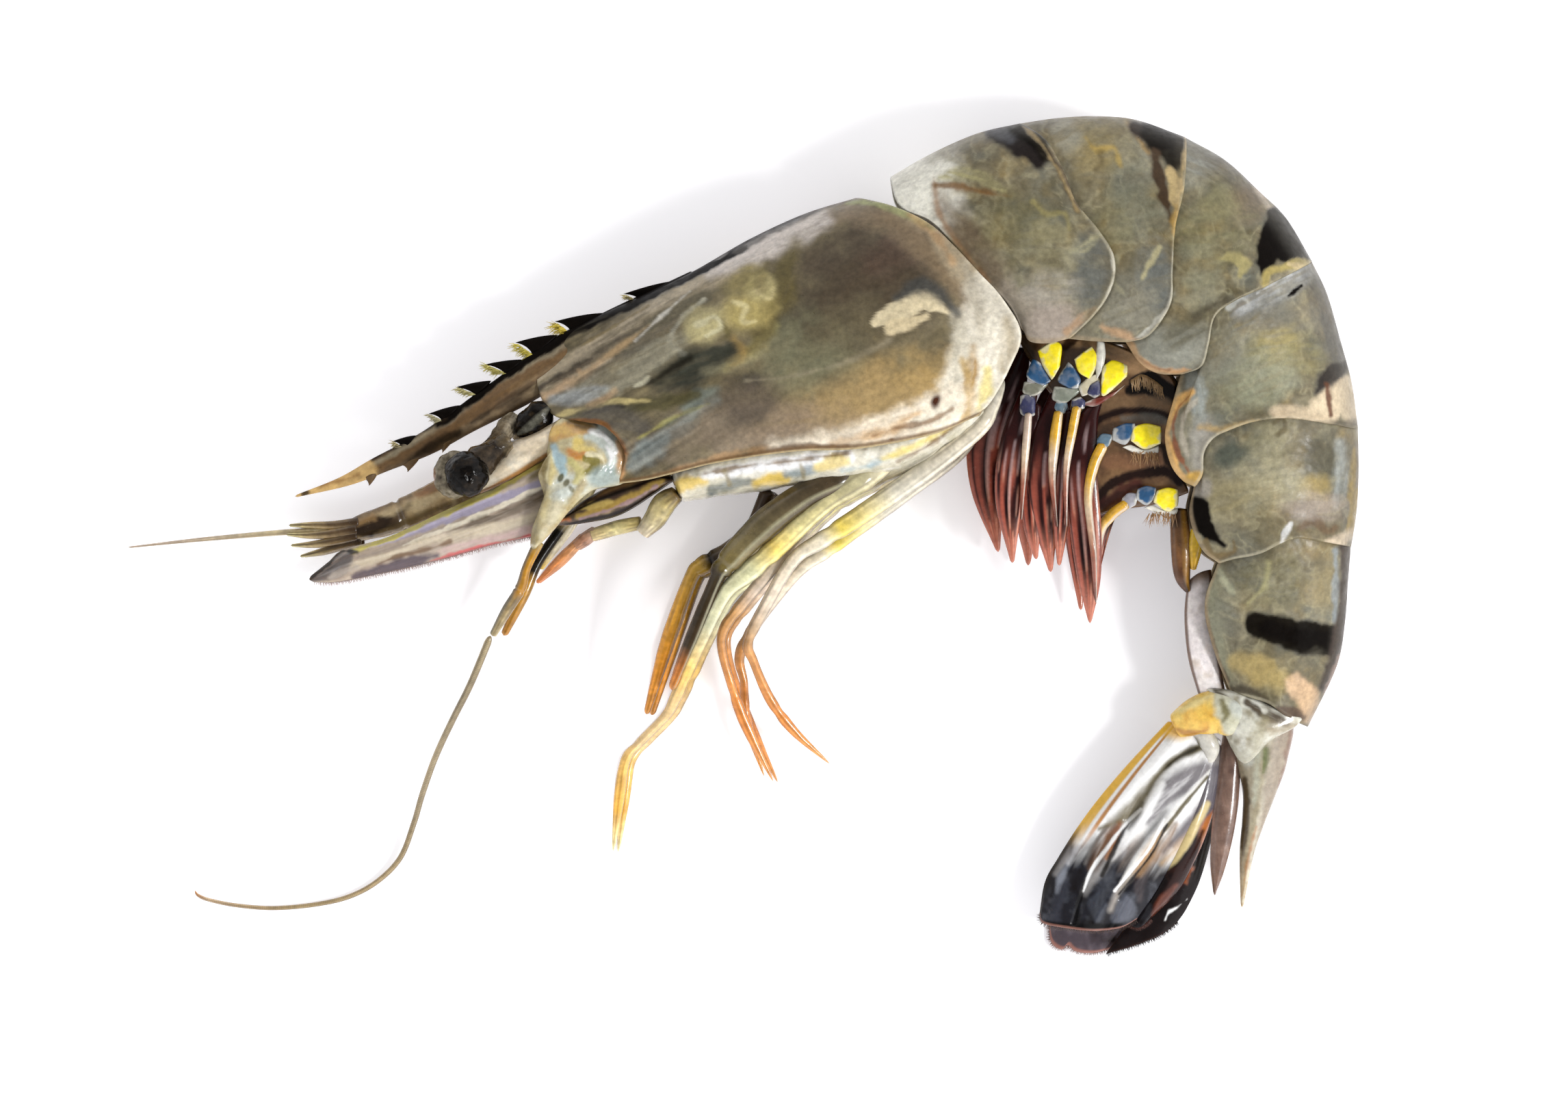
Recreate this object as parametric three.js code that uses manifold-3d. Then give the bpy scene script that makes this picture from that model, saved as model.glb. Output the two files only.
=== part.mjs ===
// A raw tiger prawn (Penaeus monodon) lying on its right side, with its left side up.
// Millimetres, +Z up. The prawn's midplane is level with the table, its head points to -X and its back to +Y,
// and its tail curls round to -Y. "left" parts are the upper ones and "right" parts the lower ones.
import * as THREE from "three";
import { mergeVertices } from "three/addons/utils/BufferGeometryUtils.js";
import Module from "manifold-3d";

const wasm = await Module();
wasm.setup();

// ---- driving dimensions ----
const GAP = 0.4; // clearance between neighbouring pieces
const SINK = 0.3; // how far the round flanks are pressed flat by the table
const CARAPACE_HALF_WIDTH = 10.9;
const HEAD_MIDPLANE = CARAPACE_HALF_WIDTH - SINK; // height of the head's midplane over the table
const SIDE_DROP = 9.0; // how far a right limb lies under its left fellow
const SHELL_WALL = 1.1; // thickness of the side flaps
const FLAP_ROWS = [0, 0.34, 0.68]; // rows of points on a side flap, as shares of its height
const HOLLOW_ROWS = 2; // how many of those rows the hollow of the belly reaches up

// ---- colours ----
const OLIVE = { color: 0x8a8468, roughness: 0.42, metalness: 0 };
const OLIVE_DARK = { color: 0x6f6a52, roughness: 0.42, metalness: 0 };
const CREAM = { color: 0xd9cfa6, roughness: 0.5, metalness: 0 };
const GOLD = { color: 0xc88a2c, roughness: 0.45, metalness: 0 };
const ORANGE = { color: 0xc8692a, roughness: 0.45, metalness: 0 };
const MAROON = { color: 0x4a1c18, roughness: 0.35, metalness: 0 };
const GREY = { color: 0x8f8784, roughness: 0.4, metalness: 0 };
const BLACK = { color: 0x141312, roughness: 0.12, metalness: 0 };
const TAIL = { color: 0x3a3733, roughness: 0.25, metalness: 0 };

const prawn = new THREE.Group();

function add(name, geometry, look) {
  const mesh = new THREE.Mesh(geometry, new THREE.MeshStandardMaterial(look));
  mesh.name = name;
  prawn.add(mesh);
}

// ---- curves and blends ----

// A smooth curve through points, as a function of the share of its length.
function through(points) {
  const vectors = points.map(([x, y, z = 0]) => new THREE.Vector3(x, y, z));
  const curve = new THREE.CatmullRomCurve3(vectors, false, "catmullrom");
  return (share) => curve.getPointAt(THREE.MathUtils.clamp(share, 0, 1));
}

// A smooth function of 0..1 through evenly spaced values.
function blend(...values) {
  const curve = new THREE.SplineCurve(values.map((v, i) => new THREE.Vector2(i, v)));
  return (share) => curve.getPoint(THREE.MathUtils.clamp(share, 0, 1)).y;
}

// A sheet between four edges in plan. u runs from the front edge to the rear, t from the belly to the back.
function sheet({ front, rear, back, belly }) {
  const frontEdge = through(front);
  const rearEdge = through(rear);
  const backEdge = through([front.at(-1), ...back, rear.at(-1)]);
  const bellyEdge = through([front[0], ...belly, rear[0]]);
  return (u, t) => {
    const point = new THREE.Vector3();
    point.addScaledVector(frontEdge(t), 1 - u).addScaledVector(rearEdge(t), u);
    point.addScaledVector(bellyEdge(u), 1 - t).addScaledVector(backEdge(u), t);
    point.addScaledVector(frontEdge(0), -(1 - u) * (1 - t)).addScaledVector(frontEdge(1), -(1 - u) * t);
    return point.addScaledVector(rearEdge(0), -u * (1 - t)).addScaledVector(rearEdge(1), -u * t);
  };
}

// ---- solids ----

// Joins rings of equal length into one closed skin. capFaces are triangles over a ring's own points.
function loft(rings, capFaces) {
  const count = rings[0].length;
  const faces = [];
  for (let i = 0; i + 1 < rings.length; i++) {
    for (let j = 0; j < count; j++) {
      const [a, b] = [i * count + j, i * count + ((j + 1) % count)];
      faces.push(a, b, b + count, a, b + count, a + count);
    }
  }
  const last = (rings.length - 1) * count;
  for (const [a, b, c] of capFaces) faces.push(a, c, b, last + a, last + b, last + c);
  const points = rings.flat().map((p) => [p.x, p.y, Math.max(p.z, 0)]);
  return facingOut(points, faces);
}

// Triangles that cover a ring which is convex.
function fan(count) {
  return Array.from({ length: count - 2 }, (_, i) => [0, i + 1, i + 2]);
}

function facingOut(points, faces) {
  let volume = 0;
  for (let i = 0; i < faces.length; i += 3) {
    const [a, b, c] = [0, 1, 2].map((k) => new THREE.Vector3(...points[faces[i + k]]));
    volume += a.dot(b.cross(c));
  }
  if (volume < 0) faces.reverse();
  const geometry = new THREE.BufferGeometry();
  geometry.setAttribute("position", new THREE.Float32BufferAttribute(points.flat(), 3));
  geometry.setIndex(faces);
  return geometry;
}

function solidOf(geometry) {
  const bare = geometry.index ? geometry.toNonIndexed() : geometry.clone();
  for (const name of Object.keys(bare.attributes)) if (name !== "position") bare.deleteAttribute(name);
  const merged = mergeVertices(bare, 1e-3);
  const vertProperties = merged.attributes.position.array;
  const triVerts = new Uint32Array(merged.index.array);
  return new wasm.Manifold(new wasm.Mesh({ numProp: 3, vertProperties, triVerts }));
}

function geometryOf(solid) {
  const { vertProperties, triVerts } = solid.getMesh();
  const geometry = new THREE.BufferGeometry();
  geometry.setAttribute("position", new THREE.BufferAttribute(new Float32Array(vertProperties), 3));
  geometry.setIndex(new THREE.BufferAttribute(new Uint32Array(triVerts), 1));
  return geometry;
}

function fused(...geometries) {
  return geometryOf(geometries.map(solidOf).reduce((whole, piece) => whole.add(piece)));
}

// Half of a shell's cross-section, from the edge of the side flap to the ridge of the back.
// Each entry is the height share t and the share of the full half width there.
function flank({ shoulder, flapWidth, archSteps }) {
  const flap = FLAP_ROWS.map((s) => [s * shoulder, 1 - (1 - flapWidth) * (1 - s) ** 2]);
  const arch = Array.from({ length: archSteps + 1 }, (_, i) => {
    const angle = (i / archSteps) * (Math.PI / 2);
    return [shoulder + (1 - shoulder) * Math.sin(angle), i < archSteps ? Math.cos(angle) : 0];
  });
  return [...flap, ...arch];
}

// A closed body under a bent sheet, with a flap down each side and a hollow belly between the flaps.
function shell({ edges, halfWidth, midplane, columns, ...profile }) {
  const at = sheet(edges);
  const side = flank(profile);
  const rows = side.length - 1;
  const hollow = side.slice(0, HOLLOW_ROWS + 1);
  const rings = Array.from({ length: columns + 1 }, (_, i) => {
    const u = i / columns;
    const place = ([t], z) => at(u, t).setZ(midplane(u) + z);
    const inner = halfWidth(u) * profile.flapWidth - SHELL_WALL;
    const up = side.map((row) => place(row, row[1] * halfWidth(u)));
    const down = side.slice(0, -1).reverse().map((row) => place(row, -row[1] * halfWidth(u)));
    const innerUp = hollow.map((row) => place(row, -inner));
    const innerDown = hollow.map((row) => place(row, inner)).reverse();
    return [...up, ...down, ...innerUp, ...innerDown];
  });
  const up = (j) => j;
  const down = (j) => 2 * rows - j;
  const lower = (j) => 2 * rows + 1 + j;
  const upper = (j) => lower(2 * HOLLOW_ROWS + 1) - j;
  const quad = (a, b, c, d) => [[a, b, c], [a, c, d]];
  const h = HOLLOW_ROWS;
  const cap = [
    [up(h), up(h + 1), upper(h)],
    [upper(h), up(h + 1), lower(h)],
    [lower(h), up(h + 1), down(h + 1)],
    [lower(h), down(h + 1), down(h)],
    [up(rows - 1), rows, down(rows - 1)],
  ];
  for (let j = 0; j < h; j++) {
    cap.push(...quad(up(j), up(j + 1), upper(j + 1), upper(j)));
    cap.push(...quad(lower(j), lower(j + 1), down(j + 1), down(j)));
  }
  for (let j = h + 1; j < rows - 1; j++) cap.push(...quad(up(j), up(j + 1), down(j + 1), down(j)));
  return loft(rings, cap);
}

// Oval rings round a line of centres. Each section is [half width in plan, half height].
function sweep(centres, sections, sides) {
  const up = new THREE.Vector3(0, 0, 1);
  const rings = centres.map((centre, i) => {
    const ahead = centres[Math.min(i + 1, centres.length - 1)];
    const tangent = ahead.clone().sub(centres[Math.max(i - 1, 0)]).normalize();
    const across = new THREE.Vector3().crossVectors(up, tangent).normalize();
    const over = new THREE.Vector3().crossVectors(tangent, across);
    return Array.from({ length: sides }, (_, j) => {
      const angle = ((j + 0.5) / sides) * Math.PI * 2;
      const point = centre.clone().addScaledVector(across, sections[i][0] * Math.cos(angle));
      return point.addScaledVector(over, sections[i][1] * Math.sin(angle));
    });
  });
  return loft(rings, fan(sides));
}

// A jointed limb. Each joint is [x, y, z, half width, half height]. Segments swell a little between joints.
const SWELL = [[0, 0.8], [0.2, 1], [0.8, 1.04]];
function limb(joints, sides = 6) {
  const centres = [];
  const sections = [];
  for (let i = 0; i + 1 < joints.length; i++) {
    const [from, to] = [joints[i], joints[i + 1]];
    for (const [share, swell] of SWELL) {
      const [x, y, z, a, b] = from.map((value, k) => THREE.MathUtils.lerp(value, to[k], share));
      centres.push(new THREE.Vector3(x, y, z));
      sections.push([a * swell, b * swell]);
    }
  }
  const [x, y, z, a, b] = joints.at(-1);
  centres.push(new THREE.Vector3(x, y, z));
  sections.push([a * 0.6, b * 0.6]);
  return sweep(centres, sections, sides);
}

// A smooth, evenly tapering whip through points.
function whip(points, startRadius, endRadius, steps, sides = 6) {
  const at = through(points);
  const centres = Array.from({ length: steps + 1 }, (_, i) => at(i / steps));
  const sections = centres.map((_, i) => {
    const radius = THREE.MathUtils.lerp(startRadius, endRadius, i / steps);
    return [radius, radius];
  });
  return sweep(centres, sections, sides);
}

// A thin leaf between two plan edges that run from its base to its tip. height(u) is the level of its middle,
// tilt(u) how far its first edge stands above its second, and camber(u) how far its middle rises.
function leaf({ first, second, height, tilt, camber, thickness, columns, rows = 4 }) {
  const [edgeA, edgeB] = [through(first), through(second)];
  const rings = Array.from({ length: columns + 1 }, (_, i) => {
    const u = i / columns;
    const place = (v, lift) => {
      const point = edgeA(u).lerp(edgeB(u), v);
      const level = height(u) + tilt(u) * (0.5 - v) + camber(u) * (4 * v * (1 - v));
      return point.setZ(level + lift);
    };
    const half = (v) => thickness(u) * (0.25 + 0.75 * Math.sqrt(4 * v * (1 - v))) / 2;
    const shares = Array.from({ length: rows + 1 }, (_, j) => j / rows);
    const top = shares.map((v) => place(v, half(v)));
    const under = shares.map((v) => place(v, -half(v))).reverse();
    return [...top, ...under];
  });
  const count = 2 * (rows + 1);
  const strips = Array.from({ length: rows }, (_, j) => [
    [j, j + 1, count - 2 - j],
    [j, count - 2 - j, count - 1 - j],
  ]).flat();
  return loft(rings, strips);
}

const flat = (value) => () => value;

// The same limb on the right side: lower and moved a little in plan, but never under the table.
function rightOf(joints, drop, [dx, dy] = [0, 0]) {
  return joints.map(([x, y, z, a, b]) => [x + dx, y + dy, Math.max(z - drop, b), a, b]);
}

// ---- head shield ----

// Every outline below is in plan and runs from the belly to the back, or from the base to the tip.
const SHIELD_REAR = [
  [20.9, 15.1], [22.5, 16.9], [24.4, 20.4], [25.6, 24], [23.6, 27.8], [21, 30.7],
  [18.1, 33.8], [15.5, 36.1], [11.9, 37.9], [7.8, 39.1],
];
const SHIELD = {
  edges: {
    front: [
      [-18.2, 7.8], [-17.6, 9.2], [-17.2, 10.8], [-17.8, 12.4], [-19.5, 14.1], [-22.2, 14.7],
      [-25.1, 15.4], [-26.7, 18], [-27.3, 22.1],
    ],
    rear: SHIELD_REAR,
    back: [[-22.2, 25.3], [-17.1, 27.7], [-10.3, 30.9], [-3.8, 34.6], [2.3, 37.4]],
    belly: [
      [-15.1, 8.2], [-12.1, 8.9], [-7.2, 10.1], [1.1, 11.3], [7.1, 11.5], [11.9, 12.2], [16.7, 13.3],
    ],
  },
  halfWidth: blend(5.6, 8.0, 9.7, 10.6, CARAPACE_HALF_WIDTH, 10.6),
  midplane: flat(HEAD_MIDPLANE),
  shoulder: 0.42,
  flapWidth: 0.74,
  archSteps: 10,
  columns: 20,
};
const ROSTRUM_TOP = [
  [-53.2, 6.7], [-48.7, 8.5], [-45, 10.6], [-41.8, 12], [-42.7, 12.5], [-40.6, 13.1], [-37.6, 15],
  [-38.7, 15.5], [-35.9, 16.3], [-33.9, 17.8], [-35.6, 18.4], [-32.5, 18.9], [-30.7, 20.2], [-32.5, 20.9],
  [-28.9, 21.2], [-27.8, 22.3], [-29.2, 23.3], [-25.1, 24], [-23.5, 24.6], [-24.8, 25.6], [-19.9, 26.6],
  [-15.7, 27.9], [-17.4, 28.6], [-10.3, 31],
];
const ROSTRUM_UNDER = [
  [-10.3, 29], [-18.4, 23], [-25.5, 18], [-29.2, 16.1], [-32.2, 14.6], [-35.9, 12.7], [-37.3, 11.2],
  [-37.9, 11.7], [-39.8, 10.7], [-41.2, 9.2], [-41.8, 9.8], [-44.5, 8.8], [-45.4, 7.6], [-46.1, 8.2],
  [-53.1, 6.4],
];
const ROSTRUM_THICKNESS = 1.3;

function bladeOf(outline, thickness, middle) {
  const shape = new THREE.Shape(outline.map(([x, y]) => new THREE.Vector2(x, y)));
  const blade = new THREE.ExtrudeGeometry(shape, { depth: thickness, bevelEnabled: false });
  return blade.translate(0, 0, middle - thickness / 2);
}

function addCarapace() {
  const rostrum = bladeOf([...ROSTRUM_TOP, ...ROSTRUM_UNDER], ROSTRUM_THICKNESS, HEAD_MIDPLANE);
  add("carapace", fused(shell(SHIELD), rostrum), OLIVE);
}

// ---- tail rings ----

// The edge that follows right behind another one, clear of it.
function behind(edge) {
  return edge.map(([x, y], i) => {
    const [x0, y0] = edge[Math.max(i - 1, 0)];
    const [x1, y1] = edge[Math.min(i + 1, edge.length - 1)];
    const length = Math.hypot(x1 - x0, y1 - y0);
    return [x + (GAP * (y1 - y0)) / length, y - (GAP * (x1 - x0)) / length];
  });
}

const RING_REAR = [
  [
    [31, 23.6], [33.3, 25.8], [34.9, 27.9], [35.8, 30.3], [35.6, 32.8], [34, 35.4],
    [31.6, 38.4], [30.4, 41.5], [28.5, 45.1], [25.8, 47.3],
  ],
  [
    [37.2, 23.2], [39.3, 23.8], [40.9, 25.6], [42, 27.9], [42.1, 31.2], [42.4, 35.8], [43.4, 40],
    [43.9, 45.8],
  ],
  [[43.2, 19.7], [45.3, 20.6], [46, 22.9], [46.7, 26], [48.8, 27.7], [52.4, 29.4], [57.8, 32.2]],
  [
    [44.7, 7.5], [45.5, 9], [45.6, 11.2], [46.6, 12.8], [48.3, 13.7], [51.3, 14.7], [55.4, 15],
    [62.9, 13.9],
  ],
  [[47.4, -0.8], [49, -0.3], [51.8, 0.3], [55.4, 1.9], [58.8, 1.6], [62.2, 1]],
  [[48.9, -15], [52.8, -16], [55, -17.5], [57.6, -18.8]],
];
const TAIL_RINGS = [
  {
    front: [[26.1, 24.4], [24.7, 27.3], [21.6, 30.8], [18.7, 34], [16.1, 36.5], [13, 38.2], [11.7, 41.5]],
    back: [[15.9, 43.9], [21.1, 46.2]],
    belly: [[26.8, 23.3], [28.8, 23.1]],
    widths: [9.4, 10.0],
  },
  { back: [[29.9, 47.9], [34, 48.1], [38.5, 47.7]], belly: [[34, 23.3]], widths: [9.5, 10.1] },
  { back: [[48.3, 43.3], [52, 39.9], [55, 36.9]], belly: [[38.8, 20.9], [40.8, 19.8]], widths: [9.6, 9.9] },
  {
    back: [[59.5, 28.6], [61, 23.4], [62.2, 18.9]],
    belly: [[42.4, 16.9], [41.5, 13.2], [42.1, 10], [43.4, 8.2]],
    widths: [9.3, 9.0],
  },
  { back: [[63, 9.5], [62.8, 5]], belly: [[44.2, 4.8], [44.7, 2.5], [45.8, 0.4]], widths: [8.4, 7.9] },
  {
    back: [[61.9, -2.9], [61.6, -7.3], [60.7, -12.2]],
    belly: [[46, -5.1], [46.8, -9.6]],
    widths: [7.2, 5.2],
  },
];
const RING_PROFILE = { shoulder: 0.44, flapWidth: 0.72, archSteps: 8, columns: 8 };

function addTailRings() {
  TAIL_RINGS.forEach(({ front, back, belly, widths }, k) => {
    const halfWidth = blend(...widths);
    const edges = { front: front ?? behind(RING_REAR[k - 1]), rear: RING_REAR[k], back, belly };
    const ring = shell({ edges, halfWidth, midplane: (u) => halfWidth(u) - SINK, ...RING_PROFILE });
    add(`abdomen_${k + 1}`, ring, k % 2 ? OLIVE_DARK : OLIVE);
  });
}

// ---- tail fan ----

const EXOPOD = {
  first: [
    [42.4, -19.1], [37.8, -22.9], [34.5, -26.8], [32.1, -30.1], [30.1, -33.3], [28.7, -35.9],
    [28.1, -39.4],
  ],
  second: [[46.9, -22.2], [44.7, -27.6], [42.4, -32.1], [40, -36.6], [37.1, -40.9]],
};
const ENDOPOD = {
  first: [[45.4, -23.1], [43.2, -28.3], [41.1, -32.9], [39.1, -37.5], [37.9, -40.5]],
  second: [[47.8, -23.6], [46.4, -28.1], [44.6, -32.1], [42.4, -36.6], [39.4, -40.5]],
};
const LOWER_EXOPOD = {
  first: [[43.2, -19.5], [37.8, -25], [33.4, -31], [30.4, -36.6], [29.4, -42.3]],
  second: [[46.8, -22.5], [44.7, -28.3], [42.3, -34.4], [39.4, -39.6], [35.4, -43.9]],
};
const LOWER_ENDOPOD = {
  first: [[45.8, -23.4], [43.4, -29.1], [41.1, -34.4], [38.5, -39.6], [36, -43.5]],
  second: [[47.8, -24.3], [46.9, -29.8], [46, -34.6], [43.9, -39.4], [39.1, -42.8]],
};
const BLADE = { thickness: blend(1.3, 0.9, 0.6, 0.4), columns: 10 };

function addTailFan() {
  const telson = [
    [53.8, -17.3, 5.0, 2.9, 2.6], [52.9, -18.8, 5.0, 3.1, 2.7], [52.6, -20.8, 4.9, 3.0, 2.5],
    [52.5, -23.4, 4.6, 2.5, 2.2], [52.2, -26.3, 4.3, 1.7, 1.7], [51.6, -29.3, 4.0, 1.2, 1.2],
    [50.9, -32.9, 3.6, 0.8, 0.8], [50.4, -38.5, 3.2, 0.25, 0.25],
  ];
  const centres = telson.map(([x, y, z]) => new THREE.Vector3(x, y, z));
  add("telson", sweep(centres, telson.map(([, , , a, b]) => [a, b]), 12), CREAM);

  const protopod = [
    [50.7, -18.8, 8.6, 1.2, 0.9], [48.9, -17.4, 8.6, 1.6, 1.2], [46.6, -16.9, 8.2, 1.8, 1.4],
    [44.5, -17.7, 7.6, 1.6, 1.2], [42.9, -18.5, 6.9, 0.9, 0.8],
  ];
  add("uropod_protopod_left", limb(protopod, 10), GOLD);
  const lowProtopod = [
    [47.7, -16.3, 2.6, 1.2, 1.2], [45.8, -17.4, 2.3, 1.6, 1.2], [43.6, -18.6, 1.6, 1.0, 0.8],
  ];
  add("uropod_protopod_right", limb(lowProtopod, 10), GOLD);

  const upper = { ...BLADE, tilt: blend(-0.6, -0.4, 0), camber: blend(0.8, 1.6, 1.1) };
  add("uropod_exopod_left", leaf({ ...EXOPOD, ...upper, height: blend(6.2, 5.6, 3.8), rows: 6 }), TAIL);
  add("uropod_endopod_left", leaf({ ...ENDOPOD, ...upper, height: blend(4.0, 3.7, 2.3) }), TAIL);
  const low = { ...BLADE, tilt: flat(0), camber: blend(0.2, 0.6, 0.5) };
  add("uropod_endopod_right", leaf({ ...LOWER_ENDOPOD, ...low, height: blend(2.1, 1.6, 1.0) }), TAIL);
  add("uropod_exopod_right", leaf({ ...LOWER_EXOPOD, ...low, height: blend(0.9, 0.5, 0.2), rows: 6 }), TAIL);
}

// ---- head parts ----

const EYE_STALK = 0.52; // radius of an eye's stalk, as a share of the eye's radius

// An eye on a stalk that runs from the middle of the eye towards the midplane.
function eyeOn(centre, foot, radius) {
  const ball = new THREE.SphereGeometry(radius, 14, 10).translate(...centre);
  const [wide, narrow] = [radius * EYE_STALK, radius * EYE_STALK * 0.8];
  return fused(ball, limb([[...centre, wide, wide], [...foot, narrow, narrow]], 8));
}

function addEyes() {
  add("eye_left", eyeOn([-34.9, 8.8, 16.2], [-30.1, 12.6, 14.4], 2.6), BLACK);
  add("eye_right", eyeOn([-27.6, 14.6, 5.8], [-30.3, 12.8, 7.8], 1.9), BLACK);
}

const SCALE = {
  first: [[-25.1, 11.1], [-30, 8.1], [-37.9, 4.5], [-48.1, 0.7], [-51.7, -2.4]],
  second: [[-26.7, 2.3], [-31.9, 1.2], [-38.7, -0.7], [-46.2, -2.4], [-51.3, -2.9]],
};
const ANTENNULE = [
  [-25.5, 12.2, 10.9, 1.3, 1.0], [-29.5, 10.2, 11.0, 2.1, 1.1], [-33.4, 8.1, 11.0, 2.1, 1.1],
  [-37.6, 6.3, 11.1, 1.8, 1.1], [-41.7, 4.6, 11.2, 1.6, 1.0], [-45.4, 3.3, 11.4, 1.4, 0.9],
  [-48.4, 2.4, 11.6, 1.0, 0.7],
];
const ANTENNA = [
  [-22.2, 8.4, 15.0, 2.0, 1.4], [-24.1, 6.3, 14.8, 1.7, 1.2], [-25.3, 4.5, 14.4, 1.4, 1.1],
  [-26.2, 3, 14.0, 1.1, 1.0], [-27.1, 1.2, 13.4, 0.8, 0.8], [-28.8, -2.9, 12.4, 0.8, 0.8],
  [-31.8, -8.5, 11.0, 0.5, 0.5],
];
const RIGHT_ANTENNA = [
  [-21.8, 9.2, 5.0, 1.7, 1.5], [-24.3, 4.8, 4.6, 0.9, 0.9], [-26.5, 0.4, 5.4, 0.8, 0.8],
  [-28.6, -4.2, 5.6, 0.8, 0.8], [-30.8, -8.8, 5.6, 0.4, 0.4],
];
const FLAGELLUM = [
  [-32.1, -9.1, 11.0], [-34.3, -14, 9.0], [-36.4, -18.1, 6.6], [-38.3, -22.1, 4.4], [-39.8, -26.2, 2.6],
  [-40.8, -29.5, 1.4], [-42.3, -33.3, 0.7], [-44.8, -35.9, 0.5], [-47.9, -37.6, 0.45],
  [-51.7, -38.5, 0.4], [-56.3, -38.9, 0.4], [-60.4, -38.6, 0.4], [-63.4, -38, 0.4], [-65.2, -37.4, 0.4],
];
const ANTENNA_BULB = [3.6, 2.9, 2.1]; // half sizes of the round base of the antenna

function addFeelers() {
  const bend = { tilt: blend(0.8, 0.4, 0), camber: blend(0.5, 0.7, 0.1) };
  const leafShape = { columns: 12, thickness: blend(1.1, 0.8, 0.6, 0.5), ...bend };
  add("antennal_scale_left", leaf({ ...SCALE, ...leafShape, height: blend(12.5, 13.4, 14.0) }), GREY);
  add("antennal_scale_right", leaf({ ...SCALE, ...leafShape, height: blend(5.6, 4.3, 3.2) }), GREY);

  const lobe = whip([[-48.1, 2.5, 11.6], [-50.7, 1.3, 11.6], [-52.5, 0, 11.6]], 0.6, 0.2, 6);
  const course = [[-47.7, 2.9, 11.7], [-53.6, 2.6, 11.4], [-63.4, 1.8, 8], [-72.1, 0.9, 4.6]];
  const tip = whip(course, 0.5, 0.16, 16);
  add("antennule_left", fused(limb(ANTENNULE, 8), lobe, tip), CREAM);
  const lowLobe = whip([[-48.1, 2.5, 2.0], [-51.8, 1.9, 2.0], [-54.1, 1.5, 1.9]], 0.5, 0.2, 6);
  const lowAntennule = rightOf(ANTENNULE, 9.5);
  add("antennule_right", fused(limb(lowAntennule, 8), lowLobe), CREAM);

  const bulb = new THREE.SphereGeometry(1, 12, 8).scale(...ANTENNA_BULB);
  add("antenna_left", fused(limb(ANTENNA, 8), bulb.clone().translate(-21.7, 10.7, 15.2)), CREAM);
  add("antenna_right", fused(limb(RIGHT_ANTENNA, 8), bulb.clone().translate(-21.6, 10.2, 5.6)), CREAM);
  add("antenna_flagellum_left", whip(FLAGELLUM, 0.36, 0.18, 36, 5), ORANGE);
}

// ---- mouthparts ----

const SECOND_MAXILLIPED = [
  [-13.5, 7.5, 11.8, 0.8, 1.0], [-16.2, 6, 11.8, 1.15, 1.0], [-19.9, 4.8, 11.8, 1.1, 0.9],
  [-24, 3.7, 11.8, 0.4, 0.4],
];
const THIRD_MAXILLIPED = [
  [-11.7, 6.3, 13.0, 0.9, 0.9], [-14.3, 3, 11.6, 1.2, 0.9], [-18.1, 2.7, 10.4, 0.8, 0.8],
  [-22.3, 0.9, 9.6, 0.8, 0.7], [-26.9, -2.8, 8.6, 0.35, 0.35],
];

function addMouthparts() {
  add("maxilliped_2_left", limb(SECOND_MAXILLIPED), MAROON);
  add("maxilliped_2_right", limb(rightOf(SECOND_MAXILLIPED, 8.6)), MAROON);
  add("maxilliped_3_left", limb(THIRD_MAXILLIPED), CREAM);
  add("maxilliped_3_right", limb(rightOf(THIRD_MAXILLIPED, 8.6, [0.6, -0.4])), CREAM);
}

// ---- chest and walking legs ----

// The chest lies between the side flaps of the head shield and carries the legs.
const CHEST = [
  [20.8, 16.5, 1.6, 4.6], [16.9, 13.9, 1.8, 6.0], [11.9, 11.4, 1.8, 6.6], [6.3, 10.5, 1.8, 6.6],
  [0.3, 9.9, 1.8, 6.4], [-5.7, 8.8, 1.7, 5.6], [-10.9, 7, 1.2, 3.6],
];

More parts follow.
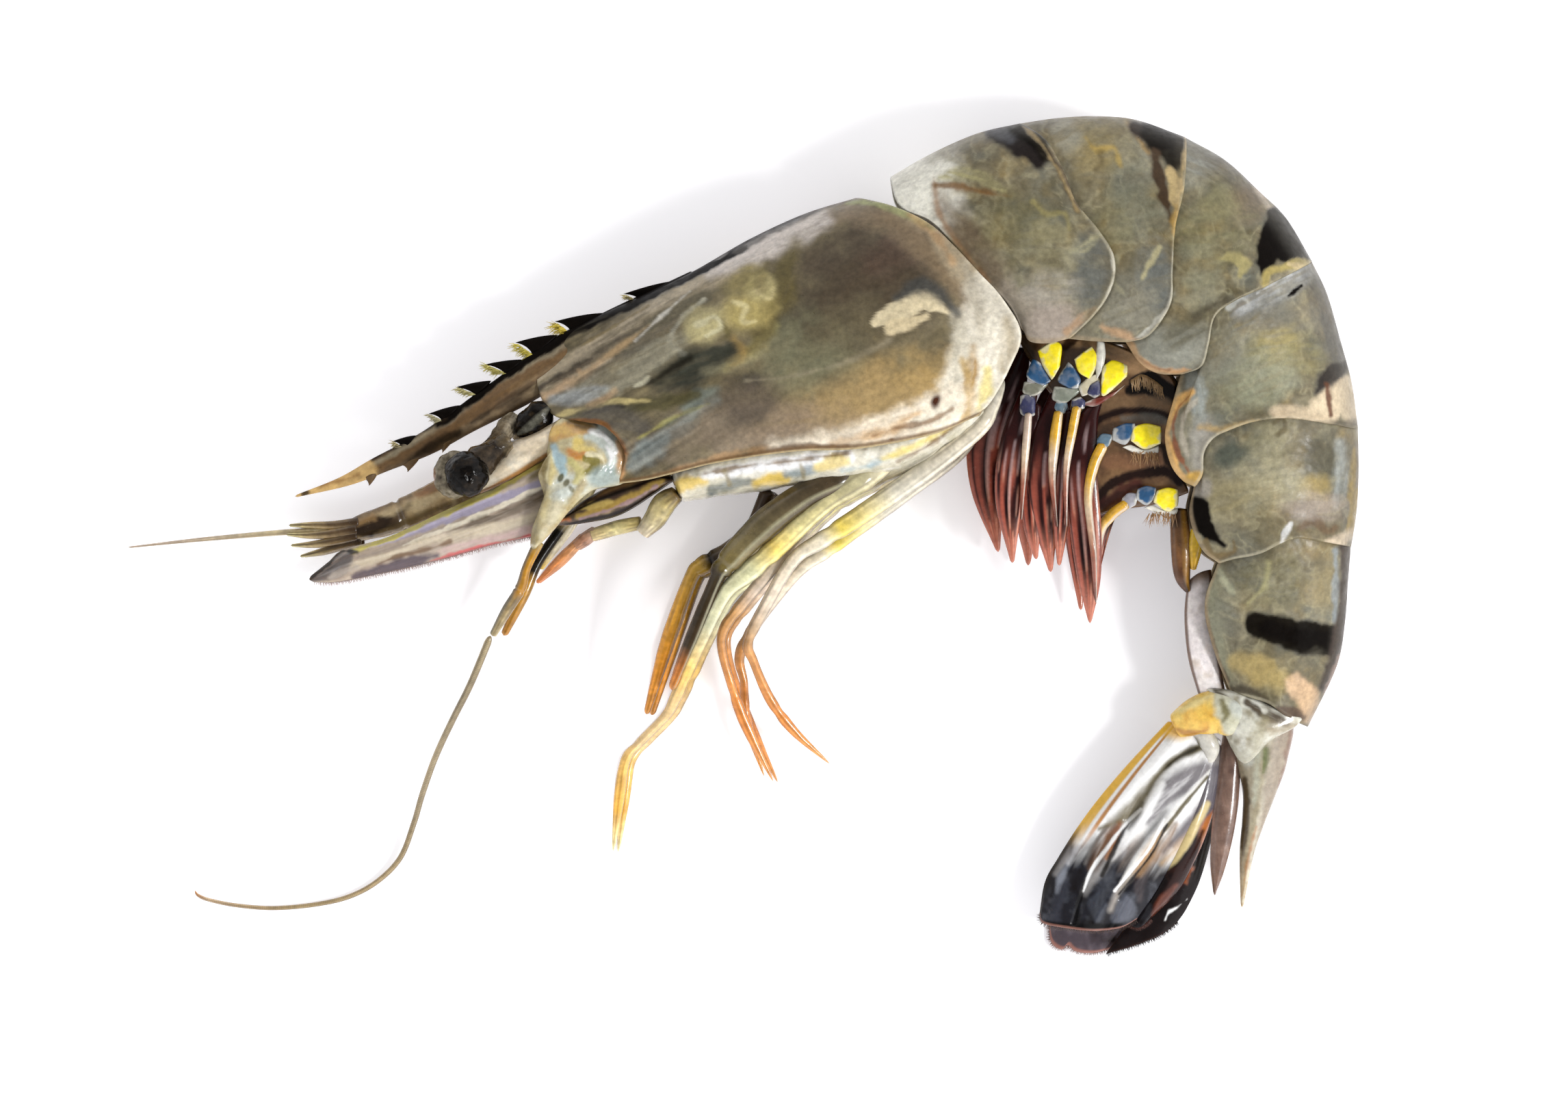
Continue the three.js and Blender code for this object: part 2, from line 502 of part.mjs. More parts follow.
const LEGS = [
  {
    left: [
      [-2.5, 5.7, 10.4, 1.0, 1.0], [-3.4, 2.5, 10.2, 1.0, 0.9], [-8.7, -1, 9.6, 1.0, 0.9],
      [-10.2, -2.9, 9.4, 0.9, 0.9], [-14.7, -16.9, 7.6, 0.7, 0.7],
    ],
    shift: [1.0, -0.8],
    look: GOLD,
  },
  {
    left: [
      [2.2, 6.5, 13.8, 1.0, 1.0], [-1.9, 4, 13.6, 1.4, 1.1], [-7.2, -1.9, 12.6, 1.1, 0.9],
      [-8.2, -4.2, 12.2, 0.8, 0.8], [-12.2, -14.6, 9.6, 0.6, 0.6],
    ],
    shift: [0.9, -0.6],
    look: OLIVE_DARK,
  },
  {
    left: [
      [5.1, 6.5, 13.6, 0.9, 0.9], [0.4, 2.1, 13.0, 0.9, 0.9], [-4.7, -2.3, 12.2, 0.9, 0.9],
      [-6, -4.8, 11.8, 0.8, 0.8], [-10.9, -15.8, 8.8, 0.7, 0.7], [-15.7, -21.2, 6.6, 0.7, 0.6],
      [-17.3, -22.8, 6.2, 0.8, 0.7], [-18, -26.8, 5.4, 0.7, 0.6], [-18.6, -32.5, 4.4, 0.2, 0.2],
    ],
    shift: [0.9, -0.5],
    look: CREAM,
  },
  {
    left: [
      [11.5, 8.1, 10.2, 1.0, 0.9], [4, 5, 10.2, 1.0, 0.9], [-1.2, -1.3, 10.4, 0.8, 0.7],
      [-6.6, -7.9, 9.6, 0.7, 0.6], [-6.8, -10.3, 9.0, 0.5, 0.5], [-4.6, -17.7, 7.0, 0.4, 0.4],
      [-1.2, -24.6, 5.4, 0.18, 0.18],
    ],
    shift: [1.6, 1.6],
    look: CREAM,
  },
  {
    left: [
      [20.9, 12.9, 13.0, 0.9, 0.9], [15.3, 9.2, 13.0, 1.0, 0.9], [7, 3.3, 12.6, 0.9, 0.8],
      [3.1, 0.9, 12.2, 0.8, 0.8], [0.3, -1.2, 11.6, 0.7, 0.7], [-3.9, -9.4, 8.8, 0.6, 0.6],
      [-3.3, -11.5, 8.0, 0.5, 0.5], [0.1, -18.4, 5.6, 0.4, 0.4], [5, -22.7, 3.8, 0.18, 0.18],
    ],
    right: [
      [19.9, 11.4, 5.6, 0.9, 0.9], [13.8, 7.2, 5.6, 0.9, 0.9], [5.7, 1.2, 5.4, 0.8, 0.8],
      [1.1, -2.2, 5.0, 0.7, 0.7], [-4.6, -9.9, 4.0, 0.6, 0.6], [-4.4, -17.6, 3.0, 0.4, 0.4],
      [-2.2, -24.1, 2.2, 0.18, 0.18],
    ],
    look: CREAM,
  },
];

function addChestAndLegs() {
  const centres = CHEST.map(([x, y]) => new THREE.Vector3(x, y, HEAD_MIDPLANE));
  add("chest", sweep(centres, CHEST.map(([, , a, b]) => [a, b]), 16), CREAM);
  LEGS.forEach(({ left, right, shift, look }, k) => {
    add(`leg_${k + 1}_left`, limb(left), look);
    add(`leg_${k + 1}_right`, limb(right ?? rightOf(left, SIDE_DROP, shift)), look);
  });
}

// ---- swimmerets ----

const SWIMMERETS = [
  {
    left: [
      [29.1, 21.6, 13.0, 1.4, 1.1], [26.6, 15.9, 13.0, 1.2, 1.1], [25.5, 8.4, 12.4, 1.3, 0.9],
      [25, -0.2, 10.0, 0.4, 0.4],
    ],
    right: [
      [26.6, 18.9, 4.4, 1.4, 1.2], [23.4, 12.9, 4.2, 1.9, 1.0], [23.2, 6.9, 3.4, 1.4, 0.9],
      [23.7, 0.7, 2.4, 0.4, 0.4],
    ],
  },
  {
    left: [
      [32.7, 21.1, 13.0, 1.3, 1.1], [30.1, 16.3, 13.0, 1.1, 1.1], [28.8, 7.6, 12.0, 1.5, 0.9],
      [29.3, -1.2, 9.4, 0.4, 0.4],
    ],
    right: [
      [31.9, 20.4, 4.4, 1.3, 1.1], [28.6, 15.1, 4.2, 1.3, 1.0], [27, 6.9, 3.4, 1.2, 0.9],
      [27.1, -0.9, 2.2, 0.4, 0.4],
    ],
  },
  {
    left: [
      [36, 19.5, 13.0, 1.2, 1.1], [32.7, 16.2, 13.2, 1.0, 1.1], [32.1, 6.9, 12.6, 1.1, 0.9],
      [33.4, -7, 9.4, 0.4, 0.4],
    ],
    right: [
      [41.5, 17, 4.2, 1.6, 1.2], [37, 16.6, 4.2, 1.9, 1.1], [33, 12.9, 3.8, 1.2, 1.0],
      [31.9, -5.7, 2.2, 0.4, 0.4],
    ],
  },
  {
    left: [
      [39.8, 12.8, 12.0, 1.3, 1.1], [35.4, 12.2, 11.2, 1.1, 1.0], [33.6, 6.9, 9.6, 0.8, 0.8],
      [34, -5.1, 7.2, 0.3, 0.3],
    ],
    right: [
      [41.9, 9.4, 4.2, 1.2, 1.0], [37.8, 9.3, 4.2, 1.6, 1.1], [34.9, 5.4, 3.6, 1.1, 0.9],
      [34, -4.3, 2.2, 0.4, 0.4],
    ],
  },
  {
    left: [
      [42, 5.8, 10.6, 1.3, 1.1], [37.9, 5.8, 9.6, 1.0, 0.9], [35.2, 3.1, 7.4, 0.7, 0.7],
      [34.5, -4, 5.2, 0.3, 0.3],
    ],
    right: [[43.5, 3.6, 4.0, 0.7, 0.9], [43.6, 0.1, 3.4, 0.9, 0.9], [43.6, -3.1, 2.6, 0.5, 0.5]],
  },
];

function addSwimmerets() {
  SWIMMERETS.forEach(({ left, right }, k) => {
    add(`swimmeret_${k + 1}_left`, limb(left), MAROON);
    add(`swimmeret_${k + 1}_right`, limb(right), MAROON);
  });
}

addCarapace();
addTailRings();
addTailFan();
addEyes();
addFeelers();
addMouthparts();
addChestAndLegs();
addSwimmerets();

// The origin is under the middle of the whole prawn, on the table.
const bounds = new THREE.Box3().setFromObject(prawn);
const middle = bounds.getCenter(new THREE.Vector3());
prawn.position.set(-middle.x, -middle.y, -bounds.min.z);

const part = new THREE.Group();
part.name = "raw_tiger_prawn";
part.add(prawn);
part.updateMatrixWorld(true);

export default part;
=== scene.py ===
"""A raw tiger prawn on a white table. Lengths are in millimetres in the part's own drawing, unless a name says metres.

In the drawing the prawn lies on its right side: the head points to -X, the back to +Y and the left side up.
Colours are 0-255 sRGB.
"""

import math

import bmesh
import bpy
import numpy as np
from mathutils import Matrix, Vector


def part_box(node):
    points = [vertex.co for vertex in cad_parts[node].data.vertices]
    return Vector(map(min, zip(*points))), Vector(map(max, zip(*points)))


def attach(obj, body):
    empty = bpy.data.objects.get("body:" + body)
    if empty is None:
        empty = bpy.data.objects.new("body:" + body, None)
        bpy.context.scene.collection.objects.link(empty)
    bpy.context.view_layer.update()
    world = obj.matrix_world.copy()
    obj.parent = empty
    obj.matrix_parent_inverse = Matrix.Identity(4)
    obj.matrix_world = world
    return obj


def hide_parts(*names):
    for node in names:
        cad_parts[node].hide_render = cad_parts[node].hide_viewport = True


MM = 0.001
RNG = np.random.default_rng(11)
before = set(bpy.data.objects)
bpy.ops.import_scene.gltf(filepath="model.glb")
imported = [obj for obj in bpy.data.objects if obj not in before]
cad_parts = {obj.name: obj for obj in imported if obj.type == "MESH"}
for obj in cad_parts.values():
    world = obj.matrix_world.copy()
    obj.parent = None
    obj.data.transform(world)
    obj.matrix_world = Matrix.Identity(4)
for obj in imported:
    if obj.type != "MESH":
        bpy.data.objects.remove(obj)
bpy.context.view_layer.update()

# ---- driving dimensions, as in the part ----
SINK = 0.3  # how far the round flanks are pressed flat by the table
CARAPACE_HALF_WIDTH = 10.9
HEAD_MIDPLANE = CARAPACE_HALF_WIDTH - SINK
RIGHT_DROP = 9.0  # how far a right limb lies under its left fellow
SHELL_WALL = 0.45
ROSTRUM_TIP_X = -53.2
SHIELD_TOP_Y = 39.1
UNDER_BRIGHT_LIGHT = 0.66  # how much darker a surface is than it looks, as the table is lit past white
ORIGIN_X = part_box("carapace")[0].x / MM - ROSTRUM_TIP_X  # the drawing's zero in the row frame
ORIGIN_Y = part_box("carapace")[1].y / MM - SHIELD_TOP_Y


# ---- curves and blends ----


def spline(points, steps=24):
    """Points on a smooth curve through the given ones."""
    p = np.array([tuple(q) + (0.0,) * (3 - len(q)) for q in points], float)
    p = np.vstack([2 * p[0] - p[1], p, 2 * p[-1] - p[-2]])
    t = np.linspace(0, 1, steps, endpoint=False)[:, None]
    parts = []
    for a, b, c, d in zip(p, p[1:], p[2:], p[3:]):
        bend = 2 * a - 5 * b + 4 * c - d
        parts.append(0.5 * (2 * b + (c - a) * t + bend * t**2 + (3 * b - a - 3 * c + d) * t**3))
    return np.vstack([*parts, p[-2:-1]])


def along(points, share, straight=False):
    """Places at shares of the length of the curve through points."""
    dense = np.array([tuple(q) + (0.0,) * (3 - len(q)) for q in points]) if straight else spline(points)
    steps = np.linalg.norm(np.diff(dense[:, :3], axis=0), axis=1)
    length = np.concatenate([[0], np.cumsum(steps)])
    at = np.clip(share, 0, 1) * length[-1]
    return np.stack([np.interp(at, length, dense[:, k]) for k in range(dense.shape[1])], -1)


def blend(share, *values):
    """A smooth function of 0..1 through evenly spaced values."""
    at = np.clip(share, 0, 1) * (len(values) - 1)
    i = np.minimum(np.floor(at).astype(int), len(values) - 2)
    t = at - i
    p = np.array([values[0], *values, values[-1]], float)
    a, b, c, d = p[i], p[i + 1], p[i + 2], p[i + 3]
    return 0.5 * (2 * b + (c - a) * t + (2 * a - 5 * b + 4 * c - d) * t**2 + (3 * b - a - 3 * c + d) * t**3)


def ease(value, low, high):
    """0 below low, 1 above high, and smooth between."""
    t = np.clip((value - low) / (high - low), 0, 1)
    return t * t * (3 - 2 * t)


def mix(a, b, share):
    """Colours a and b blended by a share at each place."""
    share = np.asarray(share)[..., None]
    return a * (1 - share) + b * share


LATTICE = np.random.default_rng(5).random((128, 128)) * 2 - 1


def noise(x, y, size, seed=0):
    """Smooth noise of about -1..1 whose blots are size wide."""
    x, y = x / size + 13.7 * seed, y / size + 7.1 * seed
    i, j = np.floor(x).astype(int), np.floor(y).astype(int)
    fx, fy = x - i, y - j
    fx, fy = fx * fx * (3 - 2 * fx), fy * fy * (3 - 2 * fy)
    at = lambda a, b: LATTICE[(i + a) % 128, (j + b) % 128]
    return (at(0, 0) * (1 - fx) + at(1, 0) * fx) * (1 - fy) + (at(0, 1) * (1 - fx) + at(1, 1) * fx) * fy


def fractal(x, y, size, seed=0):
    return 0.55 * noise(x, y, size, seed) + 0.3 * noise(x, y, size / 2.1, seed + 1) + 0.15 * noise(x, y, size / 4.3, seed + 2)


# ---- painting ----


def rgb(red, green, blue):
    """The linear colour that looks like this one in light that burns the table out to white."""
    c = np.array([red, green, blue], float) / 255
    return UNDER_BRIGHT_LIGHT * np.where(c <= 0.04045, c / 12.92, ((c + 0.055) / 1.055) ** 2.4)


def distance(x, y, points):
    """Distance of each place from a line through points, and the share of the line's length there."""
    line = spline(points, 6)[:, :2]
    lengths = np.concatenate([[0], np.cumsum(np.linalg.norm(np.diff(line, axis=0), axis=1))])
    best = np.full(x.shape, 1e9)
    share = np.zeros(x.shape)
    for (ax, ay), (bx, by), start, end in zip(line, line[1:], lengths, lengths[1:]):
        dx, dy = bx - ax, by - ay
        t = np.clip(((x - ax) * dx + (y - ay) * dy) / max(dx * dx + dy * dy, 1e-9), 0, 1)
        d = np.hypot(x - ax - t * dx, y - ay - t * dy)
        nearer = d < best
        best = np.where(nearer, d, best)
        share = np.where(nearer, (start + t * (end - start)) / lengths[-1], share)
    return best, share


def stroke(x, y, points, widths, soft=0.35, ragged=0.0):
    """How far each place is inside a brush stroke along points. widths run from its start to its end."""
    d, share = distance(x, y, points)
    half = np.interp(share, np.linspace(0, 1, len(widths)), np.array(widths) / 2)
    return 1 - ease(d + ragged * fractal(x, y, 1.4, 3), half - soft, half + soft)


def streaks(x, y, tilt, size, seed=0, stretch=7.0):
    """Noise drawn out at tilt degrees into streaks that are size wide."""
    a = math.radians(tilt)
    ahead, aside = x * math.cos(a) + y * math.sin(a), y * math.cos(a) - x * math.sin(a)
    return fractal(ahead / stretch, aside, size, seed)


def spot(x, y, centre, size, tilt=0.0, soft=0.3, ragged=0.0):
    """How far each place is inside an oval. size is its width and height before it is tilted, in degrees."""
    a = math.radians(tilt)
    dx, dy = x - centre[0], y - centre[1]
    px, py = dx * math.cos(a) + dy * math.sin(a), dy * math.cos(a) - dx * math.sin(a)
    r = np.hypot(px / (size[0] / 2), py / (size[1] / 2)) + ragged * fractal(x, y, 1.8, 5)
    return 1 - ease(r, 1 - soft, 1 + soft)


# ---- meshes ----


class Skin:
    """Gathers grids of points, with a colour at each, into one mesh."""

    def __init__(self):
        self.points, self.tints, self.faces, self.count = [], [], [], 0

    def _put(self, points, tints):
        points = np.asarray(points, float).reshape(-1, 3)
        tints = np.broadcast_to(np.asarray(tints, float).reshape(-1, 3), points.shape)
        self.points.append(points)
        self.tints.append(tints)
        self.count += len(points)
        return self.count - len(points)

    def _quads(self, a, b, c, d):
        self.faces.append(np.stack([a.ravel(), b.ravel(), c.ravel(), d.ravel()], -1))

    def grid(self, points, tints, wrap=False, caps=False):
        """Rows of points. wrap joins each row's ends; caps closes the first and last rows of a wrapped grid."""
        if caps:
            first = np.broadcast_to(points[:1].mean(1, keepdims=True), points[:1].shape)
            last = np.broadcast_to(points[-1:].mean(1, keepdims=True), points[-1:].shape)
            points = np.concatenate([first, points, last])
            tints = np.concatenate([tints[:1], tints, tints[-1:]])
        n, m = points.shape[:2]
        index = self._put(points, tints) + np.arange(n * m).reshape(n, m)
        if wrap:
            index = np.concatenate([index, index[:, :1]], 1)
        self._quads(index[:-1, :-1], index[:-1, 1:], index[1:, 1:], index[1:, :-1])

    def slab(self, outer, inner, tints, under=None, lip=0.3):
        """A thin closed sheet between two grids of one shape, with a rounded lip all round."""
        n, m = outer.shape[:2]
        top = self._put(outer, tints) + np.arange(n * m).reshape(n, m)
        low = self._put(inner, tints if under is None else under) + np.arange(n * m).reshape(n, m)
        self._quads(top[:-1, :-1], top[:-1, 1:], top[1:, 1:], top[1:, :-1])
        self._quads(low[:-1, :-1], low[1:, :-1], low[1:, 1:], low[:-1, 1:])
        edge = [(0, j) for j in range(m)] + [(i, m - 1) for i in range(1, n)]
        edge += [(n - 1, j) for j in range(m - 2, -1, -1)] + [(i, 0) for i in range(n - 2, 0, -1)]
        rows, cols = np.array(edge).T
        inside = outer[np.clip(rows, 1, n - 2), np.clip(cols, 1, m - 2)]
        out = outer[rows, cols] - inside
        out /= np.maximum(np.linalg.norm(out, axis=1, keepdims=True), 1e-6)
        wall = np.linalg.norm(outer[rows, cols] - inner[rows, cols], axis=1, keepdims=True)
        rim = (outer[rows, cols] + inner[rows, cols]) / 2 + out * wall * lip
        mid = self._put(rim, tints[rows, cols]) + np.arange(len(edge))
        for a, b in ((top[rows, cols], mid), (mid, low[rows, cols])):
            self._quads(a, b, np.roll(b, -1), np.roll(a, -1))

    def build(self, name, material, slot, *nodes):
        points = np.concatenate(self.points)
        points[:, 2] = np.maximum(points[:, 2], 0.02)
        points = (points + (ORIGIN_X, ORIGIN_Y, 0)) * MM
        faces = np.concatenate(self.faces)
        mesh = bpy.data.meshes.new(name)
        mesh.from_pydata(points.tolist(), [], faces.tolist())
        mesh.polygons.foreach_set("use_smooth", np.ones(len(mesh.polygons), bool))
        tint = mesh.color_attributes.new("tint", "FLOAT_COLOR", "POINT")
        colours = np.concatenate([np.concatenate(self.tints), np.ones((len(points), 1))], 1)
        tint.data.foreach_set("color", np.clip(colours, 0, 1).astype(np.float32).ravel())
        mesh.materials.append(material)
        mesh.validate()
        shape = bmesh.new()
        shape.from_mesh(mesh)
        bmesh.ops.recalc_face_normals(shape, faces=shape.faces)
        shape.to_mesh(mesh)
        shape.free()
        piece = bpy.data.objects.new(name, mesh)
        bpy.context.scene.collection.objects.link(piece)
        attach(piece, "root")
        if nodes:
            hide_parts(*nodes)
        return piece


# ---- materials ----


class Shader:
    """A node material around one Principled shader."""

    def __init__(self, name, **values):
        self.material = bpy.data.materials.new(name)
        self.material.use_nodes = True
        self.nodes = self.material.node_tree.nodes
        self.links = self.material.node_tree.links
        self.surface = self.nodes["Principled BSDF"]
        for key, value in values.items():
            self.surface.inputs[key.replace("_", " ").title().replace("Ior", "IOR")].default_value = value
        self.place = self.node("ShaderNodeTexCoord").outputs["Object"]

    def node(self, kind, inputs=(), **settings):
        made = self.nodes.new(kind)
        for key, value in settings.items():
            setattr(made, key, value)
        for key, value in dict(inputs).items():
            if isinstance(value, bpy.types.NodeSocket):
                self.links.new(value, made.inputs[key])
            else:
                made.inputs[key].default_value = value
        return made

    def noise(self, size, detail=3.0):
        """Noise with blots of about size millimetres."""
        data = {"Vector": self.place, "Scale": 0.6 / (size * MM), "Detail": detail, "Roughness": 0.6}
        return self.node("ShaderNodeTexNoise", data).outputs["Fac"]

    def band(self, value, low, high, start=0.0, end=1.0):
        data = {"Value": value, "From Min": low, "From Max": high, "To Min": start, "To Max": end}
        return self.node("ShaderNodeMapRange", data).outputs[0]

    def times(self, a, b):
        return self.node("ShaderNodeMath", {0: a, 1: b}, operation="MULTIPLY").outputs[0]

    def mixed(self, share, a, b, how="MIX"):
        made = self.node("ShaderNodeMix", data_type="RGBA", blend_type=how)
        for socket, value in zip((made.inputs[0], made.inputs[6], made.inputs[7]), (share, a, b)):
            if isinstance(value, bpy.types.NodeSocket):
                self.links.new(value, socket)
            elif np.ndim(value):
                socket.default_value = (*value, 1)
            else:
                socket.default_value = value
        return made.outputs[2]

    def bump(self, height, depth, below=None):
        data = {"Height": height, "Distance": depth * MM, "Strength": 1.0}
        if below is not None:
            data["Normal"] = below
        return self.node("ShaderNodeBump", data).outputs[0]

    def into(self, socket, value):
        self.links.new(value, self.surface.inputs[socket])


def wet_shell(name, mottle, grain, dents, roughness, shine, coat, glow, dull=0.3):
    """Painted skin with clouded pigment, fine pits and a film of water.

    dull is how much of the gloss is left where the paint is black.
    """
    s = Shader(name, coat_roughness=0.1, subsurface_weight=glow)
    s.surface.inputs["Subsurface Scale"].default_value = 1.5 * MM
    s.surface.inputs["Subsurface Radius"].default_value = (1.0, 0.65, 0.35)
    tint = s.node("ShaderNodeVertexColor", layer_name="tint").outputs[0]
    clouds = s.band(s.noise(1.8, 5), 0.3, 0.7, 1 - mottle, 1 + mottle)
    fine = s.band(s.noise(0.35, 4), 0.3, 0.7, 1 - grain, 1 + grain)
    shade = s.times(clouds, fine)
    grey = s.node("ShaderNodeCombineColor", {0: shade, 1: shade, 2: shade}).outputs[0]
    toned = s.mixed(1.0, tint, grey, "MULTIPLY")
    light = s.node("ShaderNodeRGBToBW", {0: tint}).outputs[0]
    s.into("Base Color", toned)
    s.into("Specular IOR Level", s.band(light, 0.005, 0.06, shine * dull, shine))
    s.into("Coat Weight", s.band(light, 0.005, 0.06, coat * dull, coat))
    s.into("Roughness", s.band(s.noise(0.8, 3), 0.3, 0.7, roughness * 0.7, roughness * 1.35))
    pits = s.bump(s.noise(0.3, 3), dents)
    s.into("Normal", s.bump(s.noise(1.6, 2), dents * 3.5, pits))
    return s.material




# ---- the shell of the head and of the tail rings ----

SHIELD_REAR = [
    (20.9, 15.1), (22.5, 16.9), (24.4, 20.4), (25.6, 24.0), (23.6, 27.8), (21.0, 30.7), (18.1, 33.8),
    (15.5, 36.1), (11.9, 37.9), (7.8, 39.1),
]
SHIELD = {
    "front": [
        (-18.2, 7.8), (-17.6, 9.2), (-17.2, 10.8), (-17.8, 12.4), (-19.5, 14.1), (-22.2, 14.7), (-25.1, 15.4), (-26.7, 18.0), (-27.3, 22.1),
    ],
    "rear": SHIELD_REAR,
    "back": [(-22.2, 25.3), (-17.1, 27.7), (-10.3, 30.9), (-3.8, 34.6), (2.3, 37.4)],
    "belly": [(-15.1, 8.2), (-12.1, 8.9), (-7.2, 10.1), (1.1, 11.3), (7.1, 11.5), (11.9, 12.2), (16.7, 13.3)],
}
RING_REAR = [
    [
        (31.0, 23.6), (33.3, 25.8), (34.9, 27.9), (35.8, 30.3), (35.6, 32.8), (34.0, 35.4), (31.6, 38.4),
        (30.4, 41.5), (28.5, 45.1), (25.8, 47.3),
    ],
    [(37.2, 23.2), (39.3, 23.8), (40.9, 25.6), (42.0, 27.9), (42.1, 31.2), (42.4, 35.8), (43.4, 40.0), (43.9, 45.8)],
    [(43.2, 19.7), (45.3, 20.6), (46.0, 22.9), (46.7, 26.0), (48.8, 27.7), (52.4, 29.4), (57.8, 32.2)],
    [(44.7, 7.5), (45.5, 9.0), (45.6, 11.2), (46.6, 12.8), (48.3, 13.7), (51.3, 14.7), (55.4, 15.0), (62.9, 13.9)],
    [(47.4, -0.8), (49.0, -0.3), (51.8, 0.3), (55.4, 1.9), (58.8, 1.6), (62.2, 1.0)],
    [(48.9, -15.0), (52.8, -16.0), (55.0, -17.5), (57.6, -18.8)],
]
RINGS = [
    {
        "front": [(26.1, 24.4), (24.7, 27.3), (21.6, 30.8), (18.7, 34.0), (16.1, 36.5), (13.0, 38.2), (11.7, 41.5)],
        "back": [(15.9, 43.9), (21.1, 46.2)],
        "belly": [(26.8, 23.3), (28.8, 23.1)],
        "widths": (9.4, 10.0),
    },
    {"back": [(29.9, 47.9), (34.0, 48.1), (38.5, 47.7)], "belly": [(34.0, 23.3)], "widths": (9.5, 10.1)},
    {"back": [(48.3, 43.3), (52.0, 39.9), (55.0, 36.9)], "belly": [(38.8, 20.9), (40.8, 19.8)], "widths": (9.6, 9.9)},
    {
        "back": [(59.5, 28.6), (61.0, 23.4), (62.2, 18.9)],
        "belly": [(42.4, 16.9), (41.5, 13.2), (42.1, 10.0), (43.4, 8.2)],
        "widths": (9.3, 9.0),
    },
    {"back": [(63.0, 9.5), (62.8, 5.0)], "belly": [(44.2, 4.8), (44.7, 2.5), (45.8, 0.4)], "widths": (8.4, 7.9)},
    {"back": [(61.9, -2.9), (61.6, -7.3), (60.7, -12.2)], "belly": [(46.0, -5.1), (46.8, -9.6)], "widths": (7.2, 5.2)},
]


def sheet(u, t, front, rear, back, belly):
    """Plan of a sheet between four edges. u runs from the front edge to the rear, t from the belly to the back."""
    u1, t1 = u[..., None], t[..., None]
    ahead, behind = along(front, t), along(rear, t)
    low, high = along([front[0], *belly, rear[0]], u), along([front[-1], *back, rear[-1]], u)
    corner = [np.array(tuple(p) + (0.0,)) for p in (front[0], front[-1], rear[0], rear[-1])]
    plan = ahead * (1 - u1) + behind * u1 + low * (1 - t1) + high * t1
    plan -= corner[0] * (1 - u1) * (1 - t1) + corner[1] * (1 - u1) * t1
    return plan - corner[2] * u1 * (1 - t1) - corner[3] * u1 * t1


ARCH_SHARE = 0.62  # how much of half a cross-section is the arch of the back; the rest is the side flap


def across(q, shoulder, flap_width):
    """Height share and half-width share at q, which runs from -1 at the right flap over the back to 1 at the left."""
    side = np.abs(q)
    arch = np.clip(side / ARCH_SHARE, 0, 1) * math.pi / 2
    down = np.clip((1 - side) / (1 - ARCH_SHARE), 0, 1)
    in_arch = side < ARCH_SHARE
    t = np.where(in_arch, shoulder + (1 - shoulder) * np.cos(arch), down * shoulder)
    w = np.where(in_arch, np.sin(arch), 1 - (1 - flap_width) * (1 - down) ** 2)
    return t, w * np.sign(q)


def shell_points(u, q, edges, width, middle, shoulder, flap_width, inset=0.0, relief=None):
    t, w = across(q, shoulder, flap_width)
    height = 22.0
    plan = sheet(u, inset / height + t * (1 - 2 * inset / height), **edges)
    reach = width - inset
    if relief is not None:
        reach = reach + relief(plan[..., 0], plan[..., 1], u, t)
    plan[..., 2] = middle + w * reach
    return plan, t


def speckled(x, y, base, *accents):
    """A base colour that drifts towards the accents in soft blots. Each accent is (colour, blot size, strength)."""
    colour = np.broadcast_to(base, x.shape + (3,)).copy()
    for i, (accent, size, strength) in enumerate(accents):
        colour = mix(colour, accent, np.clip(fractal(x, y, size, 11 * i + 3) * strength, 0, 1))
    return colour


OLIVE = rgb(126, 116, 88)
OLIVE_GREY = rgb(146, 142, 122)
OLIVE_LIGHT = rgb(168, 160, 130)
OLIVE_DEEP = rgb(98, 88, 60)
UMBER = rgb(88, 62, 36)
INK = rgb(24, 18, 14)
SLATE = rgb(74, 76, 76)
TAN = rgb(200, 164, 104)
HONEY = rgb(188, 160, 84)
BONE = rgb(220, 212, 192)
HAZE = rgb(168, 168, 160)  # bluish, where the shell is clear
BLUSH = rgb(226, 206, 178)
MOUSE = rgb(164, 152, 138)


def lay(colour, x, y, marks, ragged=0.25):
    """Paints marks in turn: (points, widths, tone, strength, softness) or (centre, size, tilt, tone, strength).

    A last value, where there is one, breaks the mark into streaks along its own way by that share.
    """
    for mark in marks:
        if isinstance(mark[0], list):
            points, widths, tone, strength, soft, *broken = mark
            share = stroke(x, y, points, widths, soft, ragged * (1 + 2 * soft))
            tilt = math.degrees(math.atan2(points[-1][1] - points[0][1], points[-1][0] - points[0][0]))
        else:
            centre, size, tilt, tone, strength, *broken = mark
            share = spot(x, y, centre, size, tilt, 0.45, 0.4)
        if broken:
            share = share * (1 - broken[0] * ease(streaks(x, y, tilt, 0.55, 9), -0.15, 0.25))
        colour = mix(colour, tone, strength * share)
    return colour


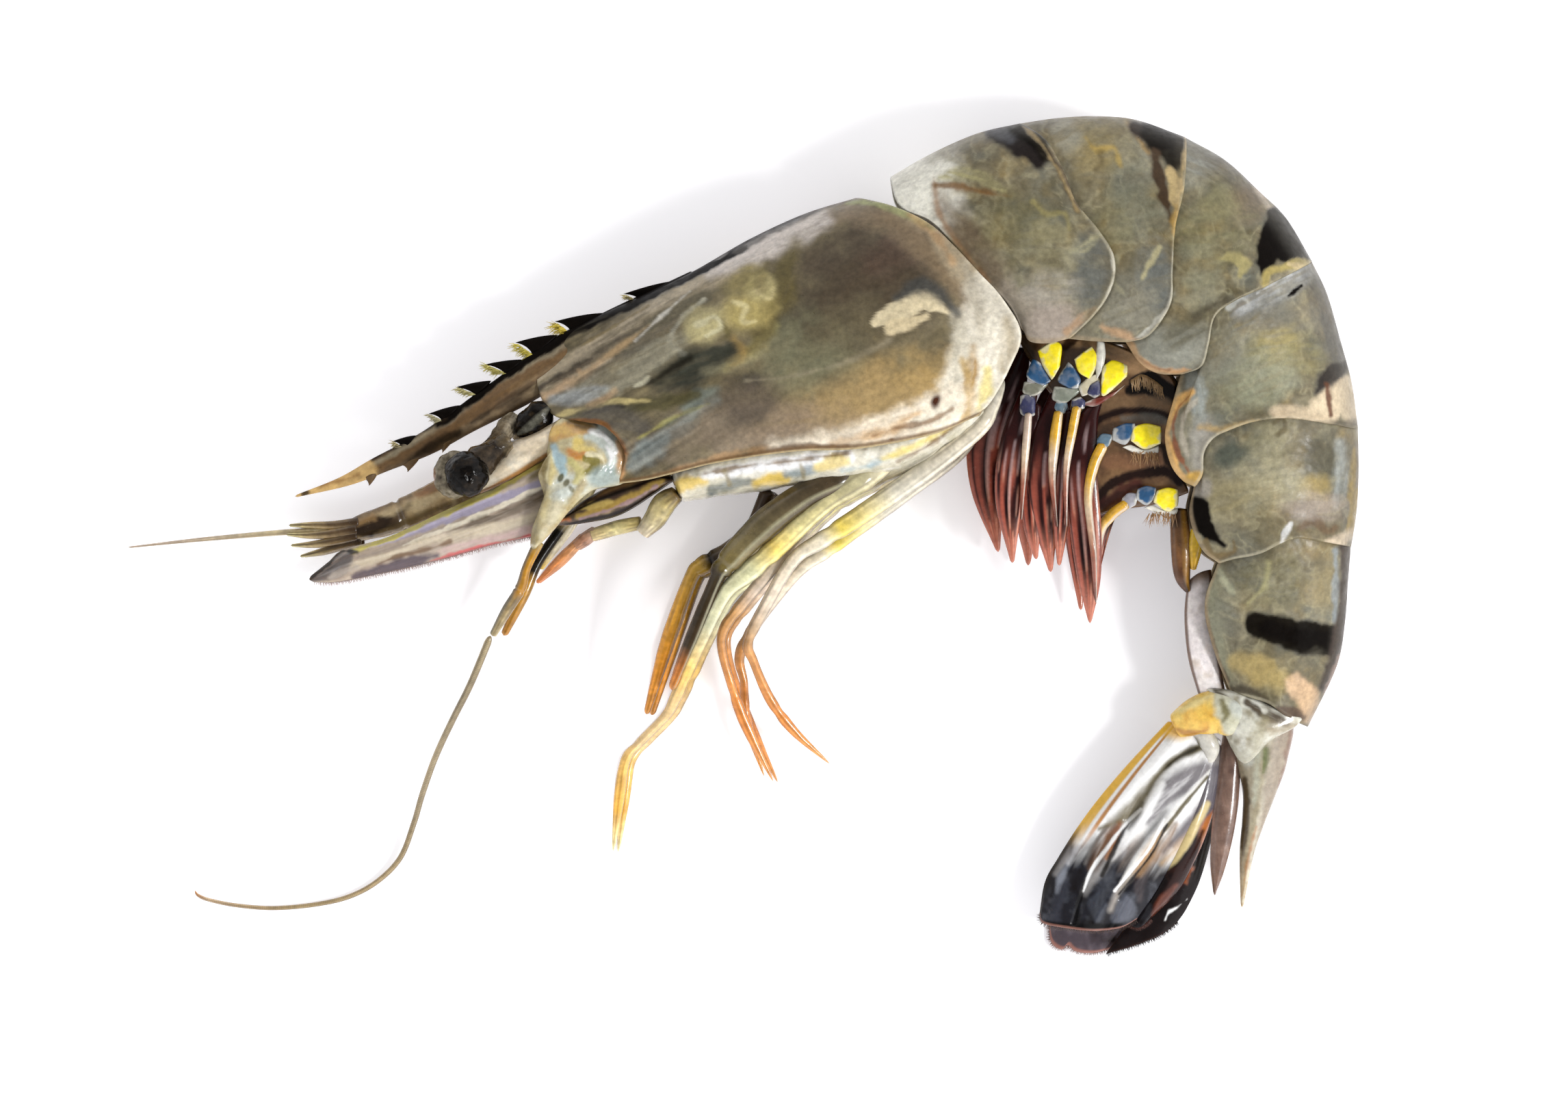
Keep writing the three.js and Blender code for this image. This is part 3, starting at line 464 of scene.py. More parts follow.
COAL = rgb(17, 13, 10)
DUSK = rgb(74, 76, 82)
RING_MARKS = [
    [
        ((14.2, 40.5), (9.0, 10.5), 35, rgb(255, 252, 236), 1.0),
        ([(17.2, 38.7), (19.1, 36.0), (21.4, 32.7), (23.6, 29.4)], (2.0, 3.2, 3.6, 2.4), rgb(124, 104, 84), 0.6, 1.0),
        ([(16.3, 41.5), (16.7, 37.9), (18.0, 35.1), (19.9, 32.7), (22.3, 29.7)], (0.4, 0.5, 0.5, 0.4, 0.3), rgb(160, 122, 84), 0.7, 0.3),
        ([(16.9, 41.2), (19.1, 41.5), (21.8, 40.9), (23.7, 39.6)], (0.8, 1.6, 1.2, 0.5), rgb(184, 176, 124), 0.8, 0.4, 0.5),
        ([(16.6, 40.4), (19.3, 40.2), (22.1, 39.4), (24.6, 39.0)], (0.4, 0.7, 0.6, 0.2), rgb(130, 92, 44), 0.85, 0.3),
        ([(16.1, 43.2), (19.1, 45.0), (22.5, 46.2)], (1.0, 1.4, 1.0), rgb(176, 170, 152), 0.6, 0.6, 0.5),
        ((25.8, 36.1), (9, 7), 10, rgb(130, 122, 84), 0.55, 0.4),
        ((28.8, 33.9), (5, 6), 0, rgb(160, 152, 116), 0.5, 0.6),
        ((26.6, 25.9), (10, 6), -20, rgb(184, 172, 154), 0.85),
        ((29.5, 25.1), (6, 4), 10, rgb(186, 172, 158), 0.85),
        ((33.6, 30.9), (4.6, 8), -8, rgb(112, 114, 108), 0.85, 0.3),
        ((28.8, 29.1), (6, 3.4), 0, rgb(176, 170, 156), 0.65, 0.5),
        ([(31.2, 32.9), (32.5, 33.4), (34.4, 34.8)], (0.4, 0.8, 0.4), rgb(184, 178, 140), 0.7, 0.3, 0.5),
        ([(27.1, 38.4), (28.6, 37.0), (30.4, 37.2), (31.0, 35.4)], (0.4, 0.6, 0.5, 0.2), rgb(170, 158, 100), 0.6, 0.25),
        ([(22.9, 46.2), (24.9, 45.9), (26.6, 44.5), (27.6, 42.9)], (2.0, 3.4, 3.4, 1.6), rgb(40, 34, 32), 1.0, 0.5),
        ([(24.3, 46.6), (26.2, 46.4), (27.8, 44.9), (28.8, 43.2)], (1.0, 2.2, 2.0, 0.8), COAL, 1.0, 0.35),
        ([(22.4, 46.5), (23.7, 46.2), (24.6, 45.4)], (0.8, 1.3, 0.6), DUSK, 0.75, 0.5),
        ([(28.8, 44.1), (30.3, 41.2), (31.5, 38.7), (31.8, 37.5)], (0.7, 0.7, 0.8, 0.3), rgb(66, 48, 28), 0.95, 0.25),
        ([(26.1, 46.9), (27.9, 45.0), (29.5, 42.4), (30.9, 39.6), (31.8, 37.4)], (0.25, 0.45, 0.3, 0.2, 0.1), rgb(186, 162, 112), 0.8, 0.18),
        ([(35.6, 33.3), (36.0, 30.3), (34.9, 27.6), (34.0, 25.9)], (0.3, 0.45, 0.5, 0.3), rgb(214, 212, 198), 0.85, 0.15),
        ([(30.8, 24.4), (32.2, 25.6), (33.8, 26.6)], (0.9, 0.8, 0.4), rgb(190, 150, 108), 0.7, 0.3, 0.7),
    ],
    [
        ((34.0, 45.9), (7, 8), 20, rgb(140, 126, 84), 0.7, 0.4),
        ((30.8, 45.9), (3.0, 5), 30, rgb(172, 168, 148), 0.8, 0.5),
        ((33.3, 42.9), (4, 5), 0, rgb(160, 140, 88), 0.5, 0.6),
        ([(32.9, 45.5), (34.0, 44.2), (35.9, 44.4), (36.6, 42.4)], (0.4, 0.6, 0.5, 0.3), rgb(190, 160, 76), 0.65, 0.3),
        ([(34.4, 43.9), (34.6, 42.9), (33.9, 42.0)], (0.5, 0.5, 0.3), rgb(90, 76, 44), 0.6, 0.3),
        ((37.8, 38.4), (6, 8), 0, rgb(130, 130, 108), 0.6, 0.4),
        ((35.4, 35.4), (5, 6), 20, rgb(146, 140, 106), 0.6, 0.5),
        ((40.8, 29.4), (4.4, 8), 14, rgb(118, 122, 118), 0.85, 0.3),
        ((37.0, 27.4), (6, 7), 20, rgb(164, 160, 142), 0.75, 0.5),
        ([(40.8, 33.4), (39.6, 31.5), (38.9, 30.1)], (0.4, 0.9, 0.4), rgb(206, 196, 150), 0.8, 0.25),
        ([(36.1, 32.5), (35.7, 30.1), (36.8, 28.6)], (0.4, 0.5, 0.3), rgb(190, 184, 150), 0.6, 0.25),
        ([(37.8, 47.1), (38.5, 45.8), (39.8, 43.8)], (0.5, 0.6, 0.4), rgb(176, 146, 92), 0.85, 0.3),
        ([(38.7, 46.6), (41.5, 46.0), (43.6, 45.4)], (2.2, 3.6, 2.6), rgb(48, 36, 28), 1.0, 0.4),
        ([(40.8, 46.2), (42.1, 44.7), (42.4, 42.9)], (4.0, 4.2, 2.4), COAL, 0.95, 0.5),
        ([(40.4, 43.5), (40.8, 41.2), (41.5, 38.4), (42.1, 36.4)], (1.3, 1.3, 1.2, 0.4), rgb(70, 52, 34), 0.97, 0.3),
        ([(41.9, 42.1), (42.5, 40.4), (42.6, 38.2)], (0.8, 1.5, 0.9), rgb(196, 172, 120), 0.95, 0.25),
        ([(42.6, 37.9), (42.4, 36.1), (42.4, 34.6)], (0.6, 0.9, 0.4), rgb(184, 148, 74), 0.8, 0.3),
        ([(44.0, 45.9), (43.6, 43.2), (43.0, 39.9), (42.5, 37.5)], (0.5, 0.4, 0.3, 0.2), rgb(192, 168, 120), 0.8, 0.2),
        ([(42.2, 33.0), (42.3, 29.4), (41.4, 26.6), (39.4, 24.3), (37.8, 23.4)], (0.2, 0.3, 0.5, 0.5, 0.3), rgb(214, 212, 198), 0.85, 0.15),
        ([(34.5, 24.9), (36.6, 24.1), (38.2, 23.4)], (0.6, 1.2, 0.6), rgb(212, 172, 130), 0.8, 0.3),
    ],
    [
        ((45.8, 44.2), (4.6, 8), -22, rgb(162, 164, 154), 0.8, 0.4),
        ((48.8, 40.8), (6, 8), -30, rgb(90, 80, 54), 0.75, 0.4),
        ((50.7, 38.4), (4, 6), -35, rgb(126, 104, 80), 0.6),
        ((46.8, 36.1), (9, 8), 10, rgb(126, 122, 86), 0.6, 0.4),
        ([(47.5, 32.2), (48.8, 32.4), (49.9, 31.5), (49.5, 30.3)], (0.8, 1.5, 1.5, 0.6), rgb(182, 170, 112), 0.8, 0.3),
        ((45.3, 30.9), (4, 7), 0, rgb(152, 150, 122), 0.55, 0.5),
        ((47.2, 38.4), (4, 5), 30, rgb(146, 140, 100), 0.5, 0.5),
        ((42.4, 22.3), (9, 5), 12, rgb(164, 164, 150), 0.9),
        ((44.2, 24.9), (7, 3), 32, rgb(104, 98, 74), 0.7, 0.4),
        ([(44.7, 25.6), (46.0, 26.7), (48.0, 27.9)], (0.9, 1.0, 0.4), rgb(80, 72, 54), 0.6, 0.4),
        ([(38.5, 24.9), (40.8, 26.2), (42.4, 28.5)], (0.4, 0.5, 0.3), rgb(218, 214, 192), 0.7, 0.2),
        ([(51.9, 39.9), (52.9, 38.4), (54.1, 37.0)], (1.0, 0.9, 0.5), BLUSH, 0.8, 0.4),
        ([(53.7, 37.2), (54.8, 35.5), (55.9, 33.4)], (2.0, 4.4, 3.2), COAL, 1.0, 0.3),
        ([(53.4, 35.7), (52.6, 33.0), (52.5, 30.9)], (2.6, 3.0, 1.4), COAL, 1.0, 0.3),
        ([(54.0, 34.2), (55.0, 33.0), (56.9, 32.9)], (3.2, 2.6, 1.6), COAL, 1.0, 0.25),
        ([(52.2, 29.5), (52.9, 30.8), (54.1, 31.2), (55.6, 31.8), (57.3, 31.9)], (0.9, 1.1, 0.9, 1.2, 0.9), rgb(184, 166, 96), 0.95, 0.2),
        ([(55.0, 31.8), (56.2, 31.5), (57.4, 32.1)], (0.5, 0.6, 0.4), rgb(222, 200, 150), 0.8, 0.2),
        ([(37.6, 22.9), (38.4, 21.6), (40.0, 20.4), (42.1, 19.9), (44.2, 20.2)], (1.0, 1.0, 0.8, 0.7, 0.3), rgb(214, 164, 110), 0.9, 0.25),
        ([(38.2, 21.9), (39.9, 20.6), (41.9, 20.1)], (0.2, 0.3, 0.2), rgb(150, 92, 56), 0.7, 0.15),
    ],
    [
        # Painted highlight: a whitish-blue sheen with fine streaks across the top of the fourth ring, with thin white
        # lines in it.
        ([(49.9, 27.4), (52.8, 29.1), (56.9, 31.0)], (2.6, 4.0, 2.6), rgb(186, 188, 186), 0.85, 0.7, 0.55),
        ([(49.0, 24.9), (52.8, 27.1), (56.5, 29.4), (59.2, 30.3)], (1.4, 2.0, 1.6, 1.0), rgb(120, 120, 112), 0.6, 0.5, 0.7),
        ([(48.3, 27.0), (49.5, 28.2), (50.4, 27.6)], (0.6, 0.7, 0.4), rgb(222, 222, 212), 0.85, 0.2),
        ([(51.4, 28.5), (53.4, 29.7), (55.2, 30.6)], (0.2, 0.3, 0.2), rgb(236, 236, 234), 0.8, 0.12),
        ((55.0, 25.6), (7, 4.5), 20, rgb(128, 122, 104), 0.6, 0.5),
        # Painted shade along the back edge of the fourth ring.
        ([(58.4, 30.1), (60.0, 25.9), (60.8, 22.3)], (2.6, 4.0, 3.0), rgb(98, 96, 90), 0.85, 0.9, 0.3),
        ((53.5, 22.5), (7, 4), 10, rgb(164, 150, 92), 0.75, 0.5),
        ((56.9, 21.9), (4, 5), 0, rgb(140, 130, 82), 0.6, 0.5),
        ((51.3, 18.9), (9, 6), 20, rgb(158, 160, 132), 0.7, 0.4),
        ((46.8, 21.9), (8, 6), 30, rgb(134, 134, 120), 0.6, 0.4),
        ([(44.2, 20.4), (45.0, 17.4), (45.1, 14.4)], (1.2, 2.0, 0.9), rgb(178, 184, 178), 0.8, 0.5, 0.4),
        ((45.8, 11.4), (3.2, 6), 0, rgb(182, 178, 168), 0.8),
        ([(58.8, 15.8), (61.2, 17.8), (62.2, 15.9)], (3.4, 4.2, 3.2), rgb(230, 210, 176), 0.97, 0.35),
        ([(53.7, 15.6), (55.8, 15.4), (58.8, 15.0)], (1.2, 1.4, 1.2), rgb(226, 204, 170), 0.85, 0.4),
        ([(58.0, 17.7), (59.1, 19.1), (60.4, 20.1), (61.6, 20.8)], (0.7, 1.9, 2.0, 1.2), rgb(50, 44, 40), 0.97, 0.35),
        ([(59.2, 18.6), (59.3, 16.9), (59.6, 15.4)], (0.7, 0.6, 0.5), rgb(104, 62, 34), 0.95, 0.18),
        ([(58.2, 14.5), (60.1, 14.2), (62.7, 14.5)], (0.6, 1.0, 0.9), rgb(70, 60, 40), 0.85, 0.25, 0.3),
        ([(45.3, 13.9), (48.3, 13.7), (51.6, 14.7)], (0.5, 0.9, 0.4), rgb(204, 172, 112), 0.75, 0.3),
        ([(44.4, 17.8), (42.4, 16.1), (41.3, 13.8), (41.9, 10.7), (43.5, 8.4)], (0.8, 1.5, 1.5, 1.3, 0.9), rgb(246, 192, 112), 0.97, 0.25),
        ([(44.1, 17.4), (42.8, 15.8), (42.4, 13.5), (43.0, 11.0), (44.1, 9.0)], (0.2, 0.35, 0.4, 0.35, 0.3), rgb(150, 84, 48), 0.85, 0.15),
        ([(44.9, 17.1), (43.6, 15.4), (43.3, 13.3), (43.8, 11.1)], (0.3, 0.6, 0.6, 0.4), rgb(206, 196, 176), 0.8, 0.2),
        ((44.9, 8.4), (2.2, 1.5), 10, rgb(224, 176, 74), 0.95),
        ([(54.9, 28.3), (55.6, 28.8), (56.4, 29.4)], (0.45, 0.6, 0.45), COAL, 1.0, 0.1),
    ],
    [
        ((58.6, 10.2), (5.6, 6.0), 10, rgb(74, 70, 50), 0.85),
        ([(60.9, 12.2), (60.8, 8.4), (60.3, 5.4)], (1.4, 1.6, 1.0), rgb(162, 166, 160), 0.75, 0.5, 0.4),
        ((58.0, 7.5), (3.8, 2.6), 15, rgb(166, 144, 82), 0.85),
        ((57.7, 5.2), (7, 3.4), 0, rgb(170, 156, 142), 0.75, 0.3),
        ((48.8, 11.1), (4.4, 2.7), 20, rgb(88, 92, 80), 0.95),
        ((52.8, 12.2), (5, 5), 0, rgb(150, 144, 112), 0.6, 0.4),
        ((52.8, 8.2), (7, 6), 10, rgb(186, 178, 144), 0.8, 0.4),
        ((48.3, 6.1), (6, 4.5), 20, rgb(164, 152, 112), 0.7, 0.4),
        ((45.4, 7.2), (2.4, 2.0), 0, rgb(166, 160, 152), 0.7),
        ([(53.4, 14.4), (54.3, 15.0), (54.6, 13.8), (53.7, 13.2)], (0.4, 0.4, 0.4, 0.4), rgb(96, 84, 52), 0.7, 0.2),
        ([(56.2, 3.0), (57.7, 3.6), (59.2, 2.7), (60.3, 3.1)], (0.8, 1.2, 1.0, 0.5), rgb(104, 80, 50), 0.85, 0.3),
        ([(44.9, 5.1), (45.4, 3.6), (46.5, 2.4), (48.0, 1.1)], (2.6, 2.4, 1.2, 0.6), COAL, 1.0, 0.25),
        ([(46.0, 1.5), (46.9, 0.0), (49.0, 0.3), (49.0, 1.5)], (0.4, 0.6, 0.6, 0.3), rgb(120, 98, 54), 0.75, 0.2),
        ([(62.5, 11.4), (62.5, 6.9), (62.1, 2.4)], (0.8, 1.4, 1.0), rgb(172, 144, 64), 0.85, 0.25),
        ([(62.8, 12.2), (62.8, 7.6)], (0.6, 0.7), rgb(86, 68, 42), 0.8, 0.25),
        ([(59.4, 1.2), (61.0, 1.6), (62.2, 2.5)], (1.0, 1.2, 0.8), BLUSH, 0.8, 0.35),
        ([(55.2, 3.4), (54.6, 2.4), (54.2, 1.4)], (0.5, 0.8, 0.4), rgb(240, 240, 236), 0.95, 0.2),
    ],
    [
        ([(46.5, -1.1), (45.9, -4.3), (46.6, -8.8), (48.3, -13.5)], (3.0, 3.4, 3.4, 2.0), rgb(152, 152, 124), 0.7, 1.0, 0.3),
        ((53.5, -2.9), (9, 6), 0, rgb(128, 120, 84), 0.5, 0.4),
        ([(47.2, -1.1), (48.3, -3.0), (49.0, -4.0)], (0.4, 0.6, 0.3), rgb(196, 196, 164), 0.7, 0.3),
        ([(52.9, -0.9), (52.4, -3.4), (50.7, -5.1)], (0.4, 0.6, 0.3), rgb(178, 172, 124), 0.7, 0.3),
        ([(54.0, -0.6), (53.9, -3.6)], (0.3, 0.4), rgb(100, 92, 60), 0.5, 0.3),
        ([(56.9, -0.6), (56.7, -4.3)], (0.3, 0.4), rgb(104, 92, 56), 0.5, 0.3),
        ((58.8, -4.3), (3, 6), 0, rgb(160, 146, 106), 0.6, 0.4),
        ([(51.4, -7.5), (54.0, -8.1), (56.5, -8.8), (60.0, -9.4)], (2.4, 3.4, 3.8, 3.4), rgb(26, 22, 16), 1.0, 0.3),
        ([(52.8, -7.9), (56.2, -8.8), (59.8, -9.4)], (1.6, 2.4, 2.2), COAL, 1.0, 0.4),
        ([(49.9, -11.7), (52.0, -12.6), (54.1, -13.5)], (2.2, 3.4, 2.8), rgb(188, 166, 106), 0.85, 0.7),
        ((56.9, -12.2), (4.5, 3), 20, rgb(112, 106, 84), 0.6, 0.4),
        ([(55.8, -14.1), (57.4, -15.6), (57.4, -17.8)], (2.2, 2.8, 1.4), rgb(226, 190, 150), 0.85, 0.4),
        ([(54.1, -17.1), (55.5, -17.2), (56.9, -17.8)], (1.0, 1.4, 0.8), rgb(86, 62, 46), 0.9, 0.3),
        ([(45.8, -0.9), (45.3, -4.8), (46.0, -9.3), (47.9, -13.9)], (0.6, 0.8, 0.9, 0.7), rgb(208, 158, 108), 0.85, 0.2),
        ([(46.3, -1.8), (45.9, -4.8), (46.6, -8.8), (48.6, -13.8)], (0.3, 0.4, 0.5, 0.4), rgb(86, 68, 50), 0.8, 0.15),
        ([(60.3, 0.4), (60.4, -3.6), (60.3, -7.0)], (0.6, 0.9, 0.6), rgb(150, 160, 164), 0.75, 0.25),
        ([(61.5, 0.9), (61.6, -3.6), (60.9, -9.6), (59.2, -14.4)], (1.4, 1.5, 1.7, 1.2), rgb(60, 44, 36), 0.95, 0.3),
        ([(60.9, -11.1), (59.8, -14.4), (58.8, -17.1)], (0.5, 0.7, 0.4), rgb(176, 140, 120), 0.7, 0.25),
        ([(49.0, -14.5), (50.9, -14.8), (52.8, -15.8)], (0.5, 0.7, 0.6), rgb(60, 50, 34), 0.8, 0.25),
    ],
]


def paint_ring(k, x, y, u, t):
    colour = speckled(
        x, y, OLIVE,
        (OLIVE_GREY, 5.0, 1.6), (OLIVE_LIGHT, 2.2, 1.1), (OLIVE_DEEP, 2.8, 1.4), (rgb(158, 134, 78), 2.4, 1.0),
        (rgb(104, 108, 100), 3.6, 1.2),
    )
    colour = mix(colour, OLIVE_GREY, 0.45 * ease(0.5 - t, 0, 0.35))
    curls = fractal(x + 1.6 * fractal(x, y, 3.0, 61 + k), y + 1.6 * fractal(x, y, 3.0, 71 + k), 2.2, 40 + k)
    colour = mix(colour, rgb(182, 174, 138), 0.35 * (1 - ease(np.abs(curls), 0.0, 0.16)))
    colour = mix(colour, rgb(94, 86, 62), 0.35 * (1 - ease(np.abs(curls - 0.3), 0.0, 0.16)))
    colour = colour * (1 + 0.16 * streaks(x, y, 64 - 22 * k, 0.5, 90 + k, 5.0))[..., None]
    colour = lay(colour, x, y, RING_MARKS[k])
    low = ease(0.6 - t, 0, 0.3)
    colour = mix(colour, rgb(104, 94, 72), (0.15 + 0.2 * low) * ease(u, 0.9, 0.97) * (1 - ease(u, 0.975, 0.985)))
    colour = mix(colour, rgb(190, 182, 156), (0.1 + 0.45 * low) * ease(u, 0.978, 0.99))
    # Painted shade: the back edge of each ring is darkened, a little on the first two rings and more on the rest, where
    # it turns away from the light.
    edge = ease(t, 0.86, 0.98) * (0.2 if k < 2 else 0.5)
    colour = mix(colour, rgb(84, 80, 70), edge)
    return mix(colour, rgb(184, 160, 124), 0.5 * (1 - ease(t, 0.012, 0.035)))


TUCK = 0.09  # how far the front of each ring slips under the ring before it, as a share of its length
LEFT_COLUMNS = 184  # the side that lies up is the more finely divided
RIGHT_COLUMNS = 36


def round_the_back(left, right):
    """Places from the right flap over the back to the left flap, for across."""
    return np.concatenate([np.linspace(-1, 0, right, endpoint=False), np.linspace(0, 1, left)])


def add_ring(k):
    spec = RINGS[k]
    edges = {"front": spec.get("front") or RING_REAR[k - 1], "rear": RING_REAR[k], "back": spec["back"], "belly": spec["belly"]}
    rows = np.concatenate([[-TUCK, -TUCK / 2], np.linspace(0, 1, 100)])
    u, q = np.meshgrid(rows, round_the_back(LEFT_COLUMNS, RIGHT_COLUMNS), indexing="ij")
    width = blend(u, *spec["widths"])
    middle = width - SINK

    def relief(x, y, u, t):
        dip = 0.12 * fractal(x, y, 6.0, 60 + k) + 0.07 * fractal(x, y, 1.5, 80 + k)
        step = (0.06 + 0.1 * ease(0.45 - t, 0, 0.3)) * (1 - ease(u, -0.02, 0.08)) if k else 0.0
        return dip + 0.03 * ease(u, 0.9, 1.0) - step

    outer, t = shell_points(u, q, edges, width, middle, 0.44, 0.72, 0.0, relief)
    inner, _ = shell_points(u, q, edges, width, middle, 0.44, 0.72, SHELL_WALL, relief)
    tints = paint_ring(k, outer[..., 0], outer[..., 1], u, t)
    skin = Skin()
    skin.slab(outer, inner, tints, tints * 0.75)
    return skin.build(f"tail_ring_{k + 1}", SHELL, "shell", f"abdomen_{k + 1}")


CARAPACE_WIDTHS = (5.6, 8.0, 9.7, 10.6, CARAPACE_HALF_WIDTH, 10.6)
CARAPACE_RIDGES = [  # raised lines of the head shield: line, width, height
    ([(-25.9, 18.9), (-18.4, 24.0), (-10.2, 28.8), (-1.9, 33.0)], 1.4, 0.35),
    ([(-15.4, 12.9), (-12.1, 14.2), (-9.2, 16.1)], 0.8, 0.25),
    ([(-20.7, 13.8), (-17.3, 12.9), (-15.4, 10.8)], 0.9, 0.4),
]
CARAPACE_GROOVES = [
    ([(-25.1, 17.0), (-18.1, 21.9), (-10.9, 25.9), (-3.4, 30.1)], 1.8, 0.4),
    ([(-18.4, 15.9), (-13.9, 17.8), (-6.5, 21.9), (-1.2, 25.6)], 2.6, 0.4),
    ([(-10.9, 9.2), (0.3, 12.9), (11.5, 13.8), (17.6, 15.4)], 1.4, 0.3),
]


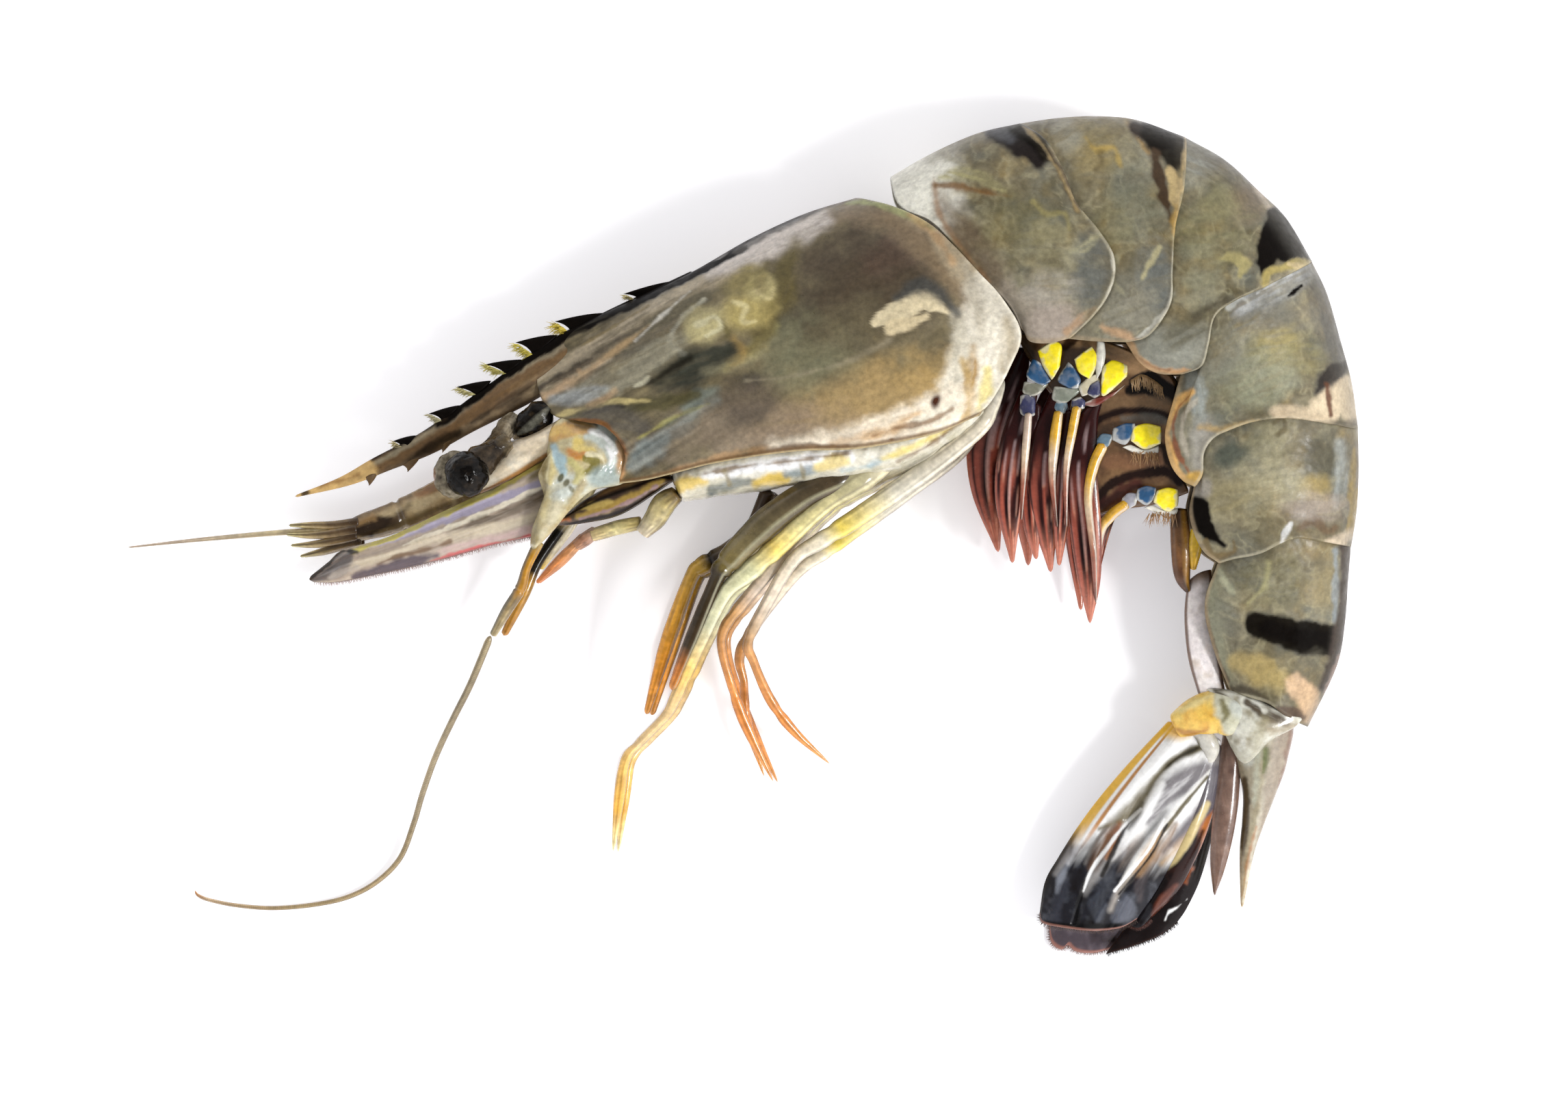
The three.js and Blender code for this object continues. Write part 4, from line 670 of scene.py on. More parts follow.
CARAPACE_MARKS = [
    ((13.8, 16.6), (16, 9), 18, rgb(196, 164, 104), 0.95),
    ((7.8, 15.9), (17, 8), 8, rgb(174, 148, 100), 0.9),
    ((-1.9, 14.0), (17, 5.5), 4, rgb(152, 132, 108), 0.85, 0.25),
    ((-10.2, 12.9), (15, 5.0), 18, rgb(136, 122, 102), 0.85, 0.25),
    ((2.5, 22.6), (12, 9), 40, rgb(126, 124, 96), 0.85, 0.2),
    ((10.4, 30.5), (19, 12), 20, rgb(84, 72, 56), 0.95),
    ((12.3, 33.0), (10, 4), 30, rgb(92, 74, 60), 0.8, 0.3),
    ((7.0, 24.9), (9, 5), 30, rgb(112, 102, 76), 0.6),
    ([(5.2, 37.0), (10.0, 37.0), (14.5, 34.5), (18.8, 30.1), (20.6, 27.0)], (1.4, 2.6, 3.4, 3.6, 2.6), rgb(142, 122, 94), 0.85, 1.2),
    ([(11.5, 38.4), (15.4, 36.0), (19.3, 31.6), (22.5, 27.9)], (1.2, 1.6, 2.6, 3.4), rgb(186, 170, 140), 0.8, 0.7),
    ([(7.0, 38.7), (10.8, 38.1), (14.2, 36.6), (16.1, 35.4)], (0.4, 0.7, 0.6, 0.4), rgb(166, 172, 116), 0.75, 0.3),
    ([(13.8, 37.0), (16.9, 34.2), (18.4, 31.8)], (0.5, 0.8, 0.4), rgb(208, 166, 116), 0.6, 0.4),
    ([(22.9, 27.9), (22.8, 23.4), (20.6, 18.1), (17.6, 14.4)], (6.4, 8.0, 7.4, 5.0), rgb(248, 240, 220), 1.0, 1.0, 0.12),
    ([(18.6, 26.1), (19.3, 21.9), (18.1, 17.4)], (1.0, 2.4, 1.4), rgb(216, 208, 186), 0.85, 0.6, 0.4),
    ([(19.6, 31.6), (20.8, 27.9), (21.3, 23.4)], (1.0, 1.8, 1.0), rgb(190, 180, 158), 0.7, 0.6, 0.5),
    ([(20.5, 22.6), (20.2, 19.3), (19.3, 15.6)], (0.8, 1.5, 0.8), rgb(178, 136, 62), 0.9, 0.35, 0.4),
    ([(22.1, 20.0), (21.9, 18.0), (21.1, 16.1)], (0.8, 1.4, 0.8), rgb(240, 222, 140), 0.85, 0.4),
    ([(24.0, 25.6), (24.6, 23.4), (23.7, 20.4)], (0.9, 1.4, 0.9), rgb(200, 184, 152), 0.7, 0.4, 0.4),
    ([(-1.2, 11.8), (7.0, 12.6), (13.8, 14.5), (19.1, 16.6)], (0.9, 2.2, 3.8, 3.6), rgb(252, 238, 214), 1.0, 0.9, 0.2),
    ([(5.2, 12.2), (10.8, 13.3), (14.5, 15.4)], (0.6, 1.3, 0.6), rgb(208, 166, 112), 0.7, 0.4, 0.3),
    ([(13.8, 14.2), (16.8, 15.4), (19.3, 17.4)], (0.6, 1.2, 0.6), rgb(240, 232, 210), 0.85, 0.4),
    ([(9.6, 12.9), (12.3, 13.9), (15.3, 14.4), (18.3, 15.9)], (0.2, 0.4, 0.5, 0.2), rgb(134, 96, 56), 0.75, 0.2),
    ([(-27.4, 18.4), (-21.4, 21.3), (-15.4, 25.1), (-10.2, 28.3), (-5.7, 31.2)], (2.6, 3.6, 3.6, 3.0, 2.0), rgb(178, 164, 138), 0.85, 0.6, 0.55),
    ([(-7.9, 31.0), (-3.4, 33.4), (0.3, 34.9), (4.0, 36.8)], (1.6, 3.4, 3.8, 2.4), rgb(216, 206, 196), 0.95, 0.8, 0.25),
    ([(-27.4, 18.0), (-22.2, 20.7), (-16.9, 24.0), (-12.4, 27.0)], (0.5, 0.9, 0.8, 0.4), rgb(66, 56, 44), 0.85, 0.25, 0.4),
    ([(-18.4, 21.9), (-14.2, 25.1), (-10.7, 27.4), (-6.3, 29.1)], (0.8, 1.6, 1.8, 0.9), rgb(92, 86, 66), 0.85, 0.4, 0.45),
    ([(-16.2, 23.4), (-13.2, 26.2), (-10.2, 28.8)], (0.3, 0.5, 0.2), rgb(212, 208, 196), 0.8, 0.15),
    ([(-10.9, 21.9), (-12.4, 23.4), (-10.7, 26.2), (-8.7, 27.9)], (0.3, 0.5, 0.4, 0.3), rgb(206, 202, 180), 0.75, 0.18),
    ([(-22.2, 19.8), (-18.4, 22.3), (-14.7, 25.1)], (0.5, 0.6, 0.3), rgb(196, 164, 118), 0.7, 0.25, 0.4),
    ([(-22.9, 17.8), (-18.4, 19.2), (-13.9, 21.9), (-10.9, 23.7)], (1.4, 3.2, 3.4, 1.6), rgb(164, 158, 134), 0.85, 0.5, 0.5),
    ([(-26.7, 17.1), (-23.2, 18.9), (-19.9, 21.1)], (0.7, 1.0, 0.4), rgb(204, 172, 134), 0.75, 0.35, 0.3),
    # Painted highlight: a light bluish streak on the front of the head shield.
    ([(-25.1, 17.2), (-22.2, 17.4), (-19.6, 18.0)], (1.0, 2.0, 1.0), rgb(172, 176, 174), 0.85, 0.5, 0.3),
    ([(1.3, 34.0), (0.3, 31.6), (-0.4, 27.9), (-2.9, 24.1)], (1.4, 2.4, 2.8, 1.2), rgb(104, 92, 50), 0.85, 0.6, 0.3),
    ([(-6.5, 20.4), (-3.4, 22.3), (-0.8, 24.9)], (0.9, 1.6, 0.8), rgb(172, 160, 100), 0.75, 0.5),
    ([(-5.4, 23.4), (-4.6, 21.9), (-5.8, 20.7)], (1.0, 1.6, 0.8), rgb(182, 150, 84), 0.8, 0.5, 0.3),
    ([(-1.6, 25.6), (-2.2, 23.4), (-3.8, 22.2)], (1.2, 1.9, 0.9), rgb(96, 80, 38), 0.8, 0.5, 0.3),
    ((-8.4, 25.2), (4.8, 3.8), 25, rgb(202, 190, 138), 0.95),
    ((-4.0, 26.4), (5.4, 4.2), 30, rgb(196, 178, 112), 0.95),
    ((-2.5, 29.1), (3.6, 2.6), 40, rgb(212, 198, 138), 0.85),
    ((-4.0, 30.1), (5.0, 2.6), 30, rgb(160, 146, 88), 0.85, 0.4),
    ([(-6.9, 25.6), (-6.1, 24.0), (-7.2, 23.1)], (0.3, 0.6, 0.3), rgb(110, 98, 54), 0.7, 0.25),
    ([(-9.4, 25.1), (-7.6, 25.9), (-6.9, 24.8), (-8.4, 23.8)], (0.5, 0.6, 0.5, 0.3), rgb(224, 216, 174), 0.85, 0.18),
    ([(-5.5, 27.6), (-4.2, 27.0), (-4.5, 25.5), (-3.1, 25.3)], (0.5, 0.7, 0.5, 0.3), rgb(228, 214, 160), 0.85, 0.2),
    ([(-3.0, 28.6), (-1.6, 27.9), (-1.1, 29.1)], (0.4, 0.6, 0.3), rgb(230, 214, 156), 0.85, 0.2),
    ([(-13.9, 18.9), (-10.2, 20.2), (-6.0, 22.2)], (1.8, 4.2, 2.4), rgb(58, 60, 50), 0.95, 0.9, 0.2),
    ([(-16.5, 18.3), (-13.7, 19.2), (-12.0, 20.4), (-10.3, 21.4)], (0.3, 0.9, 1.1, 0.5), rgb(38, 35, 26), 0.9, 0.35, 0.3),
    ([(-7.3, 18.0), (-9.0, 17.1), (-10.7, 15.9)], (0.8, 1.8, 0.8), rgb(116, 124, 114), 0.85, 0.6),
    ((-3.6, 18.8), (3.0, 2.4), 10, rgb(72, 68, 58), 0.8),
    ((-3.8, 16.8), (7.0, 5.0), 20, rgb(98, 86, 72), 0.8),
    ([(-16.2, 18.4), (-15.3, 18.8), (-14.7, 19.5)], (0.4, 0.6, 0.3), rgb(214, 208, 178), 0.85, 0.15),
    ([(-23.2, 15.4), (-19.2, 16.2), (-14.7, 16.5), (-9.4, 17.4)], (0.5, 1.4, 1.6, 0.8), rgb(84, 78, 44), 0.85, 0.35),
    ([(-21.3, 15.8), (-19.2, 16.1), (-17.6, 16.2)], (0.4, 0.7, 0.3), rgb(34, 30, 20), 0.9, 0.2),
    ([(-25.1, 15.1), (-22.2, 15.9), (-18.4, 16.8), (-14.7, 16.8)], (0.5, 0.6, 0.5, 0.3), rgb(206, 188, 128), 0.85, 0.2),
    ([(-21.4, 16.3), (-19.9, 16.9), (-18.4, 18.0)], (0.5, 0.8, 0.4), rgb(204, 170, 128), 0.7, 0.3),
    ((-18.4, 14.7), (8.5, 3.4), -14, rgb(92, 86, 76), 0.85, 0.2),
    ([(-15.8, 12.8), (-13.8, 13.9), (-10.9, 15.4), (-8.2, 16.5)], (0.3, 0.5, 0.4, 0.2), rgb(172, 164, 88), 0.85, 0.22, 0.3),
    ([(-16.6, 9.6), (-15.0, 11.1), (-13.2, 12.4)], (1.6, 3.0, 1.6), rgb(146, 154, 150), 0.85, 0.5, 0.2),
    ([(-8.4, 19.8), (-4.2, 21.1), (-1.2, 23.4)], (0.8, 1.2, 0.7), rgb(166, 158, 122), 0.5, 0.5, 0.3),
    ([(-4.2, 18.9), (1.1, 19.5), (7.0, 21.1), (11.5, 23.4)], (0.2, 0.5, 0.4, 0.2), rgb(172, 160, 132), 0.5, 0.3),
    ([(-12.1, 9.2), (-5.0, 10.5), (1.1, 11.7), (7.0, 11.8)], (0.6, 0.9, 0.7, 0.4), rgb(104, 74, 40), 0.85, 0.25, 0.2),
    ([(-13.9, 8.7), (-7.9, 10.5), (-1.9, 11.7)], (0.5, 0.8, 0.4), rgb(186, 148, 104), 0.7, 0.35, 0.3),
    ((-18.4, 8.5), (4.2, 1.8), 8, rgb(124, 106, 70), 0.85),
    ([(9.9, 25.2), (11.5, 26.1), (13.2, 26.7), (15.0, 27.9), (16.2, 27.4), (17.8, 26.4)], (1.2, 2.0, 2.6, 2.2, 2.0, 0.4), rgb(228, 212, 174), 1.0, 0.15),
    ([(11.5, 24.8), (13.8, 25.3), (15.4, 25.9)], (1.6, 1.6, 0.6), rgb(222, 204, 164), 0.95, 0.2),
    ([(12.3, 27.9), (14.5, 29.2), (16.5, 28.6), (18.8, 26.2)], (0.8, 2.2, 1.6, 0.5), rgb(76, 76, 72), 0.85, 0.5),
    ((16.5, 16.8), (1.1, 1.5), -20, rgb(74, 38, 18), 1.0),
    ((7.6, 11.5), (1.1, 0.6), 10, rgb(84, 58, 34), 0.95),
    ((11.7, 12.6), (0.7, 0.4), 10, rgb(96, 62, 36), 0.9),
    ([(-23.2, 14.5), (-20.8, 14.5), (-19.1, 13.7), (-17.8, 12.3), (-17.2, 11.1)], (0.7, 0.7, 0.8, 0.8, 0.6), rgb(126, 82, 38), 0.95, 0.2),
    ([(-17.6, 10.8), (-17.8, 9.3), (-18.4, 7.9)], (0.9, 1.1, 0.7), rgb(204, 154, 104), 0.9, 0.25),
    ([(-28.2, 22.5), (-24.4, 24.3), (-21.8, 25.4), (-19.2, 26.4), (-16.2, 27.6)], (2.2, 1.9, 1.6, 1.2, 1.1), COAL, 1.0, 0.25, 0.15),
    ([(-16.9, 27.4), (-13.2, 29.2), (-9.2, 31.0), (-4.2, 33.6)], (1.3, 1.1, 0.9, 0.6), COAL, 1.0, 0.2),
    ([(-5.0, 33.4), (-1.2, 35.4), (4.0, 37.9)], (0.9, 0.8, 0.5), rgb(62, 56, 48), 0.85, 0.25),
    ([(-22.2, 22.9), (-18.4, 25.1), (-14.7, 27.3)], (0.2, 0.3, 0.2), rgb(120, 104, 66), 0.8, 0.15, 0.5),
    ([(-16.0, 10.9), (-12.4, 13.4), (-7.5, 16.8)], (1.6, 2.2, 1.0), rgb(126, 136, 132), 0.55, 0.6, 0.4),
    ([(19.3, 21.4), (20.0, 18.9), (20.3, 16.3), (19.3, 14.2)], (0.6, 1.1, 1.0, 0.5), rgb(194, 158, 86), 0.75, 0.35, 0.3),
    ([(-2.5, 29.8), (-2.4, 28.8)], (1.4, 1.4), rgb(140, 126, 84), 0.6, 0.6),
]


def paint_carapace(x, y, u, t):
    colour = speckled(
        x, y, rgb(114, 103, 76),
        (rgb(134, 122, 94), 6.0, 1.4), (rgb(90, 80, 56), 4.0, 1.1), (rgb(150, 136, 100), 2.4, 0.8),
    )
    colour = lay(colour, x, y, CARAPACE_MARKS)
    front = ease(-4.0 - x, 0.0, 12.0)
    colour = colour * (1 + (0.14 + 0.42 * front) * streaks(x, y, 31, 0.45, 33, 14.0))[..., None]
    ridge = mix(rgb(22, 18, 17), rgb(112, 100, 84), ease(x, 0.0, 8.0)) * (1 + 0.25 * fractal(x, y, 1.6, 34))[..., None]
    colour = mix(colour, ridge, 0.92 * ease(t, 0.978, 0.994))
    colour = mix(colour, rgb(118, 86, 48), 0.85 * ease(0.035 - t, 0, 0.02))
    return mix(colour, rgb(204, 184, 140), 0.8 * ease(0.014 - t, 0, 0.01))


def add_carapace():
    u, q = np.meshgrid(np.linspace(0, 1, 190), round_the_back(LEFT_COLUMNS, RIGHT_COLUMNS), indexing="ij")
    height, _ = across(q, 0.42, 0.74)
    width = blend(u, *CARAPACE_WIDTHS) * (1 - 0.78 * ease(height, 0.35, 0.9) * (1 - ease(u, 0.0, 0.42)))

    def relief(x, y, u, t):
        dent = 0.14 * fractal(x, y, 7.0, 21) + 0.05 * fractal(x, y, 1.8, 24)
        for points, breadth, height in CARAPACE_RIDGES:
            dent += height * np.exp(-((distance(x, y, points)[0] / breadth * 2) ** 2))
        for points, breadth, depth in CARAPACE_GROOVES:
            dent -= depth * np.exp(-((distance(x, y, points)[0] / breadth * 2) ** 2))
        dome = 0.35 * spot(x, y, (10.9, 29.0), (17, 11), 18, 0.25) - 0.25 * ease(u, 0.88, 0.94)
        return dent + dome + 0.3 * ease(u, 0.97, 1)

    outer, t = shell_points(u, q, SHIELD, width, HEAD_MIDPLANE, 0.42, 0.74, 0.0, relief)
    inner, _ = shell_points(u, q, SHIELD, width, HEAD_MIDPLANE, 0.42, 0.74, SHELL_WALL, relief)
    tints = paint_carapace(outer[..., 0], outer[..., 1], u, t)
    skin = Skin()
    skin.slab(outer, inner, tints, tints * 0.75)
    add_rostrum(skin)
    return skin.build("head_shield", SHELL, "shell", "carapace")


ROSTRUM = {
    "front": [(-53.2, 6.4), (-53.4, 6.5), (-53.2, 6.7)],
    "rear": [(-10.3, 27.9), (-10.3, 29.4), (-10.3, 31.0)],
    "belly": [(-47.5, 7.7), (-43.0, 9.4), (-38.4, 11.2), (-33.8, 13.7), (-29.2, 16.0), (-26.7, 17.4), (-19.9, 21.6)],
    "back": [
        (-48.7, 8.5), (-45.0, 10.6), (-40.6, 12.9), (-37.2, 15.1), (-33.8, 17.6), (-30.6, 19.9), (-27.8, 22.0), (-24.0, 24.4),
        (-20.6, 26.1), (-17.1, 27.8),
    ],
}
TEETH = [  # tip, front foot and rear foot of each tooth, with the tone of its bristles
    ((-17.6, 28.6), (-15.4, 27.6), (-12.1, 30.0), rgb(232, 214, 150)),
    ((-25.1, 25.6), (-23.1, 24.1), (-19.6, 26.5), rgb(240, 214, 84)),
    ((-29.4, 23.3), (-27.4, 21.9), (-24.8, 24.1), rgb(236, 218, 96)),
    ((-32.7, 20.9), (-30.4, 19.9), (-28.6, 21.4), rgb(232, 218, 124)),
    ((-35.9, 18.4), (-33.7, 17.6), (-32.1, 19.1), rgb(228, 216, 150)),
    ((-38.9, 15.5), (-37.3, 14.7), (-35.5, 16.4), rgb(216, 206, 160)),
    ((-42.8, 12.5), (-41.5, 11.7), (-40.3, 13.1), rgb(216, 200, 150)),
    ((-45.4, 7.6), (-45.9, 8.5), (-44.5, 9.0), None),
    ((-41.2, 9.1), (-41.7, 9.9), (-39.8, 10.8), None),
    ((-37.4, 11.2), (-37.8, 11.8), (-35.9, 13.0), None),
]
BRISTLES = 60  # on each tooth
BRISTLE_LENGTHS = (0.7, 1.5, 1.3, 1.1, 0.9, 0.8, 0.7)
ROSTRUM_MARKS = [
    ([(-28.2, 18.0), (-23.7, 20.6), (-18.4, 23.4), (-12.4, 26.7)], (1.0, 2.6, 3.4, 3.0), rgb(154, 138, 104), 0.9, 0.5, 0.5),
    ([(-25.9, 18.4), (-21.4, 21.0), (-16.2, 24.0)], (0.4, 0.8, 0.8), rgb(190, 160, 120), 0.8, 0.3, 0.5),
    ([(-27.4, 19.8), (-22.2, 22.5), (-16.2, 25.6)], (0.3, 0.6, 0.6), rgb(70, 58, 40), 0.8, 0.25, 0.5),
    ([(-46.9, 8.5), (-40.9, 11.8), (-34.2, 16.1), (-27.4, 20.4), (-21.4, 24.0)], (0.7, 1.6, 2.4, 3.0, 3.2), rgb(124, 94, 60), 0.85, 0.5, 0.4),
    ([(-46.2, 9.3), (-40.6, 12.4), (-36.1, 15.4), (-31.2, 18.9), (-26.7, 21.6), (-22.2, 24.0)], (0.4, 0.6, 0.7, 0.7, 0.8, 0.6), rgb(166, 154, 126), 0.85, 0.25, 0.3),
    ([(-40.9, 10.5), (-37.9, 12.3), (-35.5, 13.5)], (0.5, 1.0, 0.5), rgb(40, 30, 20), 0.85, 0.3),
    ([(-34.9, 13.8), (-30.4, 16.2), (-25.9, 18.4)], (0.6, 0.9, 0.7), rgb(156, 134, 104), 0.75, 0.3, 0.4),
    ([(-34.2, 14.5), (-29.7, 17.4), (-25.9, 19.8)], (0.3, 0.5, 0.4), rgb(52, 40, 28), 0.8, 0.2, 0.3),
    ([(-53.2, 6.5), (-49.9, 7.5), (-46.2, 9.0)], (2.4, 3.0, 3.4), rgb(226, 188, 122), 0.92, 0.3),
    ([(-50.7, 7.8), (-48.4, 8.2), (-46.6, 8.8)], (0.4, 0.7, 0.4), rgb(140, 96, 52), 0.7, 0.3),
    ((-52.4, 6.8), (0.9, 0.6), 25, INK, 0.9),
    ([(-37.9, 14.2), (-33.4, 17.8), (-30.1, 20.3), (-26.7, 22.6), (-22.2, 25.1), (-16.2, 28.1), (-10.3, 30.8)], (0.6, 1.5, 1.7, 1.7, 1.5, 1.3, 0.9), COAL, 1.0, 0.2),
    ([(-45.0, 10.5), (-40.6, 13.1), (-37.2, 15.3)], (0.3, 0.6, 0.8), rgb(40, 30, 20), 0.9, 0.2),
]


def add_rostrum(skin):
    u, v = np.meshgrid(np.linspace(0, 1, 220), np.linspace(0, 1, 26), indexing="ij")
    plan = sheet(u, v, **ROSTRUM)
    x, y = plan[..., 0], plan[..., 1]
    ridge = np.exp(-(((v - 0.55) / 0.16) ** 2)) * ease(u, 0.15, 0.6)
    half = blend(u, 0.12, 0.35, 0.55, 0.75, 0.95, 1.1) * (0.25 + 0.75 * np.sqrt(4 * v * (1 - v))) + 0.3 * ridge
    colour = speckled(x, y, rgb(104, 82, 54), (rgb(80, 62, 40), 2.4, 1.0), (rgb(142, 120, 84), 1.6, 0.9))
    colour = lay(colour, x, y, ROSTRUM_MARKS)
    colour = colour * (1 + 0.22 * streaks(x, y, 34, 0.4, 37, 12.0))[..., None]
    stand(skin, plan, half, colour)
    for k, (tip, front, rear, tone) in enumerate(TEETH):
        tip, front, rear = np.array(tip), np.array(front), np.array(rear)
        foot, rise = np.linspace(0, 1, 12)[:, None, None], np.linspace(0, 1, 14)[None, :, None]
        base = front * (1 - foot) + rear * foot
        flat = base * (1 - rise) + tip * rise + 0.4 * rise * (1 - rise) * (rear - front)
        thick = 0.42 * (1 - rise[..., 0]) ** 0.8 * np.sin(math.pi * (0.08 + 0.84 * foot[..., 0])) + 0.03
        points = np.concatenate([flat, np.zeros((12, 14, 1))], 2)
        dark = COAL if tone is not None else rgb(110, 84, 50)
        stand(skin, points, thick, np.broadcast_to(dark, points.shape).copy())
        if tone is not None:
            share = RNG.uniform(0.15, 1.0, (BRISTLES, 1))
            step = tip * (1 - share) + front * share
            roots = np.concatenate([step, HEAD_MIDPLANE + RNG.uniform(-0.35, 0.35, (BRISTLES, 1))], 1)
            ways = np.broadcast_to((-0.96, -0.2, 0.0), (BRISTLES, 3))
            hairs(skin, roots, ways, BRISTLE_LENGTHS[k], tone, thickness=0.1, spread=0.3)


def stand(skin, plan, half, colour):
    """A blade that stands in the head's middle plane, half thick on either side."""
    left, right = plan.copy(), plan.copy()
    left[..., 2] = HEAD_MIDPLANE + half
    right[..., 2] = HEAD_MIDPLANE - half
    skin.slab(left, right, colour)


# ---- limbs, leaves and hairs ----


def ramp(share, *stops):
    """A colour that runs through stops of (share, colour)."""
    at = [stop for stop, _ in stops]
    return np.stack([np.interp(share, at, [tone[k] for _, tone in stops]) for k in range(3)], -1)


def tube(skin, path, paint, sides=20, steps=80, joints=(), lumps=0.0):
    """A limb of oval section. path rows are x, y, z, half width in plan and half height; it narrows at joints.

    paint(s, angle, x, y) gives its colours; angle is 90 degrees on top.
    """
    s = np.linspace(0, 1, steps)
    row = along(path, s)
    centre, tangent = row[:, :3], np.gradient(row[:, :3], axis=0)
    tangent /= np.linalg.norm(tangent, axis=1, keepdims=True)
    side = np.cross((0, 0, 1), tangent)
    side /= np.linalg.norm(side, axis=1, keepdims=True)
    over = np.cross(tangent, side)
    swell = np.ones(steps)
    for joint in joints:
        swell += 0.10 * np.exp(-(((s - joint) / 0.035) ** 2)) - 0.20 * np.exp(-(((s - joint) / 0.012) ** 2))
    ends = np.maximum(np.clip(1 - s / 0.02, 0, 1), np.clip((s - 0.98) / 0.02, 0, 1))
    swell *= np.sqrt(np.clip(1 - ends**2, 0.03, 1))
    angle = np.linspace(0, 2 * math.pi, sides, endpoint=False)
    around = centre[:, :1] + 2.0 * np.cos(angle), centre[:, 1:2] + 2.0 * np.sin(angle)
    swell = swell[:, None] * (1 + lumps * fractal(*around, 1.6, 15))
    wide = row[:, 3:4] * swell * np.cos(angle)
    high = row[:, 4:5] * swell * np.sin(angle)
    points = centre[:, None] + side[:, None] * wide[..., None] + over[:, None] * high[..., None]
    ss, aa = np.broadcast_arrays(s[:, None], angle[None, :])
    skin.grid(points, paint(ss, aa, points[..., 0], points[..., 1]), wrap=True, caps=True)


LINE_TONE = rgb(84, 66, 40)


def stripes(stops, stripe=None, place=90, width=40, strength=0.8, mottle=0.25, contour=0.0):
    """Paint for a tube: colour stops along it, a stripe at an angle round it and a contour down both sides."""

    def paint(s, angle, x, y):
        colour = ramp(s, *stops)
        colour = colour * (1 + mottle * fractal(x * 1.7 + angle * 0.6, y * 1.7, 1.1, 7))[..., None]
        lines = noise(np.cos(angle) * 5, s * 4, 0.6, 19) * ease(np.sin(angle), -0.2, 0.3)
        colour = mix(colour, LINE_TONE, 0.4 * ease(-lines, 0.2, 0.6)) * (1 + 0.35 * ease(lines, 0.1, 0.6))[..., None]
        if stripe is not None:
            turn = np.abs((np.degrees(angle) - place + 180) % 360 - 180)
            colour = mix(colour, stripe, strength * (1 - ease(turn, width * 0.5, width)))
        sides = ease(np.abs(np.cos(angle)), 0.86, 0.96) * ease(noise(s * 9, angle, 1.0, 23), -0.4, 0.0)
        return mix(colour, LINE_TONE, contour * sides)

    return paint


def leaf(skin, edges, height, thick, paint, rows=110, cols=44, relief=None, camber=(0, 0), tilt=(0, 0)):
    """A thin blade. height, thick, camber and tilt are values from its base to its tip, as for blend."""
    u, v = np.meshgrid(np.linspace(0, 1, rows), np.linspace(0, 1, cols), indexing="ij")
    plan = sheet(u, v, **edges)
    x, y = plan[..., 0], plan[..., 1]
    lift = blend(u, *height) + blend(u, *tilt) * (0.5 - v) + blend(u, *camber) * 4 * v * (1 - v)
    half = blend(u, *thick) * (0.2 + 0.8 * np.sqrt(4 * v * (1 - v))) / 2
    top, under = plan.copy(), plan.copy()
    top[..., 2] = lift + half + (relief(x, y, u, v) if relief else 0)
    under[..., 2] = lift - half
    colour = paint(x, y, u, v)
    skin.slab(top, under, colour, colour * 0.8)


def hairs(skin, roots, ways, length, tone, thickness=0.05, droop=0.0, spread=0.25):
    """Tapering hairs from roots along ways, each a thin three-sided spike bent by droop."""
    count = len(roots)
    reach = length * RNG.uniform(0.7, 1.15, count)
    turn = RNG.normal(0, spread, count)
    ways = np.asarray(ways, float)
    across = np.stack([-ways[:, 1], ways[:, 0], 0 * ways[:, 0]], -1)
    ways = ways * np.cos(turn)[:, None] + across * np.sin(turn)[:, None]
    for root, way, long in zip(np.asarray(roots, float), ways, reach):
        s = np.linspace(0, 1, 4)[:, None]
        spine = root + way * long * s + np.array([0, 0, -droop]) * long * s**2
        sideways = np.array([-way[1], way[0], 0.0])
        angle = np.radians([90, 210, 330])
        ring = sideways * np.cos(angle)[:, None] + np.array([0, 0, 1.0]) * np.sin(angle)[:, None]
        points = spine[:, None] + ring[None] * (thickness * (1 - 0.85 * s))[..., None]
        skin.grid(points, np.broadcast_to(tone, points.shape), wrap=True, caps=True)


def fringe(skin, line, count, length, tone, height, **looks):
    """Hairs that stand out to the right of a line in plan."""
    s = (np.arange(count) + 0.5) / count
    at, ahead = along(line, s), along(line, s + 0.01)
    at[-1] = along(line, 0.99)
    way = ahead - along(line, s - 0.01)
    way /= np.maximum(np.linalg.norm(way, axis=1, keepdims=True), 1e-6)
    out = np.stack([way[:, 1], -way[:, 0], 0 * way[:, 0]], -1)
    at[:, 2] = blend(s, *height)
    hairs(skin, at, out, length, tone, **looks)


MILK = rgb(240, 236, 222)


def patch(skin, corners, height, tone):
    """A soft six-cornered plate, paler along its edge. The corners run round it."""
    a, b, c, d, e, f = corners

    def paint(x, y, u, v):
        colour = speckled(x, y, tone, (tone * 0.7, 0.9, 0.5), (mix(tone, MILK, 0.5), 0.8, 0.5))
        edge = np.minimum(np.minimum(u, 1 - u), v) + 0.25 * fractal(x, y, 0.9, 29)
        return mix(colour, mix(tone, MILK, 0.8), 0.8 * (1 - ease(edge, 0.0, 0.12)))

    edges = {"front": [a, b], "rear": [e, d], "belly": [f], "back": [c]}
    leaf(skin, edges, (height, height), (0.4, 0.4), paint, 26, 26, None, (0.1, 0.15, 0.1))


# ---- tail fan ----

